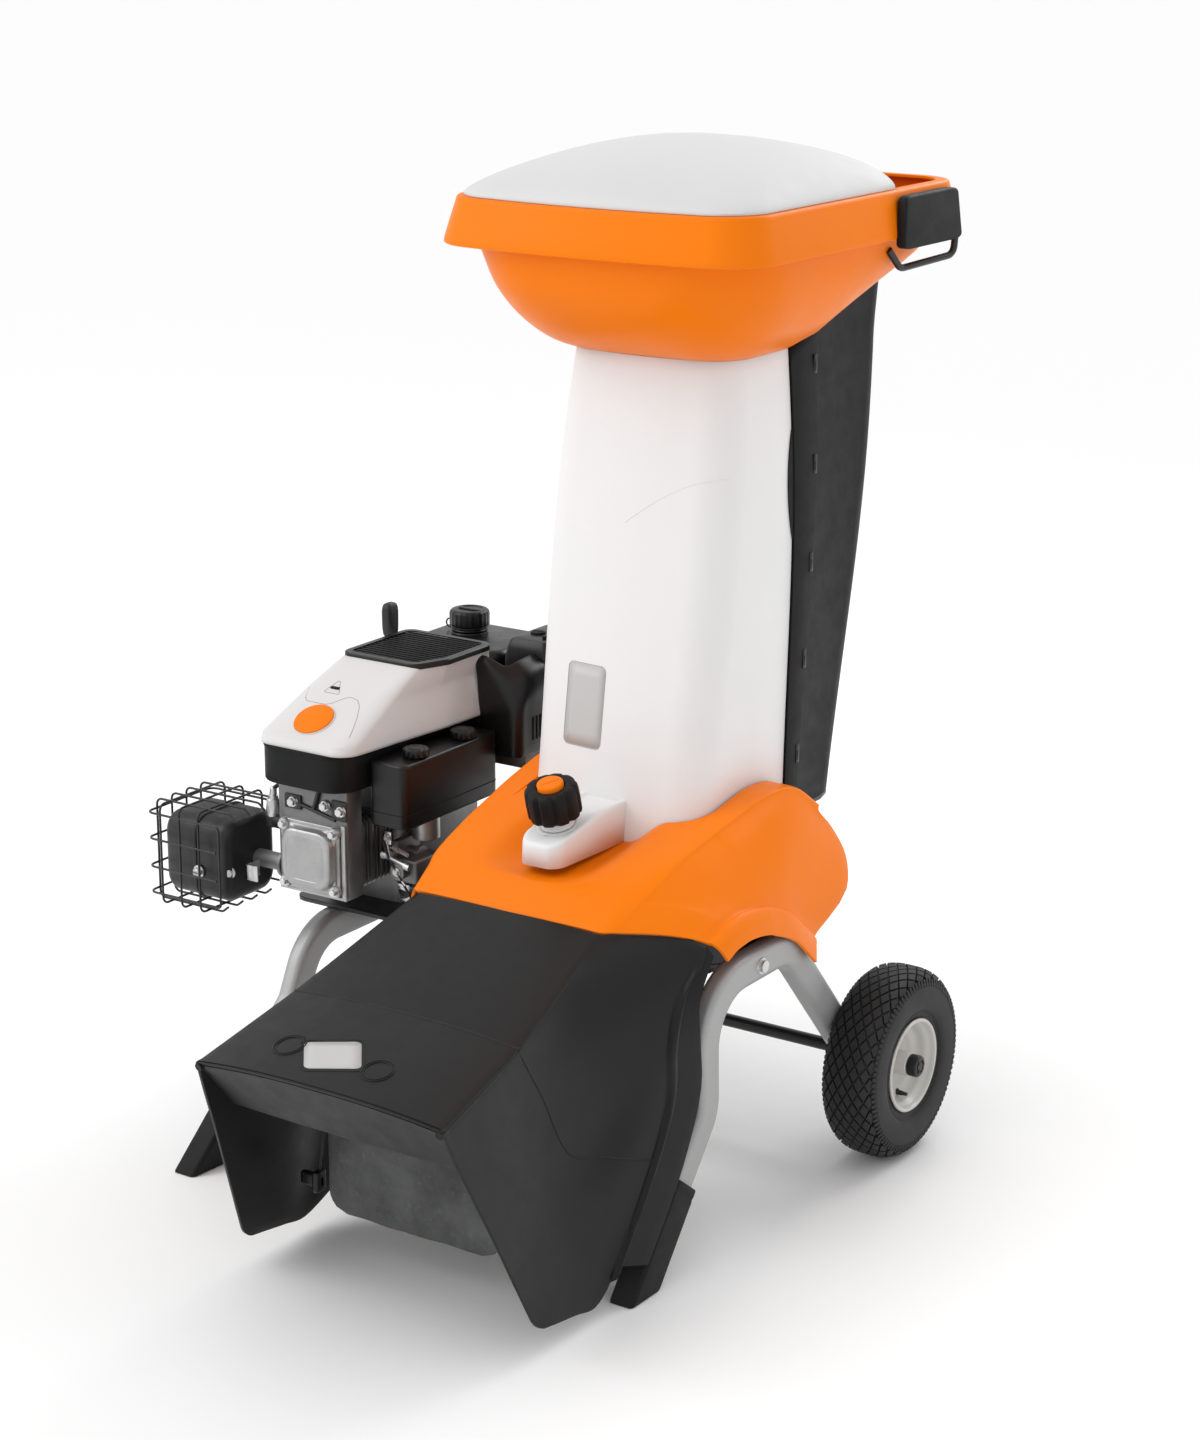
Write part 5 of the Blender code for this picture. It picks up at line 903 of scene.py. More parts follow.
def rim(suffix, side):
    """Dished rim with its welds and valve, and the cap on the axle's end."""
    centre = Vector((side * WHEEL_X, 0, WHEEL_RADIUS))
    body = "wheel_" + suffix
    low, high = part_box("rim_" + suffix)
    inner = -abs((low if side > 0 else high).x - ORIGIN.x - side * WHEEL_X)
    face = [(0.0102, 0.0305), (0.011, 0.031), (0.0158, 0.031), (0.0165, 0.0303), (0.0165, 0.0075),
            (0.0178, 0.0048), (0.021, 0.0036), (0.03, 0.0034), (0.0335, 0.0042), (0.036, 0.0062),
            (0.0385, 0.0098), (0.0412, 0.0118), (0.045, 0.0124), (0.048, 0.0134), (0.05, 0.0158),
            (0.0512, 0.019), (0.0522, 0.0225), (0.054, 0.0258), (0.0562, 0.0282), (0.0578, 0.031),
            (0.0584, 0.0342), (0.0596, 0.0362), (0.0614, 0.037), (0.063, 0.0364), (0.064, 0.035),
            (0.0636, 0.0334), (0.0618, 0.0324), (0.0602, 0.031), (0.0599, 0.029)]
    back = [(r, -h) for r, h in reversed(face[4:])]
    hub = [(0.0165, inner + 0.0008), (0.0158, inner), (0.011, inner), (0.0102, inner + 0.0006)]
    profile = face + back + hub + [face[0]]
    bm = new_turned(profile, centre, (side, 0, 0), 96)
    keep("rim_%s_shell" % suffix, bm, "rim", body, ("rim_" + suffix,), 30.0)
    place = Matrix.Translation(centre) @ turning((side, 0, 0))
    bm = bmesh.new()
    for i in range(4):
        turn = math.radians(45 + 90 * i)
        at = place @ Vector((0.0275 * math.cos(turn), 0.0275 * math.sin(turn), 0.0034))
        turned(bm, [(0.0, 0.0012), (0.0016, 0.0011), (0.0028, 0.0004), (0.003, 0.0)], at,
               (side, 0, 0), 20)
    bmesh.ops.recalc_face_normals(bm, faces=bm.faces)
    keep("rim_%s_welds" % suffix, bm, "rim", body)
    stem = [(0.0, 0.016), (0.0018, 0.0158), (0.0024, 0.0148), (0.0024, 0.01), (0.0032, 0.0092),
            (0.0034, 0.003), (0.0048, 0.0014), (0.005, 0.0)]
    at = place @ Vector((0.044, 0.0, 0.0112))
    keep("rim_%s_valve" % suffix, new_turned(stem, at, (side, 0, 0), 24), "rubber", body)
    start = 0.0316
    cap = [(0.0, 0.0141), (0.006, 0.014), (0.0064, 0.0128), (0.0092, 0.0126), (0.0098, 0.0138),
           (0.0124, 0.0138), (0.014, 0.013), (0.0149, 0.0112), (0.015, 0.0012), (0.0144, 0.0004),
           (0.0094, 0.0004)]
    keep("wheel_cap_" + suffix, new_turned([(r, h + start) for r, h in cap], centre, (side, 0, 0),
                                           48),
         "satin", "frame", ("axle_cap_" + suffix,))

    def ribs(bm):
        for i in range(3):
            turn = math.radians(90 + 120 * i)
            a = place @ Vector((0.0035 * math.cos(turn), 0.0035 * math.sin(turn), start + 0.0136))
            b = place @ Vector((0.0122 * math.cos(turn), 0.0122 * math.sin(turn), start + 0.0136))
            rod(bm, a, b, 0.0009, 10)
    shapes("wheel_cap_%s_ribs" % suffix, "satin", "frame", ribs)


class SHREDDER_OT_wheels(bpy.types.Operator):
    """Tyres with their tread, dished rims and push-on caps"""
    bl_idname = "shredder.wheels"
    bl_label = "Wheels"

    def execute(self, context):
        for suffix, side in SIDES:
            tyre(suffix, side)
            rim(suffix, side)
        return {"FINISHED"}


# Frame

AXLE_RADIUS = 0.009
KNEE = Vector((0.327, -0.406, 0.193))
TUBE = (0.028, 0.044, 0.01)
FEET = {1: Vector((0.324, -0.555, 0.0)), -1: Vector((-0.362, -0.565, 0.0))}
ARCHES = {1: (-0.413, -0.219, 0.352, 0.306), -1: (-0.362, -0.148, 0.278, 0.286)}


def leg_path(side):
    """The middle line of a frame tube from its foot to the axle."""
    knee = Vector((side * KNEE.x, KNEE.y, KNEE.z))
    front, rear, top, end_x = ARCHES[side]
    start = FEET[side].lerp(knee, 0.028 / KNEE.z)
    last = Vector((side * 0.329, rear, top))
    axle = Vector((side * end_x, 0, WHEEL_RADIUS))
    end = axle + (axle - last).normalized() * TUBE[1] / 2
    corners = [start, knee, Vector((side * 0.329, front, top)), last, end]
    path = [corners[0]]
    for before, corner, after, radius in zip(corners, corners[1:], corners[2:], (0.05, 0.08, 0.08)):
        path += rounded([before, corner, after], radius, 14)[1:-1]
    return path + [end]


def foot(suffix, side):
    """Sleeve with a flat sole on the front end of a tube."""
    sole = FEET[side]
    knee = Vector((side * KNEE.x, KNEE.y, KNEE.z))
    way = (knee - sole).normalized()
    across = (Vector((1, 0, 0)) - way * way.x).normalized()
    up = way.cross(across)
    top = (knee - sole).length * 0.118 / KNEE.z

    def loop_at(far, thick, deep, edge):
        at = sole + way * far
        return [at + across * x + up * y for x, y in section(thick, deep, edge)]

    def on_ground(loop, height):
        return [p + way * ((height - p.z) / way.z) for p in loop]

    wide, deep, edge = TUBE[0] + 0.008, TUBE[1] + 0.008, 0.0062
    loops = [on_ground(loop_at(0, wide - inset, deep - inset, edge - less), height)
             for inset, less, height in ((0.005, 0.002, 0.0004), (0.0015, 0.001, 0.001),
                                         (0.0, 0.0, 0.003))]
    for far, grow in ((0.055, 0.0), (top - 0.016, 0.0), (top - 0.014, -0.0012),
                      (top - 0.012, -0.0012),
                      (top - 0.01, 0.0), (top - 0.0025, 0.0), (top - 0.001, -0.0008),
                      (top, -0.0025)):
        loops.append(loop_at(far, wide + grow, deep + grow, edge + grow / 2))
    loops.append(loop_at(top, TUBE[0] + 0.0004, TUBE[1] + 0.0004, TUBE[2]))
    bm = solid(loops)
    keep("foot_%s_shoe" % suffix, bm, "dark", "frame", ("foot_" + suffix,))


class SHREDDER_OT_frame(bpy.types.Operator):
    """Bent tubes, feet, axle and the bolts that hold them"""
    bl_idname = "shredder.frame"
    bl_label = "Frame"

    def execute(self, context):
        for suffix, side in SIDES:
            loops = carried(leg_path(side), section(*TUBE), (1, 0, 0))
            end = loops[-1]
            middle = sum(end, Vector()) / len(end)
            way = (middle - sum(loops[-2], Vector()) / len(end)).normalized()
            loops[-1] = [p - way * 0.001 for p in end]
            loops.append([middle + (p - middle) * 0.94 for p in end])
            bm = solid(loops)
            keep("frame_tube_%s_coated" % suffix, bm, "tube", "frame",
                 ("frame_tube_" + suffix,))
            foot(suffix, side)
        reach = (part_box("axle")[1].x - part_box("axle")[0].x) / 2
        bar = [(0.0, -reach), (AXLE_RADIUS - 0.001, -reach), (AXLE_RADIUS, -reach + 0.001),
               (AXLE_RADIUS, reach - 0.001), (AXLE_RADIUS - 0.001, reach), (0.0, reach)]
        keep("axle_bar", new_turned(bar, (0, 0, WHEEL_RADIUS), (1, 0, 0), 40), "black_coat",
             "frame", ("axle",))

        def washers(bm):
            for side in (1, -1):
                for a in (ARCHES[side][3] - 0.0145, ARCHES[side][3] + 0.0145):
                    turned(bm, [(AXLE_RADIUS, 0), (0.0135, 0.0), (0.014, 0.0004), (0.014, 0.0012),
                                (0.0135, 0.0016), (AXLE_RADIUS, 0.0016)],
                           (side * (a - 0.0008), 0, WHEEL_RADIUS), (1, 0, 0), 32)
        shapes("axle_washers", "zinc", "frame", washers)
        dressed("frame_bolt_right", "zinc", 0)

        def bolts(bm):
            bolt(bm, (0.3432, -0.297, 0.352), (1, 0, 0), 0.0072, 0.0045)
        shapes("frame_bolt_head", "zinc", "frame", bolts)
        return {"FINISHED"}


# Chamber, rotor and drive


class SHREDDER_OT_chamber(bpy.types.Operator):
    """Shredding chamber, rotor, belt drive and the plate that carries them"""
    bl_idname = "shredder.chamber"
    bl_label = "Chamber and rotor"

    def execute(self, context):
        dressed("chamber", "chamber", 0.0006)
        dressed("engine_plate", "black_coat", 0.0008)
        dressed("belt_cover", "satin", 0)
        dressed("drive_belt", "rubber", 0)
        for node in ("rotor_shaft", "rotor_pulley", "rotor_bearing", "blade_disc", "blade_1",
                     "blade_2", "crankshaft", "engine_pulley"):
            dressed(node, "zinc", 0.0004)
        dressed("flywheel", "iron", 0.0006)
        dressed("hinge_bracket", "casting", 0.0006)
        dressed("hinge_pin", "zinc", 0.0006)
        return {"FINISHED"}


# Engine

SKIRT_LEFT, SKIRT_RIGHT, SKIRT_FRONT, SKIRT_REAR = -0.39, -0.238, -0.4, -0.062
SHROUD_LOW, SHROUD_TOP, SHROUD_RIGHT = 0.548, 0.642, -0.212
GRILLE = (-0.348, -0.219, -0.24, -0.106)
CRANK = Vector((middle_of("crankshaft").x, middle_of("crankshaft").y, 0)) - ORIGIN
BLOCK_TOP = 0.4947
HEAD_FRONT = -0.374
COVER_AT = Vector((-0.311, HEAD_FRONT, 0.394))


def shroud_rows():
    """The fan housing's rings from its lower edge to the grille's seat."""
    left, right = SKIRT_LEFT, SKIRT_RIGHT + 0.003
    far = SHROUD_RIGHT
    low = [(left, SKIRT_FRONT), (right + 0.003, SKIRT_FRONT), (far, -0.2),
           (far + 0.004, SKIRT_REAR), (left, SKIRT_REAR)]
    middle = [(left + 0.001, SKIRT_FRONT + 0.004), (right + 0.002, SKIRT_FRONT + 0.004),
              (far - 0.001, -0.2), (far + 0.003, SKIRT_REAR - 0.001),
              (left + 0.001, SKIRT_REAR - 0.001)]
    upper = [(left + 0.014, -0.312), (right + 0.001, -0.312), (right + 0.012, -0.2),
             (right + 0.014, -0.074), (left + 0.014, -0.074)]
    top = [(GRILLE[0] - 0.008, GRILLE[2] - 0.008), (right + 0.004, GRILLE[2] - 0.008),
           (GRILLE[1] + 0.008, -0.2), (GRILLE[1] + 0.008, GRILLE[3] + 0.008),
           (GRILLE[0] - 0.008, GRILLE[3] + 0.008)]
    hole = [(GRILLE[0], GRILLE[2]), (right - 0.002, GRILLE[2]), (GRILLE[1], -0.196),
            (GRILLE[1], GRILLE[3]), (GRILLE[0], GRILLE[3])]
    rings = [ring_at(low, 0.03, SHROUD_LOW), ring_at(low, 0.03, SHROUD_LOW + 0.004),
             ring_at(middle, 0.03, SHROUD_LOW + 0.012), ring_at(upper, 0.026, SHROUD_LOW + 0.056),
             ring_at(top, 0.016, SHROUD_TOP - 0.003), ring_at(hole, 0.01, SHROUD_TOP),
             ring_at(hole, 0.01, SHROUD_TOP - 0.01)]
    rows = [rings[0], rings[1]]
    rows.append([a.lerp(b, 0.5) for a, b in zip(rings[1], rings[2])])
    for near, far_ring in ((rings[2], rings[3]), (rings[3], rings[4])):
        for share in (0.0, 0.12, 0.5, 0.88):
            rows.append([a.lerp(b, share) for a, b in zip(near, far_ring)])
    rows.append(rings[4])
    rows.append([a.lerp(b, 0.12) for a, b in zip(rings[4], rings[5])])
    rows += [rings[5], rings[6]]
    rows[7] = [a.lerp(b, 0.5).lerp(c, 0.5) for a, b, c in zip(rows[6], rows[8], rings[3])]
    return rows, top, hole


def shroud_line(piece, points, name, closed=False):
    """A moulded joint line on the front of the fan housing, given in (x, z)."""
    path = on_surface(piece, [Vector((x, -0.35, z)) for x, z in points], (0, 1, -0.25), 0.0)
    wires(name, [path], 0.00045, "plate_line", "frame", (), closed, 2)


def cowl():
    """Light fan housing, its grille, badge and joint lines."""
    rows, top, hole = shroud_rows()
    bm = sheet_of(rows, True, (CRANK.x, CRANK.y, SHROUD_LOW + 0.02))
    shell = keep("fan_housing", bm, "engine_light", "frame", ("engine_shroud",),
                 30.0)
    wall(shell, 0.003)
    eye = [(0.0045, 0.6), (0.0085, 0.6), (0.009, 0.601), (0.009, 0.6255), (0.0084, 0.6265),
           (0.005, 0.6265), (0.0045, 0.6258), (0.0045, 0.6)]
    keep("cord_guide", new_turned(eye, (-0.383, -0.105, 0), (0, 0, 1), 40), "satin", "frame")
    cap = [(x + math.copysign(0.0015, x - CRANK.x), y + math.copysign(0.0015, y + 0.17))
           for x, y in top]
    z = SHROUD_TOP
    rows = [ring_at(cap, 0.016, z - 0.0065), ring_at(cap, 0.0165, z - 0.0055),
            ring_at(cap, 0.0165, z - 0.0002)]
    inset = [(x - math.copysign(0.0012, x - CRANK.x), y - math.copysign(0.0012, y + 0.17))
             for x, y in cap]
    rows.append(ring_at(inset, 0.0155, z + 0.0012))
    rows.append(ring_at(hole, 0.01, z + 0.0014))
    rows.append(ring_at(hole, 0.01, z - 0.006))
    rows.append([Vector((lerp(p.x, q.x, 0.02), lerp(p.y, q.y, 0.02), z - 0.0064))
                 for p, q in zip(ring_at(hole, 0.01, 0), rows[0])])
    bm = solid(rows)
    keep("grille_frame", bm, "satin", "frame", ("starter_grille",))

    def bars(bm):
        count = 15
        for i in range(count):
            y = lerp(GRILLE[2] + 0.005, GRILLE[3] - 0.005, i / (count - 1))
            right = GRILLE[1] - 0.002 - max(0.0, (-0.2 - y) * 0.33)
            block(bm, (GRILLE[0] + 0.002, y - 0.0019, z - 0.0052), (right, y + 0.0019, z + 0.0008),
                  0.0007, 2)
        for x in (-0.306, -0.262):
            block(bm, (x - 0.0016, GRILLE[2] + 0.002, z - 0.006), (x + 0.0016, GRILLE[3] - 0.002,
                                                                   z - 0.002))
    shapes("grille_bars", "dark", "frame", bars)
    low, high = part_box("badge_disc")
    at = (low + high) / 2 - ORIGIN
    rise, run = 0.044, 0.084
    normal = Vector((0, -rise, run)).normalized()
    seat = at - normal * 0.00225
    disc = [(0.0, 0.0042), (0.0262, 0.0042), (0.0274, 0.0038), (0.028, 0.003), (0.028, 0.0002),
            (0.0, 0.0002)]
    keep("badge_plate", new_turned(disc, seat, normal, 72), "orange", "frame",
         ("badge_disc",))
    ring = [(0.0283, 0.0), (0.0283, 0.0021), (0.0289, 0.0023), (0.0294, 0.002), (0.0296, 0.0002),
            (0.0283, 0.0)]
    keep("badge_seat", new_turned(ring, seat, normal, 72), "engine_light", "frame")
    shroud_line(shell,
                [(-0.3655, 0.615), (-0.356, 0.602), (-0.35, 0.5985), (-0.318, 0.5985),
                 (-0.311, 0.601), (-0.296, 0.611), (-0.288, 0.613), (-0.276, 0.611),
                 (-0.266, 0.604), (-0.256, 0.59), (-0.25, 0.578), (-0.245, 0.564)],
                "fan_housing_joint")

    # Painted shade: a dark block stands in for the shade inside the slot below the notch; no slot
    # is cut into the housing.
    def slot_shade(bm):
        block(bm, (-0.331, -0.3052, 0.604), (-0.316, -0.299, 0.6105), 0.0015, 3)
    shapes("fan_housing_slot_shade", "dark", "frame", slot_shade)
    shroud_line(shell, [(-0.336, 0.615), (-0.327, 0.63), (-0.324, 0.63), (-0.3115, 0.615),
                        (-0.313, 0.6135), (-0.3345, 0.6135)], "fan_housing_notch", True)


def skirt():
    """Dark tray below the fan housing, its rear wing and its lip."""
    z0, z1 = BLOCK_TOP + 0.0003, SHROUD_LOW - 0.0003

    def drawn(inset, radius, z):
        return ring_at(box_plan(SKIRT_LEFT + inset, SKIRT_RIGHT - inset, SKIRT_FRONT + inset,
                                SKIRT_REAR - inset), radius, z)
    rows = [drawn(0.0024, 0.038, z0), drawn(0.0008, 0.04, z0 + 0.0007),
            drawn(0.0, 0.04, z0 + 0.0024),
            drawn(0.0, 0.04, z1 - 0.0012), drawn(0.0006, 0.04, z1), drawn(0.0028, 0.0375, z1),
            drawn(0.003, 0.037, z1 - 0.001), drawn(0.003, 0.037, z0 + 0.003)]
    hole = []
    for p in rows[-1]:
        way = Vector((p.x - CRANK.x, p.y - CRANK.y)).normalized()
        hole.append(CRANK + Vector((way.x, way.y, 0)) * 0.028)
    rows += [[Vector((p.x, p.y, z)) for p in hole] for z in (z0 + 0.003, z0)]
    rows.append(rows[0])
    bm = bmesh.new()
    risen(bm, rows)
    bmesh.ops.remove_doubles(bm, verts=bm.verts, dist=1e-6)
    bmesh.ops.recalc_face_normals(bm, faces=bm.faces)
    keep("engine_tray", bm, "dark", "frame", ("engine_skirt",))
    lip = [p + Vector((0, 0, 0.0002)) for p in drawn(-0.0004, 0.04, z1 - 0.0045)]
    wires("engine_tray_lip", [lip], 0.0007, "dark", "frame", (), True, 3)
    wing = [[(-0.3905, -0.15, 0.5485), (-0.3905, -0.14, 0.574), (-0.388, -0.128, 0.592),
             (-0.384, -0.112, 0.602)],
            [(-0.3925, -0.11, 0.5485), (-0.3925, -0.106, 0.578), (-0.39, -0.104, 0.598),
             (-0.386, -0.098, 0.61)],
            [(-0.3925, -0.064, 0.5485), (-0.3925, -0.064, 0.578), (-0.39, -0.066, 0.6),
             (-0.386, -0.07, 0.612)]]
    bm = sheet_of(net(wing, 5, 6), False, (-0.3, -0.1, 0.56))
    piece = keep("engine_tray_wing", bm, "dark", "frame")
    wall(piece, 0.0022)
    soften(piece, 0.0005)


def square_loop(half_x, half_z, corner, y, at, steps=8):
    """A rounded rectangle that faces front."""
    return [Vector((at.x + x, y, at.z + z)) for x, z in plan(-half_x, half_x, -half_z, half_z,
                                                             corner, steps)]


def valve_gear():
    """Cylinder head plate, valve cover with its bolts, head bolts, governor bracket and fins."""
    at = COVER_AT
    y = HEAD_FRONT
    rows = [square_loop(half, half - 0.002, corner, y - proud, at)
            for half, corner, proud in (
                (0.05, 0.012, 0.0003), (0.05, 0.012, 0.0052), (0.0492, 0.0115, 0.006),
                (0.0452, 0.01, 0.0062), (0.0434, 0.0225, 0.009), (0.0424, 0.0225, 0.0145),
                (0.0414, 0.022, 0.0168), (0.0394, 0.0205, 0.0182), (0.037, 0.019, 0.0186),
                (0.0322, 0.015, 0.0186), (0.0314, 0.0145, 0.0181))]
    bm = solid(rows)
    keep("valve_cover_cast", bm, "casting", "frame", ("valve_cover",), 30.0)

    corners = [(at.x + sx * 0.0425, at.z + sz * 0.0405) for sx in (-1, 1) for sz in (-1, 1)]
    front = (0, -1, 0)

    def bosses(bm):
        for x, z in corners:
            turned(bm, [(0.0, 0.0), (0.0084, 0.0), (0.0084, 0.0085), (0.0078, 0.0095),
                        (0.0, 0.0095)], (x, y - 0.0004, z), front, 32)
    shapes("valve_cover_bosses", "casting", "frame", bosses)

    def bolts(bm):
        for x, z in corners:
            bolt(bm, (x, y - 0.0097, z), front, 0.0052, 0.0045, 1.25)
    shapes("valve_cover_bolts", "zinc", "frame", bolts, (), 25.0)

    def flange(bm):
        block(bm, (at.x + 0.0508, y - 0.004, 0.344), (at.x + 0.058, y + 0.0002, 0.446), 0.0012, 3)
        block(bm, (at.x - 0.056, y - 0.003, 0.3405), (at.x + 0.0575, y + 0.0002, 0.345), 0.001, 3)
    shapes("head_gasket_plate", "casting", "frame", flange)

    def top_bolts(bm):
        for x, z in ((-0.34, 0.4665), (-0.285, 0.47), (-0.2585, 0.4665)):
            turned(bm, [(0.0, 0.0), (0.0078, 0.0), (0.0078, 0.004), (0.007, 0.005), (0.0, 0.005)],
                   (x, y + 0.0003, z), front, 32)
            bolt(bm, (x, y - 0.0048, z), front, 0.0058, 0.0046, 1.25)
    shapes("head_bolts", "zinc", "frame", top_bolts, (), 25.0)

    def straps(bm):
        block(bm, (-0.356, y - 0.003, 0.456), (-0.328, y + 0.0002, 0.476), 0.0015, 3)
        rod(bm, (-0.328, y - 0.0015, 0.464), (-0.27, y - 0.0015, 0.452), 0.0028, 16)
        rod(bm, (-0.305, y - 0.003, 0.463), (-0.296, y - 0.003, 0.489), 0.003, 16)
        block(bm, (-0.276, y - 0.0028, 0.452), (-0.25, y + 0.0002, 0.48), 0.0015, 3)
    shapes("governor_bracket", "black_coat", "frame", straps)

    def fins(bm):
        for i in range(7):
            start = -0.27 - i * 0.01
            near, far = [[bm.verts.new(p) for p in square_loop(0.0515, 0.049, 0.01, y, at, 4)]
                         for y in (start, start - 0.0022)]
            bridge(bm, near, far)
            bm.faces.new(near)
            bm.faces.new(list(reversed(far)))
    shapes("cylinder_fins", "block", "frame", fins)


def carburettor():
    """Intake, throttle body, float bowl, levers, springs and links."""
    def body(bm):
        turned(bm, drum(0.0188, 0.035), (-0.206, -0.262, 0.4095), (0, 0, 1), 48)
        turned(bm, [(0.0, 0.0), (0.0105, 0.0), (0.0115, 0.0012), (0.0115, 0.024), (0.014, 0.025),
                    (0.014, 0.03), (0.0, 0.03)], (-0.239, -0.268, 0.384), (1, 0, 0), 40)
    shapes("carburettor_intake", "casting", "frame", body, ("carburettor",))

    def bowl(bm):
        turned(bm, [(0.0, 0.322), (0.004, 0.3222), (0.0046, 0.325), (0.0135, 0.3262),
                    (0.0165, 0.3285),
                    (0.018, 0.332), (0.0185, 0.35), (0.02, 0.351), (0.02, 0.3545), (0.0, 0.355)],
               (-0.21, -0.29, 0), (0, 0, 1), 48)
    shapes("float_bowl", "bright", "frame", bowl)

    def throat(bm):
        block(bm, (-0.23, -0.308, 0.3555), (-0.188, -0.25, 0.39), 0.004, 4)
        block(bm, (-0.2395, -0.295, 0.362), (-0.229, -0.245, 0.408), 0.0025, 3)
        turned(bm, drum(0.0118, 0.015), (-0.21, -0.308, 0.376), (0, -1, 0), 40)
        turned(bm, [(0.0, 0.0), (0.007, 0.0), (0.007, 0.01), (0.006, 0.011), (0.0, 0.011)],
               (-0.226, -0.309, 0.396), (0, -1, 0), 30)
    shapes("throttle_body", "iron", "frame", throat)

    def links(bm):
        rod(bm, (-0.236, -0.32, 0.396), (-0.19, -0.323, 0.387), 0.0032, 20)
        rod(bm, (-0.236, -0.32, 0.396), (-0.228, -0.319, 0.3955), 0.0058, 20)
        rod(bm, (-0.196, -0.323, 0.388), (-0.187, -0.3235, 0.3863), 0.0054, 20)
        rod(bm, (-0.228, -0.324, 0.426), (-0.217, -0.32, 0.375), 0.0013, 12)
        rod(bm, (-0.217, -0.32, 0.375), (-0.195, -0.324, 0.36), 0.0013, 12)
        rod(bm, (-0.233, -0.318, 0.41), (-0.205, -0.324, 0.405), 0.0011, 12)
        block(bm, (-0.23, -0.3225, 0.412), (-0.219, -0.32, 0.43), 0.0009, 2)
        bolt(bm, (-0.2245, -0.3228, 0.4215), (0, -1, 0), 0.0036, 0.003)
        bolt(bm, (-0.21, -0.3232, 0.376), (0, -1, 0), 0.0042, 0.003)
        bolt(bm, (-0.226, -0.3202, 0.396), (0, -1, 0), 0.0034, 0.0026)
    shapes("carburettor_links", "zinc", "frame", links, (), 30.0)
    spring = []
    for i in range(140):
        turn = i * 2 * math.pi / 12
        t = i / 139
        centre = Vector((-0.22, -0.317, 0.408)).lerp(Vector((-0.193, -0.319, 0.401)), t)
        spring.append(centre + Vector((0.0, math.cos(turn) * 0.0026, math.sin(turn) * 0.0026)))
    wires("governor_spring", [spring], 0.00045, "zinc", "frame", (), False, 2)
    hose = flow([(-0.218, -0.306, 0.344), (-0.205, -0.315, 0.34), (-0.19, -0.31, 0.35),
                 (-0.186, -0.285, 0.358), (-0.188, -0.25, 0.356), (-0.2, -0.22, 0.36)], 8)
    wires("fuel_hose", [hose], 0.0028, "rubber", "frame")
    cable = flow([(-0.236, -0.305, 0.43), (-0.234, -0.32, 0.418), (-0.225, -0.323, 0.398),
                  (-0.205, -0.323, 0.37), (-0.188, -0.315, 0.338), (-0.186, -0.29, 0.33)], 8)
    wires("ignition_lead", [cable], 0.0017, "rubber", "frame")


def air_cleaner():
    """Air filter box with its ribbed knobs."""
    soft_box("air_filter_cover", (-0.235, -0.35, 0.445), (-0.173, -0.14, 0.535), 0.011, 0.0045,
             "satin", "frame", ("air_box",))
    rim_path = [Vector((x, y, 0.466)) for x, y in plan(-0.2351, -0.1729, -0.3501, -0.1399, 0.011,
                                                       8)]
    wires("air_filter_joint", [rim_path], 0.0006, "dark", "frame", (), True, 2)
    for suffix, y in (("front", -0.3), ("rear", -0.195)):
        table = ((0.0, 0.8, 0.0), (0.0003, 0.88, 0.02), (0.002, 0.955, 0.05),
                 (0.009, 0.955, 0.05), (0.0108, 0.93, 0.045), (0.0116, 0.86, 0.02),
                 (0.012, 0.78, 0.0), (0.0112, 0.62, 0.0), (0.011, 0.58, 0.0),
                 (0.0116, 0.54, 0.0), (0.0119, 0.4, 0.0), (0.012, 0.1, 0.0))
        at = Vector((-0.192, y, 0.5353))
        rows = [[at + p for p in ring]
                for ring in ribbed(table, 0.018, 14, 8, lambda wave: max(-0.6, wave))]
        keep("air_filter_knob_" + suffix, solid(rows), "satin",
             "air_knob_" + suffix, ("air_knob_" + suffix,), 40.0)


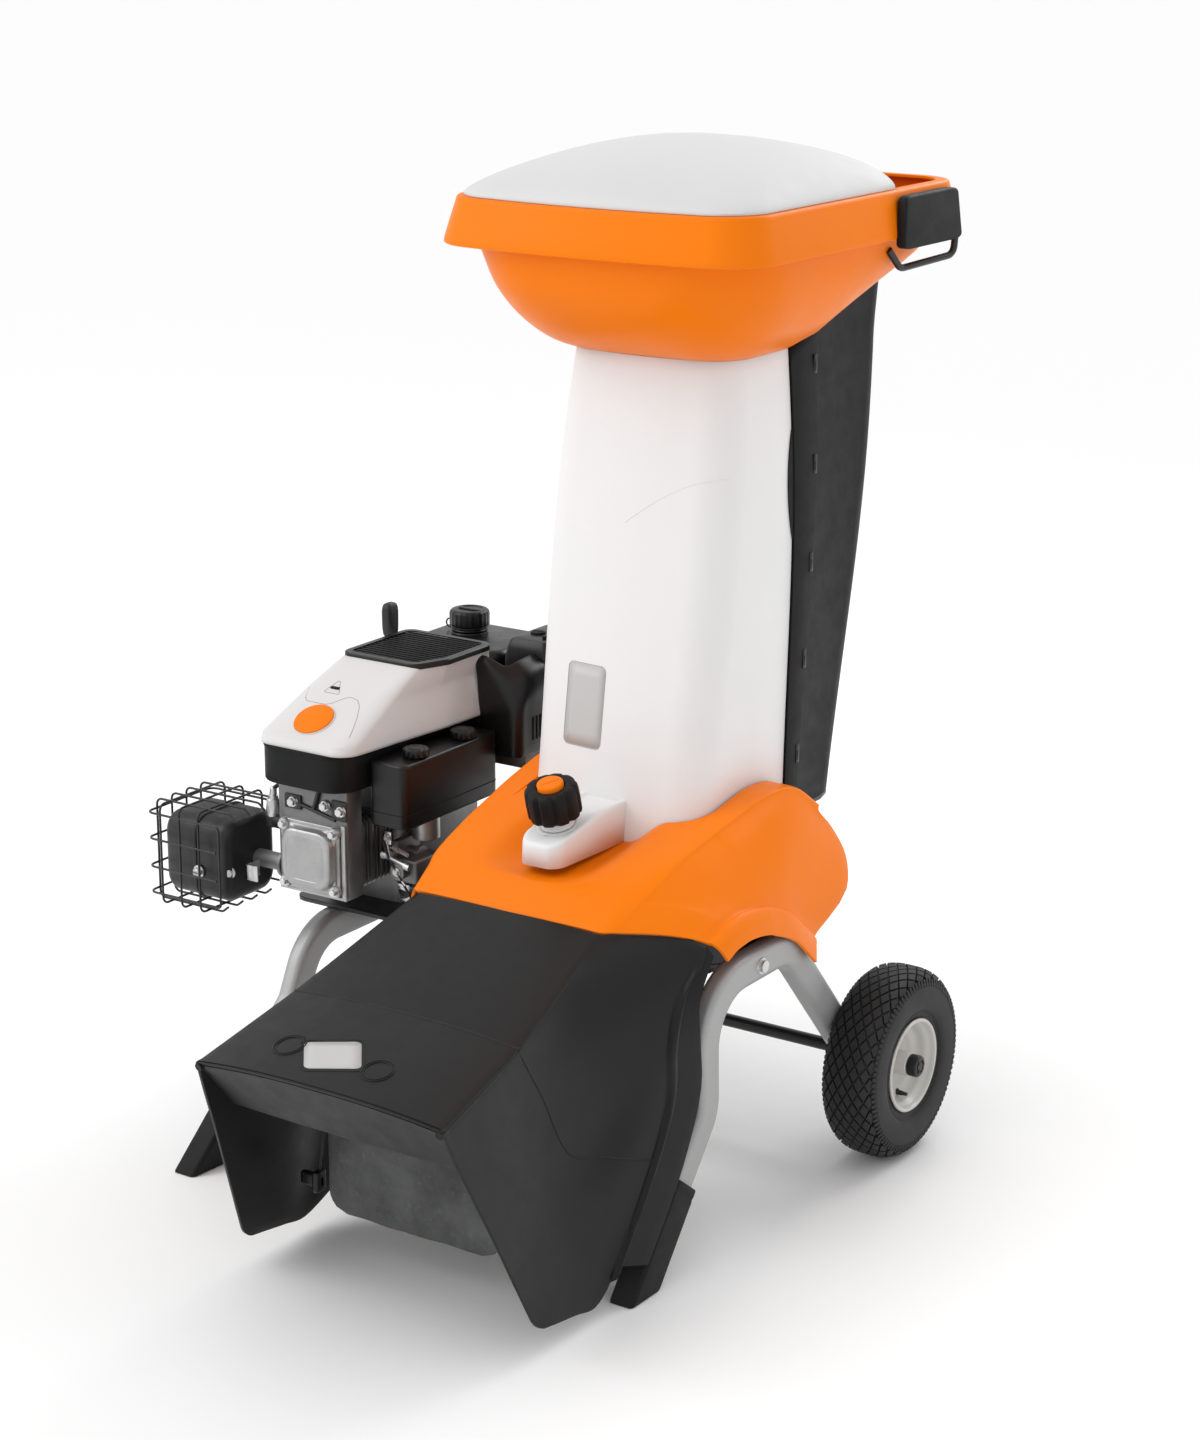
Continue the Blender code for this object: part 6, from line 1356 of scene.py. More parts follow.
def exhaust():
    """Muffler shells, its wire guard, spark plug boot and bolts."""
    left, right, front, rear, low, high = -0.538, -0.422, -0.425, -0.315, 0.312, 0.432
    rows = []

    def ring(inset, x, corner=0.026):
        return [Vector((x, y, z)) for y, z in plan(front + inset, rear - inset, low + inset,
                                                   high - inset, corner - inset * 0.5, 8)]
    steps = 7
    edge = 0.02
    for i in range(steps):
        turn = math.radians(90 * i / steps)
        rows.append(ring(edge * (1 - math.sin(turn)) + 0.0022, left + edge * (1 - math.cos(turn))))
    rows += [ring(0.0022, -0.48), ring(0.0004, -0.479), ring(0.0, -0.478), ring(0.0, -0.4755),
             ring(0.0004, -0.4745), ring(0.0022, -0.4735)]
    for i in range(steps + 1):
        turn = math.radians(90 * i / steps)
        rows.append(ring(0.014 * (1 - math.cos(turn)) + 0.0022,
                         right - 0.014 * (1 - math.sin(turn))))
    bm = solid(rows)
    keep("muffler_shells", bm, "hot_black", "frame", ("muffler",))

    def pipe(bm):
        turned(bm, [(0.0, 0.0), (0.012, 0.0), (0.012, 0.044), (0.0, 0.044)],
               (-0.424, -0.356, 0.367), (1, 0, 0), 36)
        turned(bm, drum(0.019, 0.0055), (-0.376, -0.356, 0.367), (1, 0, 0), 36)
    shapes("exhaust_pipe", "iron", "frame", pipe)

    def bracket(bm):
        block(bm, (-0.406, -0.402, 0.35), (-0.386, -0.399, 0.372), 0.0008, 2)
        block(bm, (-0.406, -0.402, 0.35), (-0.403, -0.376, 0.372), 0.0008, 2)
    shapes("muffler_bracket", "bright", "frame", bracket)

    def bolts(bm):
        bolt(bm, (-0.47, front + 0.0002, 0.356), (0, -1, 0), 0.0062, 0.0048)
        bolt(bm, (-0.427, -0.4115, 0.359), (0.35, -0.94, 0), 0.0058, 0.0048)
    shapes("muffler_bolts", "zinc", "frame", bolts, (), 25.0)
    out = 0.012
    gl, gr = left - out, right - 0.016
    gf, gb = front - out, rear + out
    gt, gd = high + out, low - out + 0.002
    paths = []
    for i in range(4):
        y = lerp(gf + 0.022, gb - 0.022, i / 3)
        paths.append(rounded([(gr + 0.03, y, high + 0.0022), (gr + 0.018, y, gt), (gl, y, gt),
                              (gl, y, gd), (gr, y, gd), (gr + 0.01, y, low - 0.002)], 0.009, 6))
    for z in (gt - 0.014, (gt + gd) / 2 + 0.02, (gt + gd) / 2 - 0.02, gd + 0.014):
        paths.append(rounded([(gr + 0.01, gf, z), (gl, gf, z), (gl, gb, z), (gr + 0.01, gb, z)],
                             0.012, 6))
    for share in (0.22, 0.52, 0.82):
        x = lerp(gl, gr, share)
        paths.append(rounded([(x, gb, gd + 0.01), (x, gb, gt), (x, gf, gt), (x, gf, gd),
                              (x, gb - 0.01, gd)], 0.01, 6))
    paths.append(rounded([(gr + 0.01, gf, gt - 0.014), (gr + 0.016, gf, gt - 0.014),
                          (gr + 0.016, gf, gd + 0.014), (gr + 0.01, gf, gd + 0.014)], 0.005, 5))
    wires("muffler_cage", paths, 0.0016, "hot_black", "frame", ("muffler_guard",),
          False, 3)
    boot = Vector((-0.398, -0.352, 0.4235))

    def elbow(bm):
        rod(bm, boot + Vector((0.0275, 0, 0)), boot + Vector((-0.002, 0, 0)), 0.0082, 30)
        turned(bm, [(0.0, -0.009), (0.0075, -0.009), (0.009, -0.007), (0.0092, 0.004),
                    (0.008, 0.007), (0.0, 0.007)], boot, (0, 0, 1), 30)
    shapes("plug_cap", "rubber", "frame", elbow, ("spark_boot",))
    sleeve = [(0.0, 0.006), (0.0094, 0.006), (0.0098, 0.0066), (0.0088, 0.029), (0.0082, 0.03),
              (0.0072, 0.03),
              (0.007, 0.035), (0.0052, 0.0362), (0.0048, 0.045), (0.004, 0.046), (0.0, 0.046)]
    keep("plug_sleeve", new_turned(sleeve, boot, (0.02, 0.04, 1), 36), "bright", "frame")
    lead = flow([boot + Vector((0.002, 0.002, 0.045)), boot + Vector((0.01, 0.012, 0.052)),
                 boot + Vector((0.022, 0.03, 0.054)), boot + Vector((0.03, 0.05, 0.056))], 8)
    wires("plug_lead", [lead], 0.003, "rubber", "frame")


def tank_and_controls():
    """Fuel tank with its cap and tether, control box, rear cowl and starter grip."""
    low = BLOCK_TOP + 0.0003
    soft_box("fuel_tank_shell", (-0.405, -0.052, low), (-0.24, 0.09, 0.612), 0.03, 0.012, "satin",
             "frame", ("fuel_tank",))
    seam = [Vector((x, y, 0.556)) for x, y in plan(-0.4065, -0.2385, -0.0535, 0.0915, 0.031, 10)]
    wires("fuel_tank_seam", [seam], 0.0016, "satin", "frame", (), True, 3)
    at = Vector((-0.345, 0.03, 0))
    z = 0.6123
    neck = [(0.0235, z - 0.0015), (0.026, z - 0.0015), (0.0268, z + 0.0005), (0.026, z + 0.0022),
            (0.0245, z + 0.0028), (0.0235, z + 0.0028)]
    keep("fuel_tank_neck", new_turned(neck + [neck[0]], at, (0, 0, 1), 60), "satin", "frame")
    table = ((0.0, 0.0225, 0.0), (0.003, 0.024, 0.0), (0.004, 0.0262, 0.0),
             (0.0055, 0.0266, 0.0), (0.0066, 0.0258, 0.0), (0.0076, 0.0266, 0.0),
             (0.0088, 0.0266, 0.0), (0.0098, 0.0262, 0.0), (0.0112, 0.028, 0.012),
             (0.013, 0.0284, 0.016), (0.0285, 0.0284, 0.016), (0.0312, 0.0277, 0.012),
             (0.0332, 0.0258, 0.004), (0.034, 0.0232, 0.0), (0.0338, 0.02, 0.0),
             (0.0326, 0.0188, 0.0), (0.0324, 0.01, 0.0), (0.0324, 0.002, 0.0))
    seat = at + Vector((0, 0, z))
    rows = [[seat + p for p in ring]
            for ring in ribbed(table, 1.0, 22, 8, lambda wave: max(-0.5, wave))]
    keep("fuel_cap_ribbed", solid(rows), "satin", "fuel_cap",
         ("fuel_cap",), 40.0)

    def grip(bm):
        block(bm, (at.x - 0.018, at.y - 0.0028, z + 0.0318), (at.x + 0.018, at.y + 0.0028,
                                                              z + 0.0346), 0.0012, 3)
    shapes("fuel_cap_grip", "satin", "fuel_cap", grip)
    loop = [Vector((at.x - 0.0262 - 0.006 * (1 - math.cos(a)), at.y - 0.004,
                    z + 0.0095 + 0.0062 * math.sin(a)))
            for a in [2 * math.pi * i / 28 for i in range(28)]]
    wires("fuel_cap_tether", [loop], 0.0012, "rubber", "fuel_cap", (), True, 3)
    rows = []
    for inset, zz in ((0.003, low), (0.0008, low + 0.0008), (0.0, low + 0.003), (0.0, 0.59),
                      (0.001, 0.5912),
                      (0.001, 0.593), (0.0, 0.5942), (0.0, 0.61), (0.003, 0.626), (0.006, 0.635),
                      (0.0085, 0.6388), (0.012, 0.6398), (0.03, 0.64)):
        ring = plan(-0.226 + inset, -0.15 - inset, -0.056 + inset, 0.052 - inset,
                    max(0.009 - inset * 0.2, 0.004), 7)
        rows.append([(x, y, zz) for x, y in ring])
    keep("control_box_shell", solid(rows), "satin", "frame",
         ("control_box",))

    def switches(bm):
        turned(bm, [(0.0, 0.0), (0.0105, 0.0), (0.011, 0.0006), (0.0105, 0.003), (0.009, 0.0036),
                    (0.0, 0.0036)], (-0.197, -0.01, 0.6396), (0, 0, 1), 40)
        block(bm, (-0.2055, -0.012, 0.6425), (-0.1885, -0.008, 0.644), 0.0006, 2)
        turned(bm, [(0.0, 0.0), (0.006, 0.0), (0.0064, 0.0006), (0.006, 0.004), (0.0, 0.0044)],
               (-0.172, 0.02, 0.6396), (0, 0, 1), 30)
        rod(bm, (-0.172, -0.03, 0.6396), (-0.172, -0.03, 0.644), 0.0035, 20)
    shapes("control_switches", "dark", "frame", switches)
    side = [[(-0.213, -0.131, low + 0.002), (-0.212, -0.131, 0.56), (-0.215, -0.1305, 0.6),
             (-0.218, -0.128, 0.6265), (-0.216, -0.12, 0.631)],
            [(-0.18, -0.1335, low + 0.002), (-0.18, -0.1335, 0.56), (-0.19, -0.132, 0.59),
             (-0.202, -0.128, 0.624), (-0.204, -0.12, 0.63)],
            [(-0.148, -0.131, low + 0.002), (-0.148, -0.131, 0.545), (-0.15, -0.129, 0.572),
             (-0.162, -0.12, 0.598), (-0.18, -0.11, 0.618)],
            [(-0.1455, -0.105, low + 0.002), (-0.1455, -0.105, 0.56), (-0.146, -0.104, 0.586),
             (-0.154, -0.1, 0.606), (-0.174, -0.095, 0.622)],
            [(-0.146, -0.056, low + 0.002), (-0.146, -0.056, 0.57), (-0.146, -0.056, 0.595),
             (-0.153, -0.056, 0.612), (-0.174, -0.056, 0.625)]]
    bm = sheet_of(net(side, 5, 5), False, (-0.2, -0.07, 0.54))
    piece = keep("rear_cowl", bm, "satin", "frame")
    wall(piece, 0.003)
    soften(piece, 0.0006)

    def vents(bm):
        for i in range(5):
            block(bm, (-0.1455, -0.098 + i * 0.0085, 0.515), (-0.1443, -0.094 + i * 0.0085, 0.548),
                  0.0004, 2)
    shapes("rear_cowl_ribs", "dark", "frame", vents)
    rows = []
    for rise, wide, deep in ((0.0, 0.0045, 0.0045), (0.001, 0.0062, 0.0066),
                             (0.006, 0.0086, 0.0092), (0.014, 0.0088, 0.0106),
                             (0.026, 0.0084, 0.0114), (0.038, 0.008, 0.0118),
                             (0.044, 0.0074, 0.0114), (0.048, 0.0064, 0.0098),
                             (0.05, 0.0044, 0.007)):
        ring = plan(-wide, wide, -deep, deep, min(wide, deep) * 0.62, 7)
        rows.append([(-0.383 + x, -0.105 + y, 0.627 + rise) for x, y in ring])
    keep("starter_handle", solid(rows), "rubber", "starter",
         ("starter_grip",))
    finish_node("starter_cord", "rope")


class SHREDDER_OT_engine(bpy.types.Operator):
    """Petrol engine with its shells, muffler, tank and controls"""
    bl_idname = "shredder.engine"
    bl_label = "Engine"

    def execute(self, context):
        dressed("engine_block", "block", 0.0012)
        cowl()
        skirt()
        valve_gear()
        carburettor()
        air_cleaner()
        exhaust()
        tank_and_controls()
        return {"FINISHED"}


# Shells

CHUTE_X = middle_of("rotor_shaft").x - ORIGIN.x
DECK = 0.4683
CHUTE_TOP, CHUTE_REAR_TOP = 1.084, 1.185
CHUTE_CORNER, CHUTE_BULGE = 0.055, 0.007
COVER_GAP = 0.0018
KNOB_AT = Vector((CHUTE_X, -0.392, 0.5195))
KNOB_LEAN = math.radians(16)
KNOB_AXIS = Vector((0, -math.sin(KNOB_LEAN), math.cos(KNOB_LEAN)))
COVER_HALF, COVER_LIP, FENDER = 0.232, 0.1365, 0.02
COVER_ROWS = (
    (-0.498, -0.4045, 0.4365, 0.4345, 0.138, 0.413, -0.39, 0.389),
    (-0.45, -0.372, 0.469, 0.458, 0.146, 0.4245, -0.368, 0.397),
    (-0.444, -0.355, 0.471, 0.461, 0.148, 0.428, -0.352, 0.399),
    (-0.432, -0.337, 0.4745, 0.467, 0.15, 0.43, -0.34, 0.4),
    (-0.37, -0.305, 0.492, 0.49, 0.152, 0.427, -0.31, 0.397),
    (-0.2965, -0.27, 0.508, 0.508, 0.157, 0.42, -0.28, 0.39),
    (-0.289, -0.266, 0.5095, 0.51, 0.158, 0.4185, -0.277, 0.388),
    (-0.23, -0.235, 0.52, 0.522, 0.162, 0.407, -0.25, 0.377),
    (-0.16, -0.205, 0.53, 0.532, 0.166, 0.391, -0.222, 0.362),
    (-0.1, -0.175, 0.522, 0.524, 0.17, 0.366, -0.197, 0.341),
    (-0.05, -0.148, 0.488, 0.49, 0.18, 0.341, -0.174, 0.32),
)


def cover_outside(row, side):
    """The points of a housing row from the lip to its outer edge."""
    inner, outer, crown, ridge, half, edge, lip_y, lip_z = row
    slope = (outer - inner) / (COVER_HALF - half) if side > 0 else 0.0
    line = [(COVER_LIP, inner, lerp(crown, ridge, 0.7)),
            (half + 0.006, inner + slope * 0.006, ridge + 0.0004)]
    if side < 0:
        line.append((half + 0.01, inner + 0.004, ridge))
        return line + [(half + reach, inner + 0.006, ridge - drop)
                       for reach, drop in ((0.016, 0.006), (0.02, 0.03), (0.024, 0.07))]
    for step, sag in ((0.0, 0.0), (0.03, 0.006), (0.35, 0.16), (0.65, 0.2), (0.88, 0.1)):
        x = lerp(half + 0.01, COVER_HALF, step)
        line.append((x, inner + slope * (x - half), lerp(ridge, edge, step) + sag * (ridge - edge)))
    if row is COVER_ROWS[-1]:
        line[-3:] = [(0.194, -0.04, 0.455), (0.208, -0.026, 0.415), (0.224, -0.05, 0.378)]
    out = Vector((COVER_HALF, outer, edge))
    lip = Vector((COVER_HALF + FENDER, lip_y, lip_z))
    shelf = out.lerp(lip, 0.5) + Vector((0.0035, -0.0025, 0.005))
    return line + [tuple(out), tuple(out + Vector((0.0035, 0.0, 0.0006))), tuple(shelf), tuple(lip)]


def chute_corner_y(x):
    """Y of the chute's front at a distance from its middle, with a fine gap."""
    half, front = chute_at(0.5)[:2]
    flat = half - CHUTE_CORNER
    if x <= flat:
        return front - CHUTE_BULGE * (1 - (x / flat) ** 2) - COVER_GAP
    reach = CHUTE_CORNER + COVER_GAP
    return front + CHUTE_CORNER - math.sqrt(max(0.0, reach ** 2 - (x - flat) ** 2))


def basin(x, y, z):
    """Height of the valley that the knob's boss stands in."""
    if y < -0.4:
        away = math.hypot(x, y + 0.4) - 0.04
    else:
        away = abs(x) - 0.04
    rise = ease(max(0.0, min(1.0, away / 0.058)))
    floor = 0.4648 + 0.012 * max(0.0, min(1.0, (y + 0.43) / 0.14))
    return min(z, lerp(floor, z, rise))


def housing():
    """The orange housing with its valley, its side walls and its fender."""
    rows = []
    for row in COVER_ROWS[:6]:
        inner, crown, ridge = row[0], row[2], row[3]
        middle = []
        for k in range(-6, 7):
            x = COVER_LIP * k / 7
            middle.append((x, inner - 0.004 * (1 - abs(x) / 0.138),
                           lerp(crown, ridge, 0.7 * (abs(x) / COVER_LIP) ** 2)))
        left = [(-x, y, z) for x, y, z in cover_outside(row, -1)]
        rows.append([Vector(p) for p in list(reversed(left)) + middle + cover_outside(row, 1)])
    fine = net(rows, 4, 5)
    for row in fine:
        for p in row:
            if abs(p.x) < COVER_LIP:
                p.z = basin(p.x, p.y, p.z)
            p.x += CHUTE_X
    bm = bmesh.new()
    risen(bm, fine, False)
    last = [p for p in fine[-1] if abs(p.x - CHUTE_X) < COVER_LIP + 0.0004]
    strip = [last]
    for t in (0.34, 0.67, 1.0):
        line = []
        for p in last:
            x = p.x - CHUTE_X
            y = lerp(p.y, max(p.y, chute_corner_y(abs(x))), t)
            line.append(Vector((p.x, y, p.z + 0.18 * (y - p.y))))
        strip.append(line)
    risen(bm, strip, False)
    for side in (1, -1):
        grid = [[Vector((CHUTE_X + side * x, y, z)) for x, y, z in cover_outside(row, side)]
                for row in COVER_ROWS[4:]]
        walls = net(grid, 4, 5, True, False)
        risen(bm, walls, False)
        top = [line[0] for line in walls]
        risen(bm, [top, [Vector((p.x, p.y, DECK)) for p in top]], False)
    bmesh.ops.remove_doubles(bm, verts=bm.verts, dist=4e-4)
    outward(bm, (CHUTE_X, -0.22, 0.3))
    piece = keep("housing_shell", bm, "orange", "frame", ("housing_cover",), 42.0)
    wall(piece, 0.004)
    soften(piece, 0.001, 3, 48.0)


def tube_front(z):
    """Y of the front of the right tube at a height."""
    foot_y = FEET[1].y
    if z > KNEE.z:
        return lerp(KNEE.y, -0.413, (z - KNEE.z) / (0.352 - KNEE.z)) - TUBE[1] / 2
    lean = math.hypot(KNEE.z, KNEE.y - foot_y) / KNEE.z
    return lerp(foot_y, KNEE.y, z / KNEE.z) - TUBE[1] / 2 * lean


def hood_columns():
    """Coarse columns of the right and left cheeks, and the flange's outer edge."""
    back = 0.0035
    flange, outer = 0.23, 0.242
    right = [
        [(0.18, -0.879, 0.324), (0.187, -0.859, 0.277), (0.194, -0.838, 0.23),
         (0.202, -0.817, 0.182),
         (0.209, -0.797, 0.135), (0.216, -0.777, 0.087), (0.223, -0.757, 0.04)],
        [(0.173, -0.795, 0.344), (0.181, -0.782, 0.291), (0.188, -0.769, 0.24),
         (0.196, -0.757, 0.189),
         (0.204, -0.745, 0.138), (0.214, -0.731, 0.087), (0.224, -0.718, 0.034)],
        [(0.166, -0.711, 0.364), (0.173, -0.7, 0.305), (0.18, -0.688, 0.25), (0.19, -0.682, 0.198),
         (0.202, -0.68, 0.146), (0.213, -0.678, 0.09), (0.224, -0.68, 0.028)],
        [(0.152, -0.604, 0.399), (0.178, -0.59, 0.34), (0.19, -0.587, 0.275),
         (0.198, -0.587, 0.213),
         (0.212, -0.598, 0.16), (0.219, -0.615, 0.1), (0.225, -0.64, 0.022)],
        [(0.138, -0.498 - back, 0.4335), (0.232, -0.405 - back, 0.4095), (flange, -0.446, 0.367),
         (flange, -0.469, 0.305), (flange, -0.471, 0.243), (flange, -0.512, 0.164),
         (flange, -0.594, 0.058)],
    ]
    left = [column[:] for column in right]
    left[3][1:4] = [(0.164, -0.604, 0.34), (0.177, -0.604, 0.275), (0.19, -0.604, 0.213)]
    left[4][1:] = [(0.15, -0.5, 0.37), (0.162, -0.5, 0.31), (0.175, -0.503, 0.25),
                   (0.188, -0.512, 0.19), (0.2, -0.53, 0.13), (0.215, -0.56, 0.06)]
    edge = [(outer, -0.405 - back, 0.399), (outer, tube_front(0.345) - 0.0045, 0.35)]
    edge += [(outer, tube_front(z) - 0.0045, z) for z in (0.3, 0.236, 0.146, 0.046)]
    return right, left, edge


def place_rows(rows, side=1):
    """Rows given from the chute's middle, on one side of the machine."""
    return [[Vector((CHUTE_X + side * x, y, z)) for x, y, z in row] for row in rows]


def between(a, b, t):
    """A column between two columns."""
    return [tuple(lerp(p, q, t) for p, q in zip(u, v)) for u, v in zip(a, b)]


def rounded_tip(grid, radius):
    """Round the lower front corner of a cheek's net."""
    start = grid[0][-1].copy()
    for column in grid:
        away = (column[-1] - start).length
        if away >= radius:
            continue
        rise = radius - math.sqrt(max(0.0, radius ** 2 - (radius - away) ** 2))
        length, first = 0.0, len(column) - 1
        while length < 2.5 * radius:
            length += (column[first] - column[first - 1]).length
            first -= 1
        top = column[first].copy()
        for k in range(first + 1, len(column)):
            column[k] = top.lerp(column[k], (length - rise) / length)


MOULDING = ((0.0, 0.0), (0.003, 0.0034), (0.007, 0.0054), (0.012, 0.006), (0.017, 0.0044),
            (0.0205, 0.001), (0.0225, -0.0012), (0.025, 0.0), (1.0, 0.0))


def moulding(away):
    """How far the cheek's raised border stands out at a distance from its rear edge."""
    for (a, low), (b, high) in zip(MOULDING, MOULDING[1:]):
        if away <= b:
            return lerp(low, high, (away - a) / (b - a))
    return 0.0


def hood():
    """Discharge hood: lid, cheeks, flange, lugs, blank plate and two plain rings."""
    right, left, edge = hood_columns()
    bm = bmesh.new()
    lip = (0.168, -0.826, 0.256)
    for side, columns in ((1, right), (-1, left)):
        ghost = [tuple(2 * a - b for a, b in zip(p, q)) for p, q in zip(columns[0], columns[1])]
        ghost[0] = lip
        fuller = [ghost, columns[0], between(columns[0], columns[1], 0.12),
                  between(columns[0], columns[1], 0.34), *columns[1:4],
                  between(columns[3], columns[4], 0.72), between(columns[3], columns[4], 0.86),
                  columns[4]]
        fine = net(place_rows(fuller, side), 4, 5, True, False)
        rounded_tip(fine, 0.016)
        if side > 0:
            push = Vector((0.93, -0.37, 0.0)).normalized()
            for k in range(len(fine[0])):
                line = [column[k] for column in fine]
                away = 0.0
                fade = ease(max(0.0, min(1.0, (k - 2) / 5)))
                for i in range(len(fine) - 1, 0, -1):
                    fine[i][k] = line[i] + push * moulding(away) * fade
                    away += (line[i] - line[i - 1]).length
        risen(bm, fine, False)
    last = place_rows([right[-1][1:]])[0]
    strip = place_rows([edge])[0]
    risen(bm, net([last, strip], 4, 3), False)
    lid = [(lip, 0.0), (right[0][0], 0.0115), (right[1][0], 0.0115), (right[2][0], 0.01),
           (right[3][0], 0.007), (right[4][0], 0.0045)]
    spine = []
    for near, far in zip(lid, lid[1:]):
        for t in (0.0, 0.03, 0.25, 0.5, 0.75, 0.97):
            spine.append(between((near[0],), (far[0],), t) + [lerp(near[1], far[1], t)])
    spine.append(lid[-1])

    def crowned(middle, crown, sink=0.0):
        half, y, z = middle
        row = []
        for i in range(33):
            share = -1 + i / 16
            swell = 1 - abs(share) ** 2.4
            row.append(Vector((CHUTE_X + half * share, y - 0.004 * swell,
                               z + crown * swell - sink)))
        return row
    risen(bm, [crowned(middle, crown) for middle, crown in spine], False)
    bmesh.ops.remove_doubles(bm, verts=bm.verts, dist=5e-4)
    outward(bm, (CHUTE_X, -0.62, 0.18))
    piece = keep("hood_shell", bm, "hood", "frame", ("discharge_hood",), 46.0)
    soften(piece, 0.0065, 5, 24.0, "ridges")
    wall(piece, 0.004)
    soften(piece, 0.0012, 3, 55.0)
    for suffix, side in SIDES:
        tops = place_rows([[column[0] for column in right]], side)[0]
        for end, points, inset, radius in (("front", tops[:3], 0.0035, 0.0052),
                                           ("rear", tops[2:], 0.0015, 0.003)):
            line = [p - Vector((side * inset, 0, radius)) for p in flow(points, 8)]
            wires("hood_%s_ridge_%s" % (end, suffix), [line], radius, "hood", "frame",
                  (), False, 5)
    wires("hood_lid_crease", [crowned(right[2][0], 0.01, 0.001)], 0.002, "hood", "frame",
          (), False, 5)
    crease = [(-0.712, 0.362), (-0.675, 0.29), (-0.641, 0.211), (-0.583, 0.19),
              (-0.525, 0.17)]
    path = on_surface(piece, flow([(0.6, y, z) for y, z in crease], 8), (-1, 0, 0), -0.0004)
    wires("hood_side_crease", [path], 0.0014, "hood", "frame", (), False, 4)

    def lugs(bm):
        for side in (1, -1):
            x = CHUTE_X + side * 0.132
            block(bm, (min(x, x + side * 0.008), -0.707, 0.322), (max(x, x + side * 0.008), -0.693,
                                                                  0.3625), 0.0015, 3)
    shapes("curtain_lugs", "hood", "frame", lugs)

    def latch(bm):
        block(bm, (-0.072, -0.706, 0.106), (-0.04, -0.696, 0.123), 0.003, 3)
        block(bm, (-0.05, -0.711, 0.101), (-0.04, -0.692, 0.129), 0.003, 3)
        rod(bm, (-0.045, -0.701, 0.12), (-0.0345, -0.696, 0.23), 0.0018, 12)
    shapes("curtain_latch", "satin", "frame", latch)

    def lid_spots(points, lift):
        tree = BVHTree.FromObject(piece, bpy.context.evaluated_depsgraph_get())
        out = []
        for x, y in points:
            at = tree.ray_cast(Vector((x, y, 0.6)) + ORIGIN, Vector((0, 0, -1)))[0]
            out.append(at - ORIGIN + Vector((0, 0, lift)))
        return out
    corners = [(0.064, -0.855), (0.129, -0.83), (0.095, -0.786), (0.029, -0.811)]
    a, b, c, d = [Vector(p) for p in corners]

    def on_plate(outline, scale=1.0):
        shares = [(0.5 + (u - 0.5) * scale, 0.5 + (v - 0.5) * scale) for u, v in outline]
        return [tuple(a.lerp(b, u).lerp(d.lerp(c, u), v)) for u, v in shares]
    outline = plan(0.0, 1.0, 0.0, 1.0, 0.12, 5)
    rings = [lid_spots(on_plate(outline, scale), 0.0006) for scale in (1.0, 0.6, 0.2)]
    bm = bmesh.new()
    bm.faces.new(risen(bm, rings, True))
    outward(bm, (0.08, -0.82, 0.2))
    blank = keep("hood_blank_plate", bm, "plate", "frame")
    wall(blank, 0.0007)
    paths = []
    for x, y in ((0.015, -0.82), (0.149, -0.825)):
        for radius in (0.02, 0.0168):
            ring = [(x + radius * math.cos(t), y + radius * math.sin(t))
                    for t in (2 * math.pi * i / 48 for i in range(48))]
            paths.append(lid_spots(ring, 0.0001))
    wires("hood_rings", paths, 0.0011, "hood", "frame", (), True, 3)
    line = on_plate(plan(-0.06, 1.06, -0.09, 1.09, 0.16, 6))
    wires("hood_plate_frame", [lid_spots(line, 0.0001)], 0.0006, "hood", "frame", (),
          True, 3)


def curtain():
    """Rubber flap on its rod."""
    x0, x1 = CHUTE_X - 0.13, CHUTE_X + 0.13
    y0, z0 = -0.7, 0.334
    drop, corner = 0.254, 0.028
    across, down = 42, 40
    rows = []
    reach = 0.0063
    for k in range(7):
        turn = math.radians(200 - 200 * k / 6)
        rows.append([Vector((lerp(x0, x1, i / across), y0 + reach * math.cos(turn),
                             z0 + reach * math.sin(turn)))
                     for i in range(across + 1)])
    last = rows[-1]
    for k in range(1, down + 1):
        t = k / down
        z = z0 - drop * t
        left = drop * (1 - t)
        pull = corner - math.sqrt(corner ** 2 - max(0.0, corner - left) ** 2)
        row = []
        for i, top in enumerate(last):
            u = i / across
            sway = 0.0011 * math.sin(u * 9.0 + 1.0) * t
            sway += 0.0007 * math.sin(u * 23.0 + 4 * t) * t * t
            y = lerp(top.y, y0 + 0.0005, ease(min(1.0, t * 9)))
            x = lerp(x0 + pull, x1 - pull, u)
            row.append(Vector((x, y + sway, z)))
        rows.append(row)
    bm = bmesh.new()
    risen(bm, rows, False)
    bmesh.ops.recalc_face_normals(bm, faces=bm.faces)
    flap = keep("curtain_flap", bm, "curtain", "curtain", ("curtain",), 60.0)
    wall(flap, 0.0024, 0.0)
    soften(flap, 0.0005, 2, 50.0)
    bar = [(0.0, -0.1455), (0.0034, -0.1455), (0.004, -0.1449), (0.004, 0.1449), (0.0034, 0.1455),
           (0.0, 0.1455)]
    keep("curtain_bar", new_turned(bar, (CHUTE_X, y0, z0), (1, 0, 0), 28), "zinc", "frame",
         ("curtain_rod",))
    return flap


def chute_at(z):
    """Half width, front, rear and seam of the feed chute at a height."""
    t = (z - DECK) / (CHUTE_TOP - DECK)
    swell = 0.0095 * math.sin(math.pi * max(0.0, min(1.0, t)) ** 1.5)
    return (lerp(0.132, 0.125, t) + swell, lerp(-0.292, -0.203, t), lerp(0.092, 0.206, t),
            lerp(-0.064, -0.057, t))


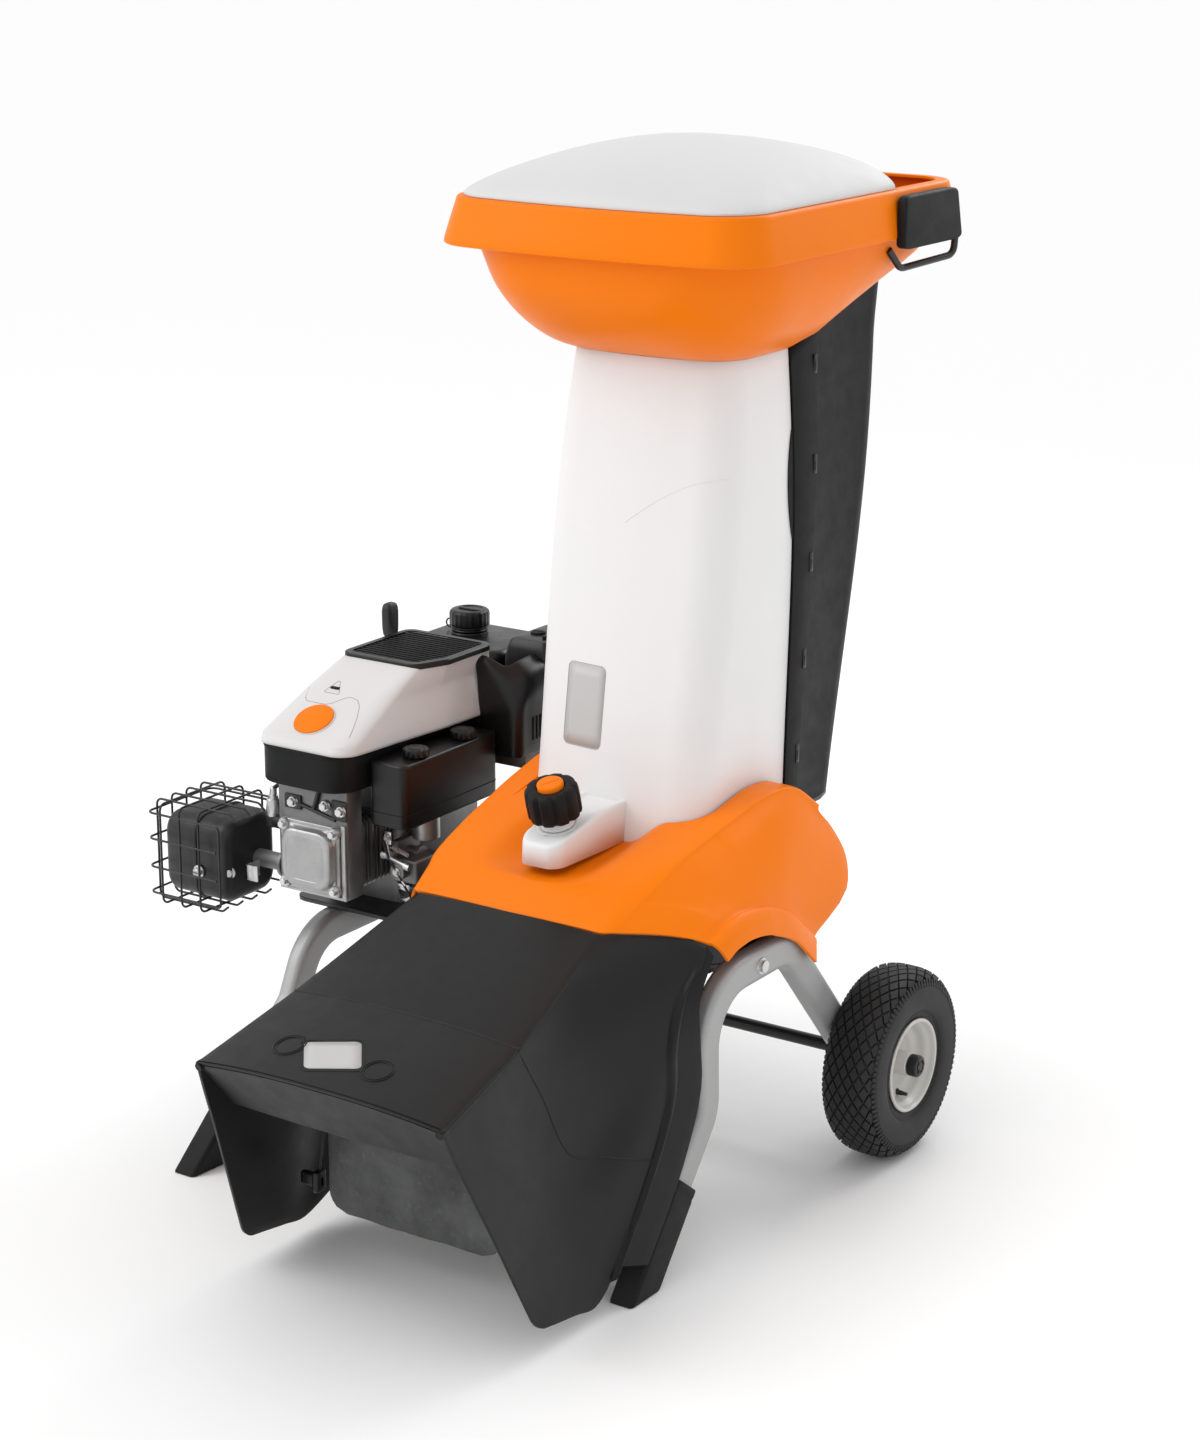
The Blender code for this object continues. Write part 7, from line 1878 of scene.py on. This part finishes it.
def front_plan(z):
    """The light half's outline at a height."""
    half, front, _, seam = chute_at(z)
    c = CHUTE_CORNER
    out = [(CHUTE_X + half, seam - 0.0002), (CHUTE_X + half, (seam + front + c) / 2)]
    for i in range(11):
        turn = -math.pi / 2 * i / 10
        out.append((CHUTE_X + half - c + c * math.cos(turn), front + c + c * math.sin(turn)))
    for i in range(1, 12):
        share = 1 - i / 6
        out.append((CHUTE_X + (half - c) * share, front - CHUTE_BULGE * (1 - share * share)))
    for i in range(11):
        turn = -math.pi / 2 * (1 + i / 10)
        out.append((CHUTE_X - half + c + c * math.cos(turn), front + c + c * math.sin(turn)))
    out += [(CHUTE_X - half, (seam + front + c) / 2), (CHUTE_X - half, seam - 0.0002)]
    return out


def mouth_z(y):
    """Height of the chute's upper edge, which rises to the rear."""
    return CHUTE_TOP + (CHUTE_REAR_TOP - CHUTE_TOP) / 0.263 * max(0.0, y + 0.057)


def band_width(z):
    """Width of the raised band beside the seam."""
    return lerp(0.031, 0.068, (z - DECK) / (CHUTE_TOP - DECK))


def rear_plan(z):
    """The dark half's outline at a height."""
    half, _, rear, seam = chute_at(z)
    seam += 0.0002
    band = band_width(z)
    c = CHUTE_CORNER
    right = [(half + 0.0005, seam), (half + 0.0026, seam + 0.0006), (half + 0.003, seam + 0.002),
             (half + 0.003, seam + band - 0.0015), (half + 0.0024, seam + band + 0.0006),
             (half + 0.0008, seam + band + 0.0026), (half, seam + band + 0.0042)]
    for i in range(11):
        turn = math.pi / 2 * i / 10
        right.append((half - c + c * math.cos(turn), rear - c + c * math.sin(turn)))
    right.append(((half - c) / 2, rear))
    return [(CHUTE_X + x, y) for x, y in right] + [(CHUTE_X, rear)] + [(CHUTE_X - x, y)
                                                                       for x, y in reversed(right)]


def boss():
    """The hollow foot under the lock knob."""
    slope = math.tan(KNOB_LEAN)
    base = 0.5192

    def top_z(y):
        if y < -0.366:
            return base + (y + 0.392) * slope
        return lerp(base + 0.026 * slope, 0.53, (y + 0.366) / 0.087)
    outline = []
    for x, y in plan(CHUTE_X - 0.036, CHUTE_X + 0.036, -0.4395, -0.24, 0.024, 10):
        spread = ease(max(0.0, min(1.0, (y + 0.42) / 0.16)))
        outline.append((CHUTE_X + (x - CHUTE_X) * (0.86 + 0.14 * spread), y))
    stations = flow([(x, y, 0) for x, y in outline], 2, True)
    middle = Vector((CHUTE_X, -0.345, 0))
    rows = []
    for inset, drop, at_low in ((0.0, 0.0, True), (0.0, 0.0055, False), (0.0008, 0.003, False),
                                (0.0024, 0.001, False), (0.0052, 0.0, False),
                                (0.011, 0.0002, False)):
        row = []
        for p in stations:
            way = (middle - p)
            q = p + way.normalized() * min(inset, way.length * 0.5)
            lean = Vector((0, 0, 0)) if not at_low else -way.normalized() * 0.0025
            z = 0.4765 if at_low else top_z(min(q.y, -0.245)) - drop
            row.append(Vector((q.x + lean.x * 0.6, max(q.y + lean.y * 0.6, -0.4398), z)))
        rows.append(row)
    bm = bmesh.new()
    last = risen(bm, rows, True)
    bm.faces.new(last)
    bmesh.ops.recalc_face_normals(bm, faces=bm.faces)
    outward(bm, (CHUTE_X, -0.345, 0.45))
    piece = keep("knob_boss", bm, "light", "chute", (), 50.0)
    wall(piece, 0.003)
    pad = [(0.0062, -0.0012), (0.0262, -0.0012), (0.0266, -0.0002), (0.0262, 0.0001),
           (0.0232, 0.0002), (0.0226, -0.0002), (0.0062, -0.0002), (0.0062, -0.0012)]
    keep("knob_seat", new_turned(pad, KNOB_AT, KNOB_AXIS, 56), "light", "chute")


def chute():
    """Light front and dark rear halves of the feed chute."""
    count = 34
    rows = []
    for i in range(count + 1):
        z = lerp(DECK, CHUTE_TOP, i / count)
        rows.append([(x, y, z) for x, y in front_plan(z)])
    bm = sheet_of(rows, False, (CHUTE_X, 0.0, 0.78))
    front = keep("chute_front_shell", bm, "light", "chute", ("chute_front",), 40.0)
    wall(front, 0.004)
    soften(front, 0.0008, 2, 60.0)
    boss()
    base = rear_plan(DECK)
    rows = [[] for _ in range(count + 1)]
    for i in range(len(base)):
        top = CHUTE_TOP
        for _ in range(8):
            top = mouth_z(rear_plan(top)[i][1])
        for k in range(count + 1):
            z = lerp(DECK, top, k / count)
            x, y = rear_plan(z)[i]
            rows[k].append((x, y, z))
    bm = sheet_of(rows, False, (CHUTE_X, 0.0, 0.78))
    rear = keep("chute_rear_shell", bm, "panel", "chute", ("chute_rear",), 30.0)
    wall(rear, 0.004)

    def arms(bm):
        for side in (1, -1):
            x = CHUTE_X + side * 0.07
            block(bm, (x - 0.0068, 0.088, 0.4785), (x + 0.0068, 0.112, 0.4938), 0.0012, 2)
            turned(bm, [(0.0054, -0.0069), (0.0092, -0.0069), (0.01, -0.0061), (0.01, 0.0061),
                        (0.0092, 0.0069),
                        (0.0054, 0.0069), (0.0054, -0.0069)], (x, 0.112, 0.484), (1, 0, 0), 36)
    shapes("chute_hinge_arms", "panel", "chute", arms)

    def clips(bm):
        for side in (1, -1):
            for i in range(5):
                z = lerp(0.545, 1.056, i / 4)
                half, _, _, seam = chute_at(z)
                y = seam + band_width(z) - 0.006
                x = CHUTE_X + side * (half + 0.003)
                block(bm, (x - 0.0012, y - 0.0042, z - 0.013), (x + 0.001, y + 0.0042, z + 0.013),
                      0.0009, 2)
                block(bm, (x - 0.0012, y - 0.0022, z - 0.009), (x + 0.0017, y + 0.0022, z + 0.004),
                      0.0006, 2)
    shapes("chute_clips", "satin", "chute", clips)

    def notch(bm):
        for side in (1, -1):
            outer, inner = [], []
            for i in range(25):
                z = lerp(0.836, 0.985, i / 24)
                half, _, _, seam = chute_at(z)
                deep = 0.0125 * math.sin(math.pi * i / 24) ** 0.8
                outer.append(Vector((CHUTE_X + side * (half + 0.0006), seam - deep, z)))
                inner.append(Vector((CHUTE_X + side * (half + 0.0006), seam + 0.0012, z)))
            low = [[bm.verts.new(p) for p in line] for line in (outer, inner)]
            high = [[bm.verts.new(p + Vector((side * 0.001, 0, 0))) for p in line]
                    for line in (outer, inner)]
            for a, b in ((low[0], high[0]), (high[0], high[1]), (high[1], low[1]),
                         (low[1], low[0])):
                for k in range(24):
                    bm.faces.new((a[k], a[k + 1], b[k + 1], b[k]))
            bmesh.ops.remove_doubles(bm, verts=bm.verts, dist=1e-5)
    shapes("chute_side_wedges", "panel", "chute", notch)
    arch = []
    for i in range(33):
        t = i / 32
        x = lerp(0.099, 0.2275, t)
        arch.append((x, 0.877 + 0.062 * math.sin(math.pi / 2 * t)))
    points = on_surface(front, [Vector((x, -0.4, z)) for x, z in arch], (0, 1, 0), 0.00005)
    wires("chute_front_arch", [points], 0.0006, "light", "chute", (), False, 3)
    label("chute_blank_label", front, (0.03, 0.587), (0.088, 0.691), 0.007, "plate", "chute",
          0.0005)
    outline = [Vector((x, -0.4, z))
               for x, z in divided(plan(0.029, 0.089, 0.586, 0.692, 0.008, 7), LABEL_PITCH)]
    wires("chute_label_line", [on_surface(front, outline, (0, 1, 0), 0.0001)], 0.0004, "plate_line",
          "chute", (), True, 2)


class SHREDDER_OT_housing(bpy.types.Operator):
    """Orange housing with its fender"""
    bl_idname = "shredder.housing"
    bl_label = "Housing"

    def execute(self, context):
        housing()
        return {"FINISHED"}


class SHREDDER_OT_hood(bpy.types.Operator):
    """Discharge hood with its rubber curtain"""
    bl_idname = "shredder.hood"
    bl_label = "Hood"

    def execute(self, context):
        hood()
        flap = curtain()
        return {"FINISHED"}


class SHREDDER_OT_chute(bpy.types.Operator):
    """Feed chute halves with clips, boss and blank label"""
    bl_idname = "shredder.chute"
    bl_label = "Chute"

    def execute(self, context):
        chute()
        return {"FINISHED"}


# Hopper

RIM = (0.237, -0.334, 0.232, 0.06, 0.022)
RIM_LOW, RIM_TOP, FLARE = 1.22, 1.279, 0.013


def hopper_ring(half, front, rear, corner, height, bulge=0.0, steps=8):
    """A plan ring of the hopper. Height is a number or a function of y."""
    outline = plan(-half, half, front, rear, corner, steps)
    out = []
    for i, (x, y) in enumerate(outline):
        nx, ny = outline[(i + 1) % len(outline)]
        out.append((x, y))
        if (i + 1) % (steps + 1) == 0:
            out += [(lerp(x, nx, k / 8), lerp(y, ny, k / 8)) for k in range(1, 8)]
    ring = []
    for x, y in out:
        share = x / half
        y -= bulge * (1 - share * share) * (rear - y) / (rear - front)
        ring.append(Vector((CHUTE_X + x, y, height(y) if callable(height) else height)))
    return ring


def bowl():
    """The orange bowl from the chute's mouth to its rolled rim."""
    half, front = chute_at(CHUTE_TOP)[:2]
    half += 0.003
    rear = chute_at(CHUTE_REAR_TOP)[2]
    rim_half, rim_front, rim_rear, corner, bulge = RIM

    def row(share, *shape):
        return hopper_ring(*shape[:4], lambda y: lerp(mouth_z(y) + 0.0003, RIM_LOW, share),
                           shape[4])
    coarse = [row(0.0, half, front - 0.0005, rear + 0.001, CHUTE_CORNER, CHUTE_BULGE),
              row(0.1, half + 0.026, front - 0.036, rear + 0.004, 0.08, 0.01),
              row(0.3, half + 0.055, front - 0.074, rear + 0.006, 0.108, 0.014),
              row(0.6, half + 0.077, front - 0.102, rear + 0.009, 0.118, 0.02),
              row(1.0, half + 0.09, front - 0.113, rim_rear - 0.006, corner + 0.045, bulge)]
    rows = net(coarse, 1, 6)
    for inset, z in ((0.002, RIM_LOW + 0.0002), (0.0004, RIM_LOW + 0.0012), (0.0, RIM_LOW + 0.0032),
                     (0.0008, RIM_LOW + 0.008), (FLARE * 0.5, (RIM_LOW + RIM_TOP) / 2),
                     (FLARE, RIM_TOP - 0.006),
                     (FLARE + 0.0008, RIM_TOP - 0.0026), (FLARE + 0.0026, RIM_TOP - 0.0006),
                     (FLARE + 0.0055, RIM_TOP), (FLARE + 0.016, RIM_TOP)):
        rows.append(hopper_ring(rim_half - inset, rim_front + inset, rim_rear - inset,
                                corner - inset / 2, z, bulge))
    bm = sheet_of(rows, True, (CHUTE_X, -0.03, 1.19))
    piece = keep("hopper_bowl_shell", bm, "orange", "chute", ("hopper_bowl",), 38.0)
    wall(piece, 0.0035)
    soften(piece, 0.0006, 2, 60.0)


def dome():
    """The light splash guard over the front of the hopper's rim."""
    rim_half, rim_front, rim_rear, corner, bulge = RIM
    inset = FLARE + 0.007
    rear = 0.045
    ring = hopper_ring(rim_half - inset, rim_front + inset, rim_rear - inset, corner - 0.006, 0.0,
                       bulge, 12)
    side = [p for p in ring if p.y < rear - 0.02]
    left = sorted([p for p in side if p.x < CHUTE_X], key=lambda p: (-p.y, p.x))
    right = sorted([p for p in side if p.x >= CHUTE_X], key=lambda p: (p.y, p.x))
    reach = max(p.x for p in side) - CHUTE_X
    line = [(CHUTE_X - reach, rear)] + [(p.x, p.y) for p in left] + [(p.x, p.y) for p in right]
    line.append((CHUTE_X + reach, rear))
    base = RIM_TOP + 0.0003
    rows = [[(x, y, base) for x, y in line]]
    base += 0.003
    steps = [0.0, 0.004, 0.01, 0.02, 0.035, 0.06, 0.09, 0.13, 0.18, 0.24, 0.31, 0.4, 0.5, 0.62,
             0.75, 0.88, 0.985]
    deep = rear - min(y for x, y in line)
    for share in steps:
        lift = (1 - (1 - share) ** 2.2) ** 0.62
        row = []
        for x, y in line:
            a, b = (x - CHUTE_X) / reach, (rear - y) / deep
            pull = lerp(1.0, 1.0 / max(1.0, math.hypot(a, b)), min(1.0, share * 2.2) ** 0.7)
            x, y = CHUTE_X + a * pull * reach, rear - b * pull * deep
            py = lerp(y, rear, share)
            past = max(0.0, (py + 0.17) / 0.215)
            row.append((lerp(x, CHUTE_X, share), py, base + (0.072 - 0.024 * past * past) * lift))
        rows.append(row)
    bm = bmesh.new()
    last = risen(bm, rows, False)
    bm.faces.new(last)
    outward(bm, (CHUTE_X, -0.1, 1.24))
    piece = keep("splash_guard", bm, "dome", "chute", ("hopper_dome",), 50.0)
    wall(piece, 0.003)
    soften(piece, 0.0007, 2, 60.0)


def hopper_grip(suffix, side):
    """Side grip on the rim with the wire bail under it."""
    x = CHUTE_X + side * 0.2446
    low, high = (0.012, 0.166), (0.03, 0.168)
    rows = []
    for inset, offset in ((0.003, -0.007), (0.0008, -0.0066), (0.0, -0.0054), (0.0, 0.0052),
                          (0.0008, 0.0064), (0.003, 0.0069)):
        ring = []
        for u, v in plan(0.0, 1.0, 0.0, 1.0, 0.1, 6):
            z = lerp(1.2085 + inset, 1.273 - inset, v)
            ring.append((x + side * (offset - FLARE * 0.72 * (z - 1.2085) / 0.0645),
                         lerp(lerp(low[0], high[0], v) + inset, lerp(low[1], high[1], v) - inset,
                              u), z))
        rows.append(ring)
    keep("hopper_grip_%s_pad" % suffix, solid(rows), "dark", "chute",
         ("hopper_grip_" + suffix,), 40.0)
    z = 1.208
    corners = [Vector((x, 0.158, z + 0.006)), Vector((x, 0.154, z - 0.02)),
               Vector((x - side * 0.026, 0.06, z - 0.03)),
               Vector((x - side * 0.03, 0.036, z - 0.004))]
    wires("hopper_bail_" + suffix, [rounded(corners, 0.014, 8)], 0.0046, "black_coat", "chute",
          (), False, 5)


class SHREDDER_OT_hopper(bpy.types.Operator):
    """Hopper bowl, splash guard and side grips"""
    bl_idname = "shredder.hopper"
    bl_label = "Hopper"

    def execute(self, context):
        bowl()
        dome()
        for suffix, side in SIDES:
            hopper_grip(suffix, side)
        return {"FINISHED"}


class SHREDDER_OT_knob(bpy.types.Operator):
    """Lock knob on its ribbed spindle, with the release button"""
    bl_idname = "shredder.knob"
    bl_label = "Lock knob"

    def execute(self, context):
        at, axis = KNOB_AT, KNOB_AXIS
        place = Matrix.Translation(at) @ turning(axis)
        thread = [(0.0, -0.036), (0.006, -0.036), (0.006, 0.0), (0.0205, 0.0004), (0.0216, 0.001)]
        h = 0.0014
        while h < 0.0126:
            thread += [(0.022, h), (0.022, h + 0.001), (0.0206, h + 0.0015), (0.0206, h + 0.0019)]
            h += 0.0024
        thread += [(0.0212, 0.0138), (0.02, 0.014), (0.006, 0.014), (0.006, 0.024), (0.0, 0.024)]
        keep("knob_spindle_ribbed", new_turned(thread, at, axis, 56), "light", "knob",
             ("knob_spindle",), 30.0)
        table = ((0.0002, 0.7, 0.2), (0.0, 0.86, 0.7), (0.0012, 0.935, 1.0),
                 (0.004, 0.965, 1.0), (0.02, 0.975, 1.0), (0.033, 0.965, 1.0),
                 (0.0375, 0.945, 0.95), (0.0402, 0.9, 0.8), (0.0416, 0.83, 0.5),
                 (0.042, 0.76, 0.2), (0.0419, 0.56, 0.0), (0.0412, 0.52, 0.0),
                 (0.03, 0.512, 0.0))
        seat = place @ Matrix.Translation((0, 0, 0.0143))
        rows = [[seat @ p for p in ring]
                for ring in ribbed(table, 0.0355, 10, 12,
                                   lambda wave: -0.105 * max(0.0, -wave) ** 1.6)]
        keep("lock_knob_lobed", solid(rows), "dark", "knob",
             ("lock_knob",), 40.0)
        top = 0.0563
        dial = [(0.0, 0.0052), (0.0132, 0.0054), (0.0152, 0.0052), (0.0164, 0.0044), (0.017, 0.003),
                (0.017, -0.0072), (0.0, -0.0072)]
        keep("knob_button_dial", new_turned([(r, v + top) for r, v in dial], at, axis, 64),
             "orange", "button", ("knob_button",))

        def ridge(bm):
            block(bm, (-0.0009, -0.0128, top + 0.0046), (0.0009, 0.0128, top + 0.006), 0.0004, 2)
            bmesh.ops.rotate(bm, cent=(0, 0, 0), matrix=Matrix.Rotation(math.radians(-38), 3, "Z"),
                             verts=bm.verts)
            bmesh.ops.transform(bm, matrix=place, verts=bm.verts)
        shapes("knob_button_ridge", "orange", "button", ridge)
        return {"FINISHED"}


# Studio


FLOOR_HALF = 90.0
SUN_WAY = Vector((0.48, 0.5, -0.72))
CAMERA_AT = Vector((2.1899, -3.3966, 1.7206))
CAMERA_RIGHT = Vector((0.829, 0.559, 0.0))
CAMERA_AHEAD = Vector((-0.5367, 0.796, -0.2796))


def light(name, at, aim, power, width, height):
    """A rectangular lamp at a point, turned to another."""
    lamp = bpy.data.lights.new(name, "AREA")
    lamp.shape = "RECTANGLE"
    lamp.size = width
    lamp.size_y = height
    lamp.energy = power
    holder = added(name, lamp)
    holder.location = Vector(at) + ORIGIN
    holder.rotation_euler = (Vector(aim) - Vector(at)).to_track_quat("-Z", "Y").to_euler()


class SHREDDER_OT_stage(bpy.types.Operator):
    """Floor, lights and camera"""
    bl_idname = "shredder.stage"
    bl_label = "Studio"

    def execute(self, context):
        s = context.scene.shredder_studio
        bm = bmesh.new()
        bmesh.ops.create_grid(bm, x_segments=2, y_segments=2, size=FLOOR_HALF)
        mesh = bpy.data.meshes.new("floor")
        bm.to_mesh(mesh)
        bm.free()
        floor = added("floor", mesh)
        paint = bpy.data.materials.new("floor paint")
        paint.use_nodes = True
        shader = paint.node_tree.nodes["Principled BSDF"]
        shader.inputs["Base Color"].default_value = (*s.floor, 1.0)
        shader.inputs["Roughness"].default_value = 0.6
        mesh.materials.append(paint)
        world = bpy.data.worlds.new("studio")
        world.use_nodes = True
        back = world.node_tree.nodes["Background"]
        back.inputs["Color"].default_value = (1.0, 1.0, 1.0, 1.0)
        back.inputs["Strength"].default_value = s.sky
        context.scene.world = world
        sun = bpy.data.lights.new("sky panel", "SUN")
        sun.energy = s.key
        sun.angle = math.radians(55)
        added("sky panel", sun).rotation_euler = SUN_WAY.to_track_quat("-Z", "Y").to_euler()
        light("back panel", (0.6, 2.4, 2.5), (0.1, -0.4, 0.4), 34.0, 2.4, 0.9)
        light("soft box", (-2.4, -2.2, 2.4), (0.0, -0.1, 0.7), 14.0, 1.2, 2.0)
        lens = bpy.data.cameras.new("camera")
        lens.lens = s.lens
        lens.sensor_fit = "VERTICAL"
        lens.sensor_height = 36.0
        lens.clip_end = 200.0
        holder = added("camera", lens)
        right, ahead = CAMERA_RIGHT.normalized(), CAMERA_AHEAD.normalized()
        up = right.cross(ahead).normalized()
        holder.matrix_world = Matrix.Translation(CAMERA_AT + ORIGIN) @ Matrix(
            ((right.x, up.x, -ahead.x), (right.y, up.y, -ahead.y),
             (right.z, up.z, -ahead.z))).to_4x4()
        context.scene.camera = holder
        context.scene.view_settings.view_transform = "Standard"
        context.scene.view_settings.look = "None"
        return {"FINISHED"}


class SHREDDER_PT_build(bpy.types.Panel):
    """Builds the shredder piece by piece"""
    bl_idname = "SHREDDER_PT_build"
    bl_label = "Garden shredder"
    bl_space_type = "VIEW_3D"
    bl_region_type = "UI"
    bl_category = "Shredder"

    def draw(self, context):
        layout = self.layout
        for name in ("shredder_shells", "shredder_metals", "shredder_tyres", "shredder_studio"):
            column = layout.column(align=True)
            group = getattr(context.scene, name)
            for key in group.__annotations__:
                column.prop(group, key)
        for operator in OPERATORS:
            layout.operator(operator.bl_idname)


SETTINGS = (
    ("shredder_shells", ShellSettings),
    ("shredder_metals", MetalSettings),
    ("shredder_tyres", TyreSettings),
    ("shredder_studio", StudioSettings),
)
OPERATORS = (
    SHREDDER_OT_frame,
    SHREDDER_OT_wheels,
    SHREDDER_OT_chamber,
    SHREDDER_OT_engine,
    SHREDDER_OT_housing,
    SHREDDER_OT_hood,
    SHREDDER_OT_chute,
    SHREDDER_OT_hopper,
    SHREDDER_OT_knob,
    SHREDDER_OT_stage,
)


def register():
    for name, group in SETTINGS:
        bpy.utils.register_class(group)
        setattr(bpy.types.Scene, name, PointerProperty(type=group))
    for operator in OPERATORS:
        bpy.utils.register_class(operator)
    bpy.utils.register_class(SHREDDER_PT_build)


def unregister():
    bpy.utils.unregister_class(SHREDDER_PT_build)
    for operator in reversed(OPERATORS):
        bpy.utils.unregister_class(operator)
    for name, group in reversed(SETTINGS):
        delattr(bpy.types.Scene, name)
        bpy.utils.unregister_class(group)


def main():
    register()
    make_looks()
    for operator in OPERATORS:
        group, name = operator.bl_idname.split(".")
        getattr(getattr(bpy.ops, group), name)()


if __name__ == "__main__":
    main()
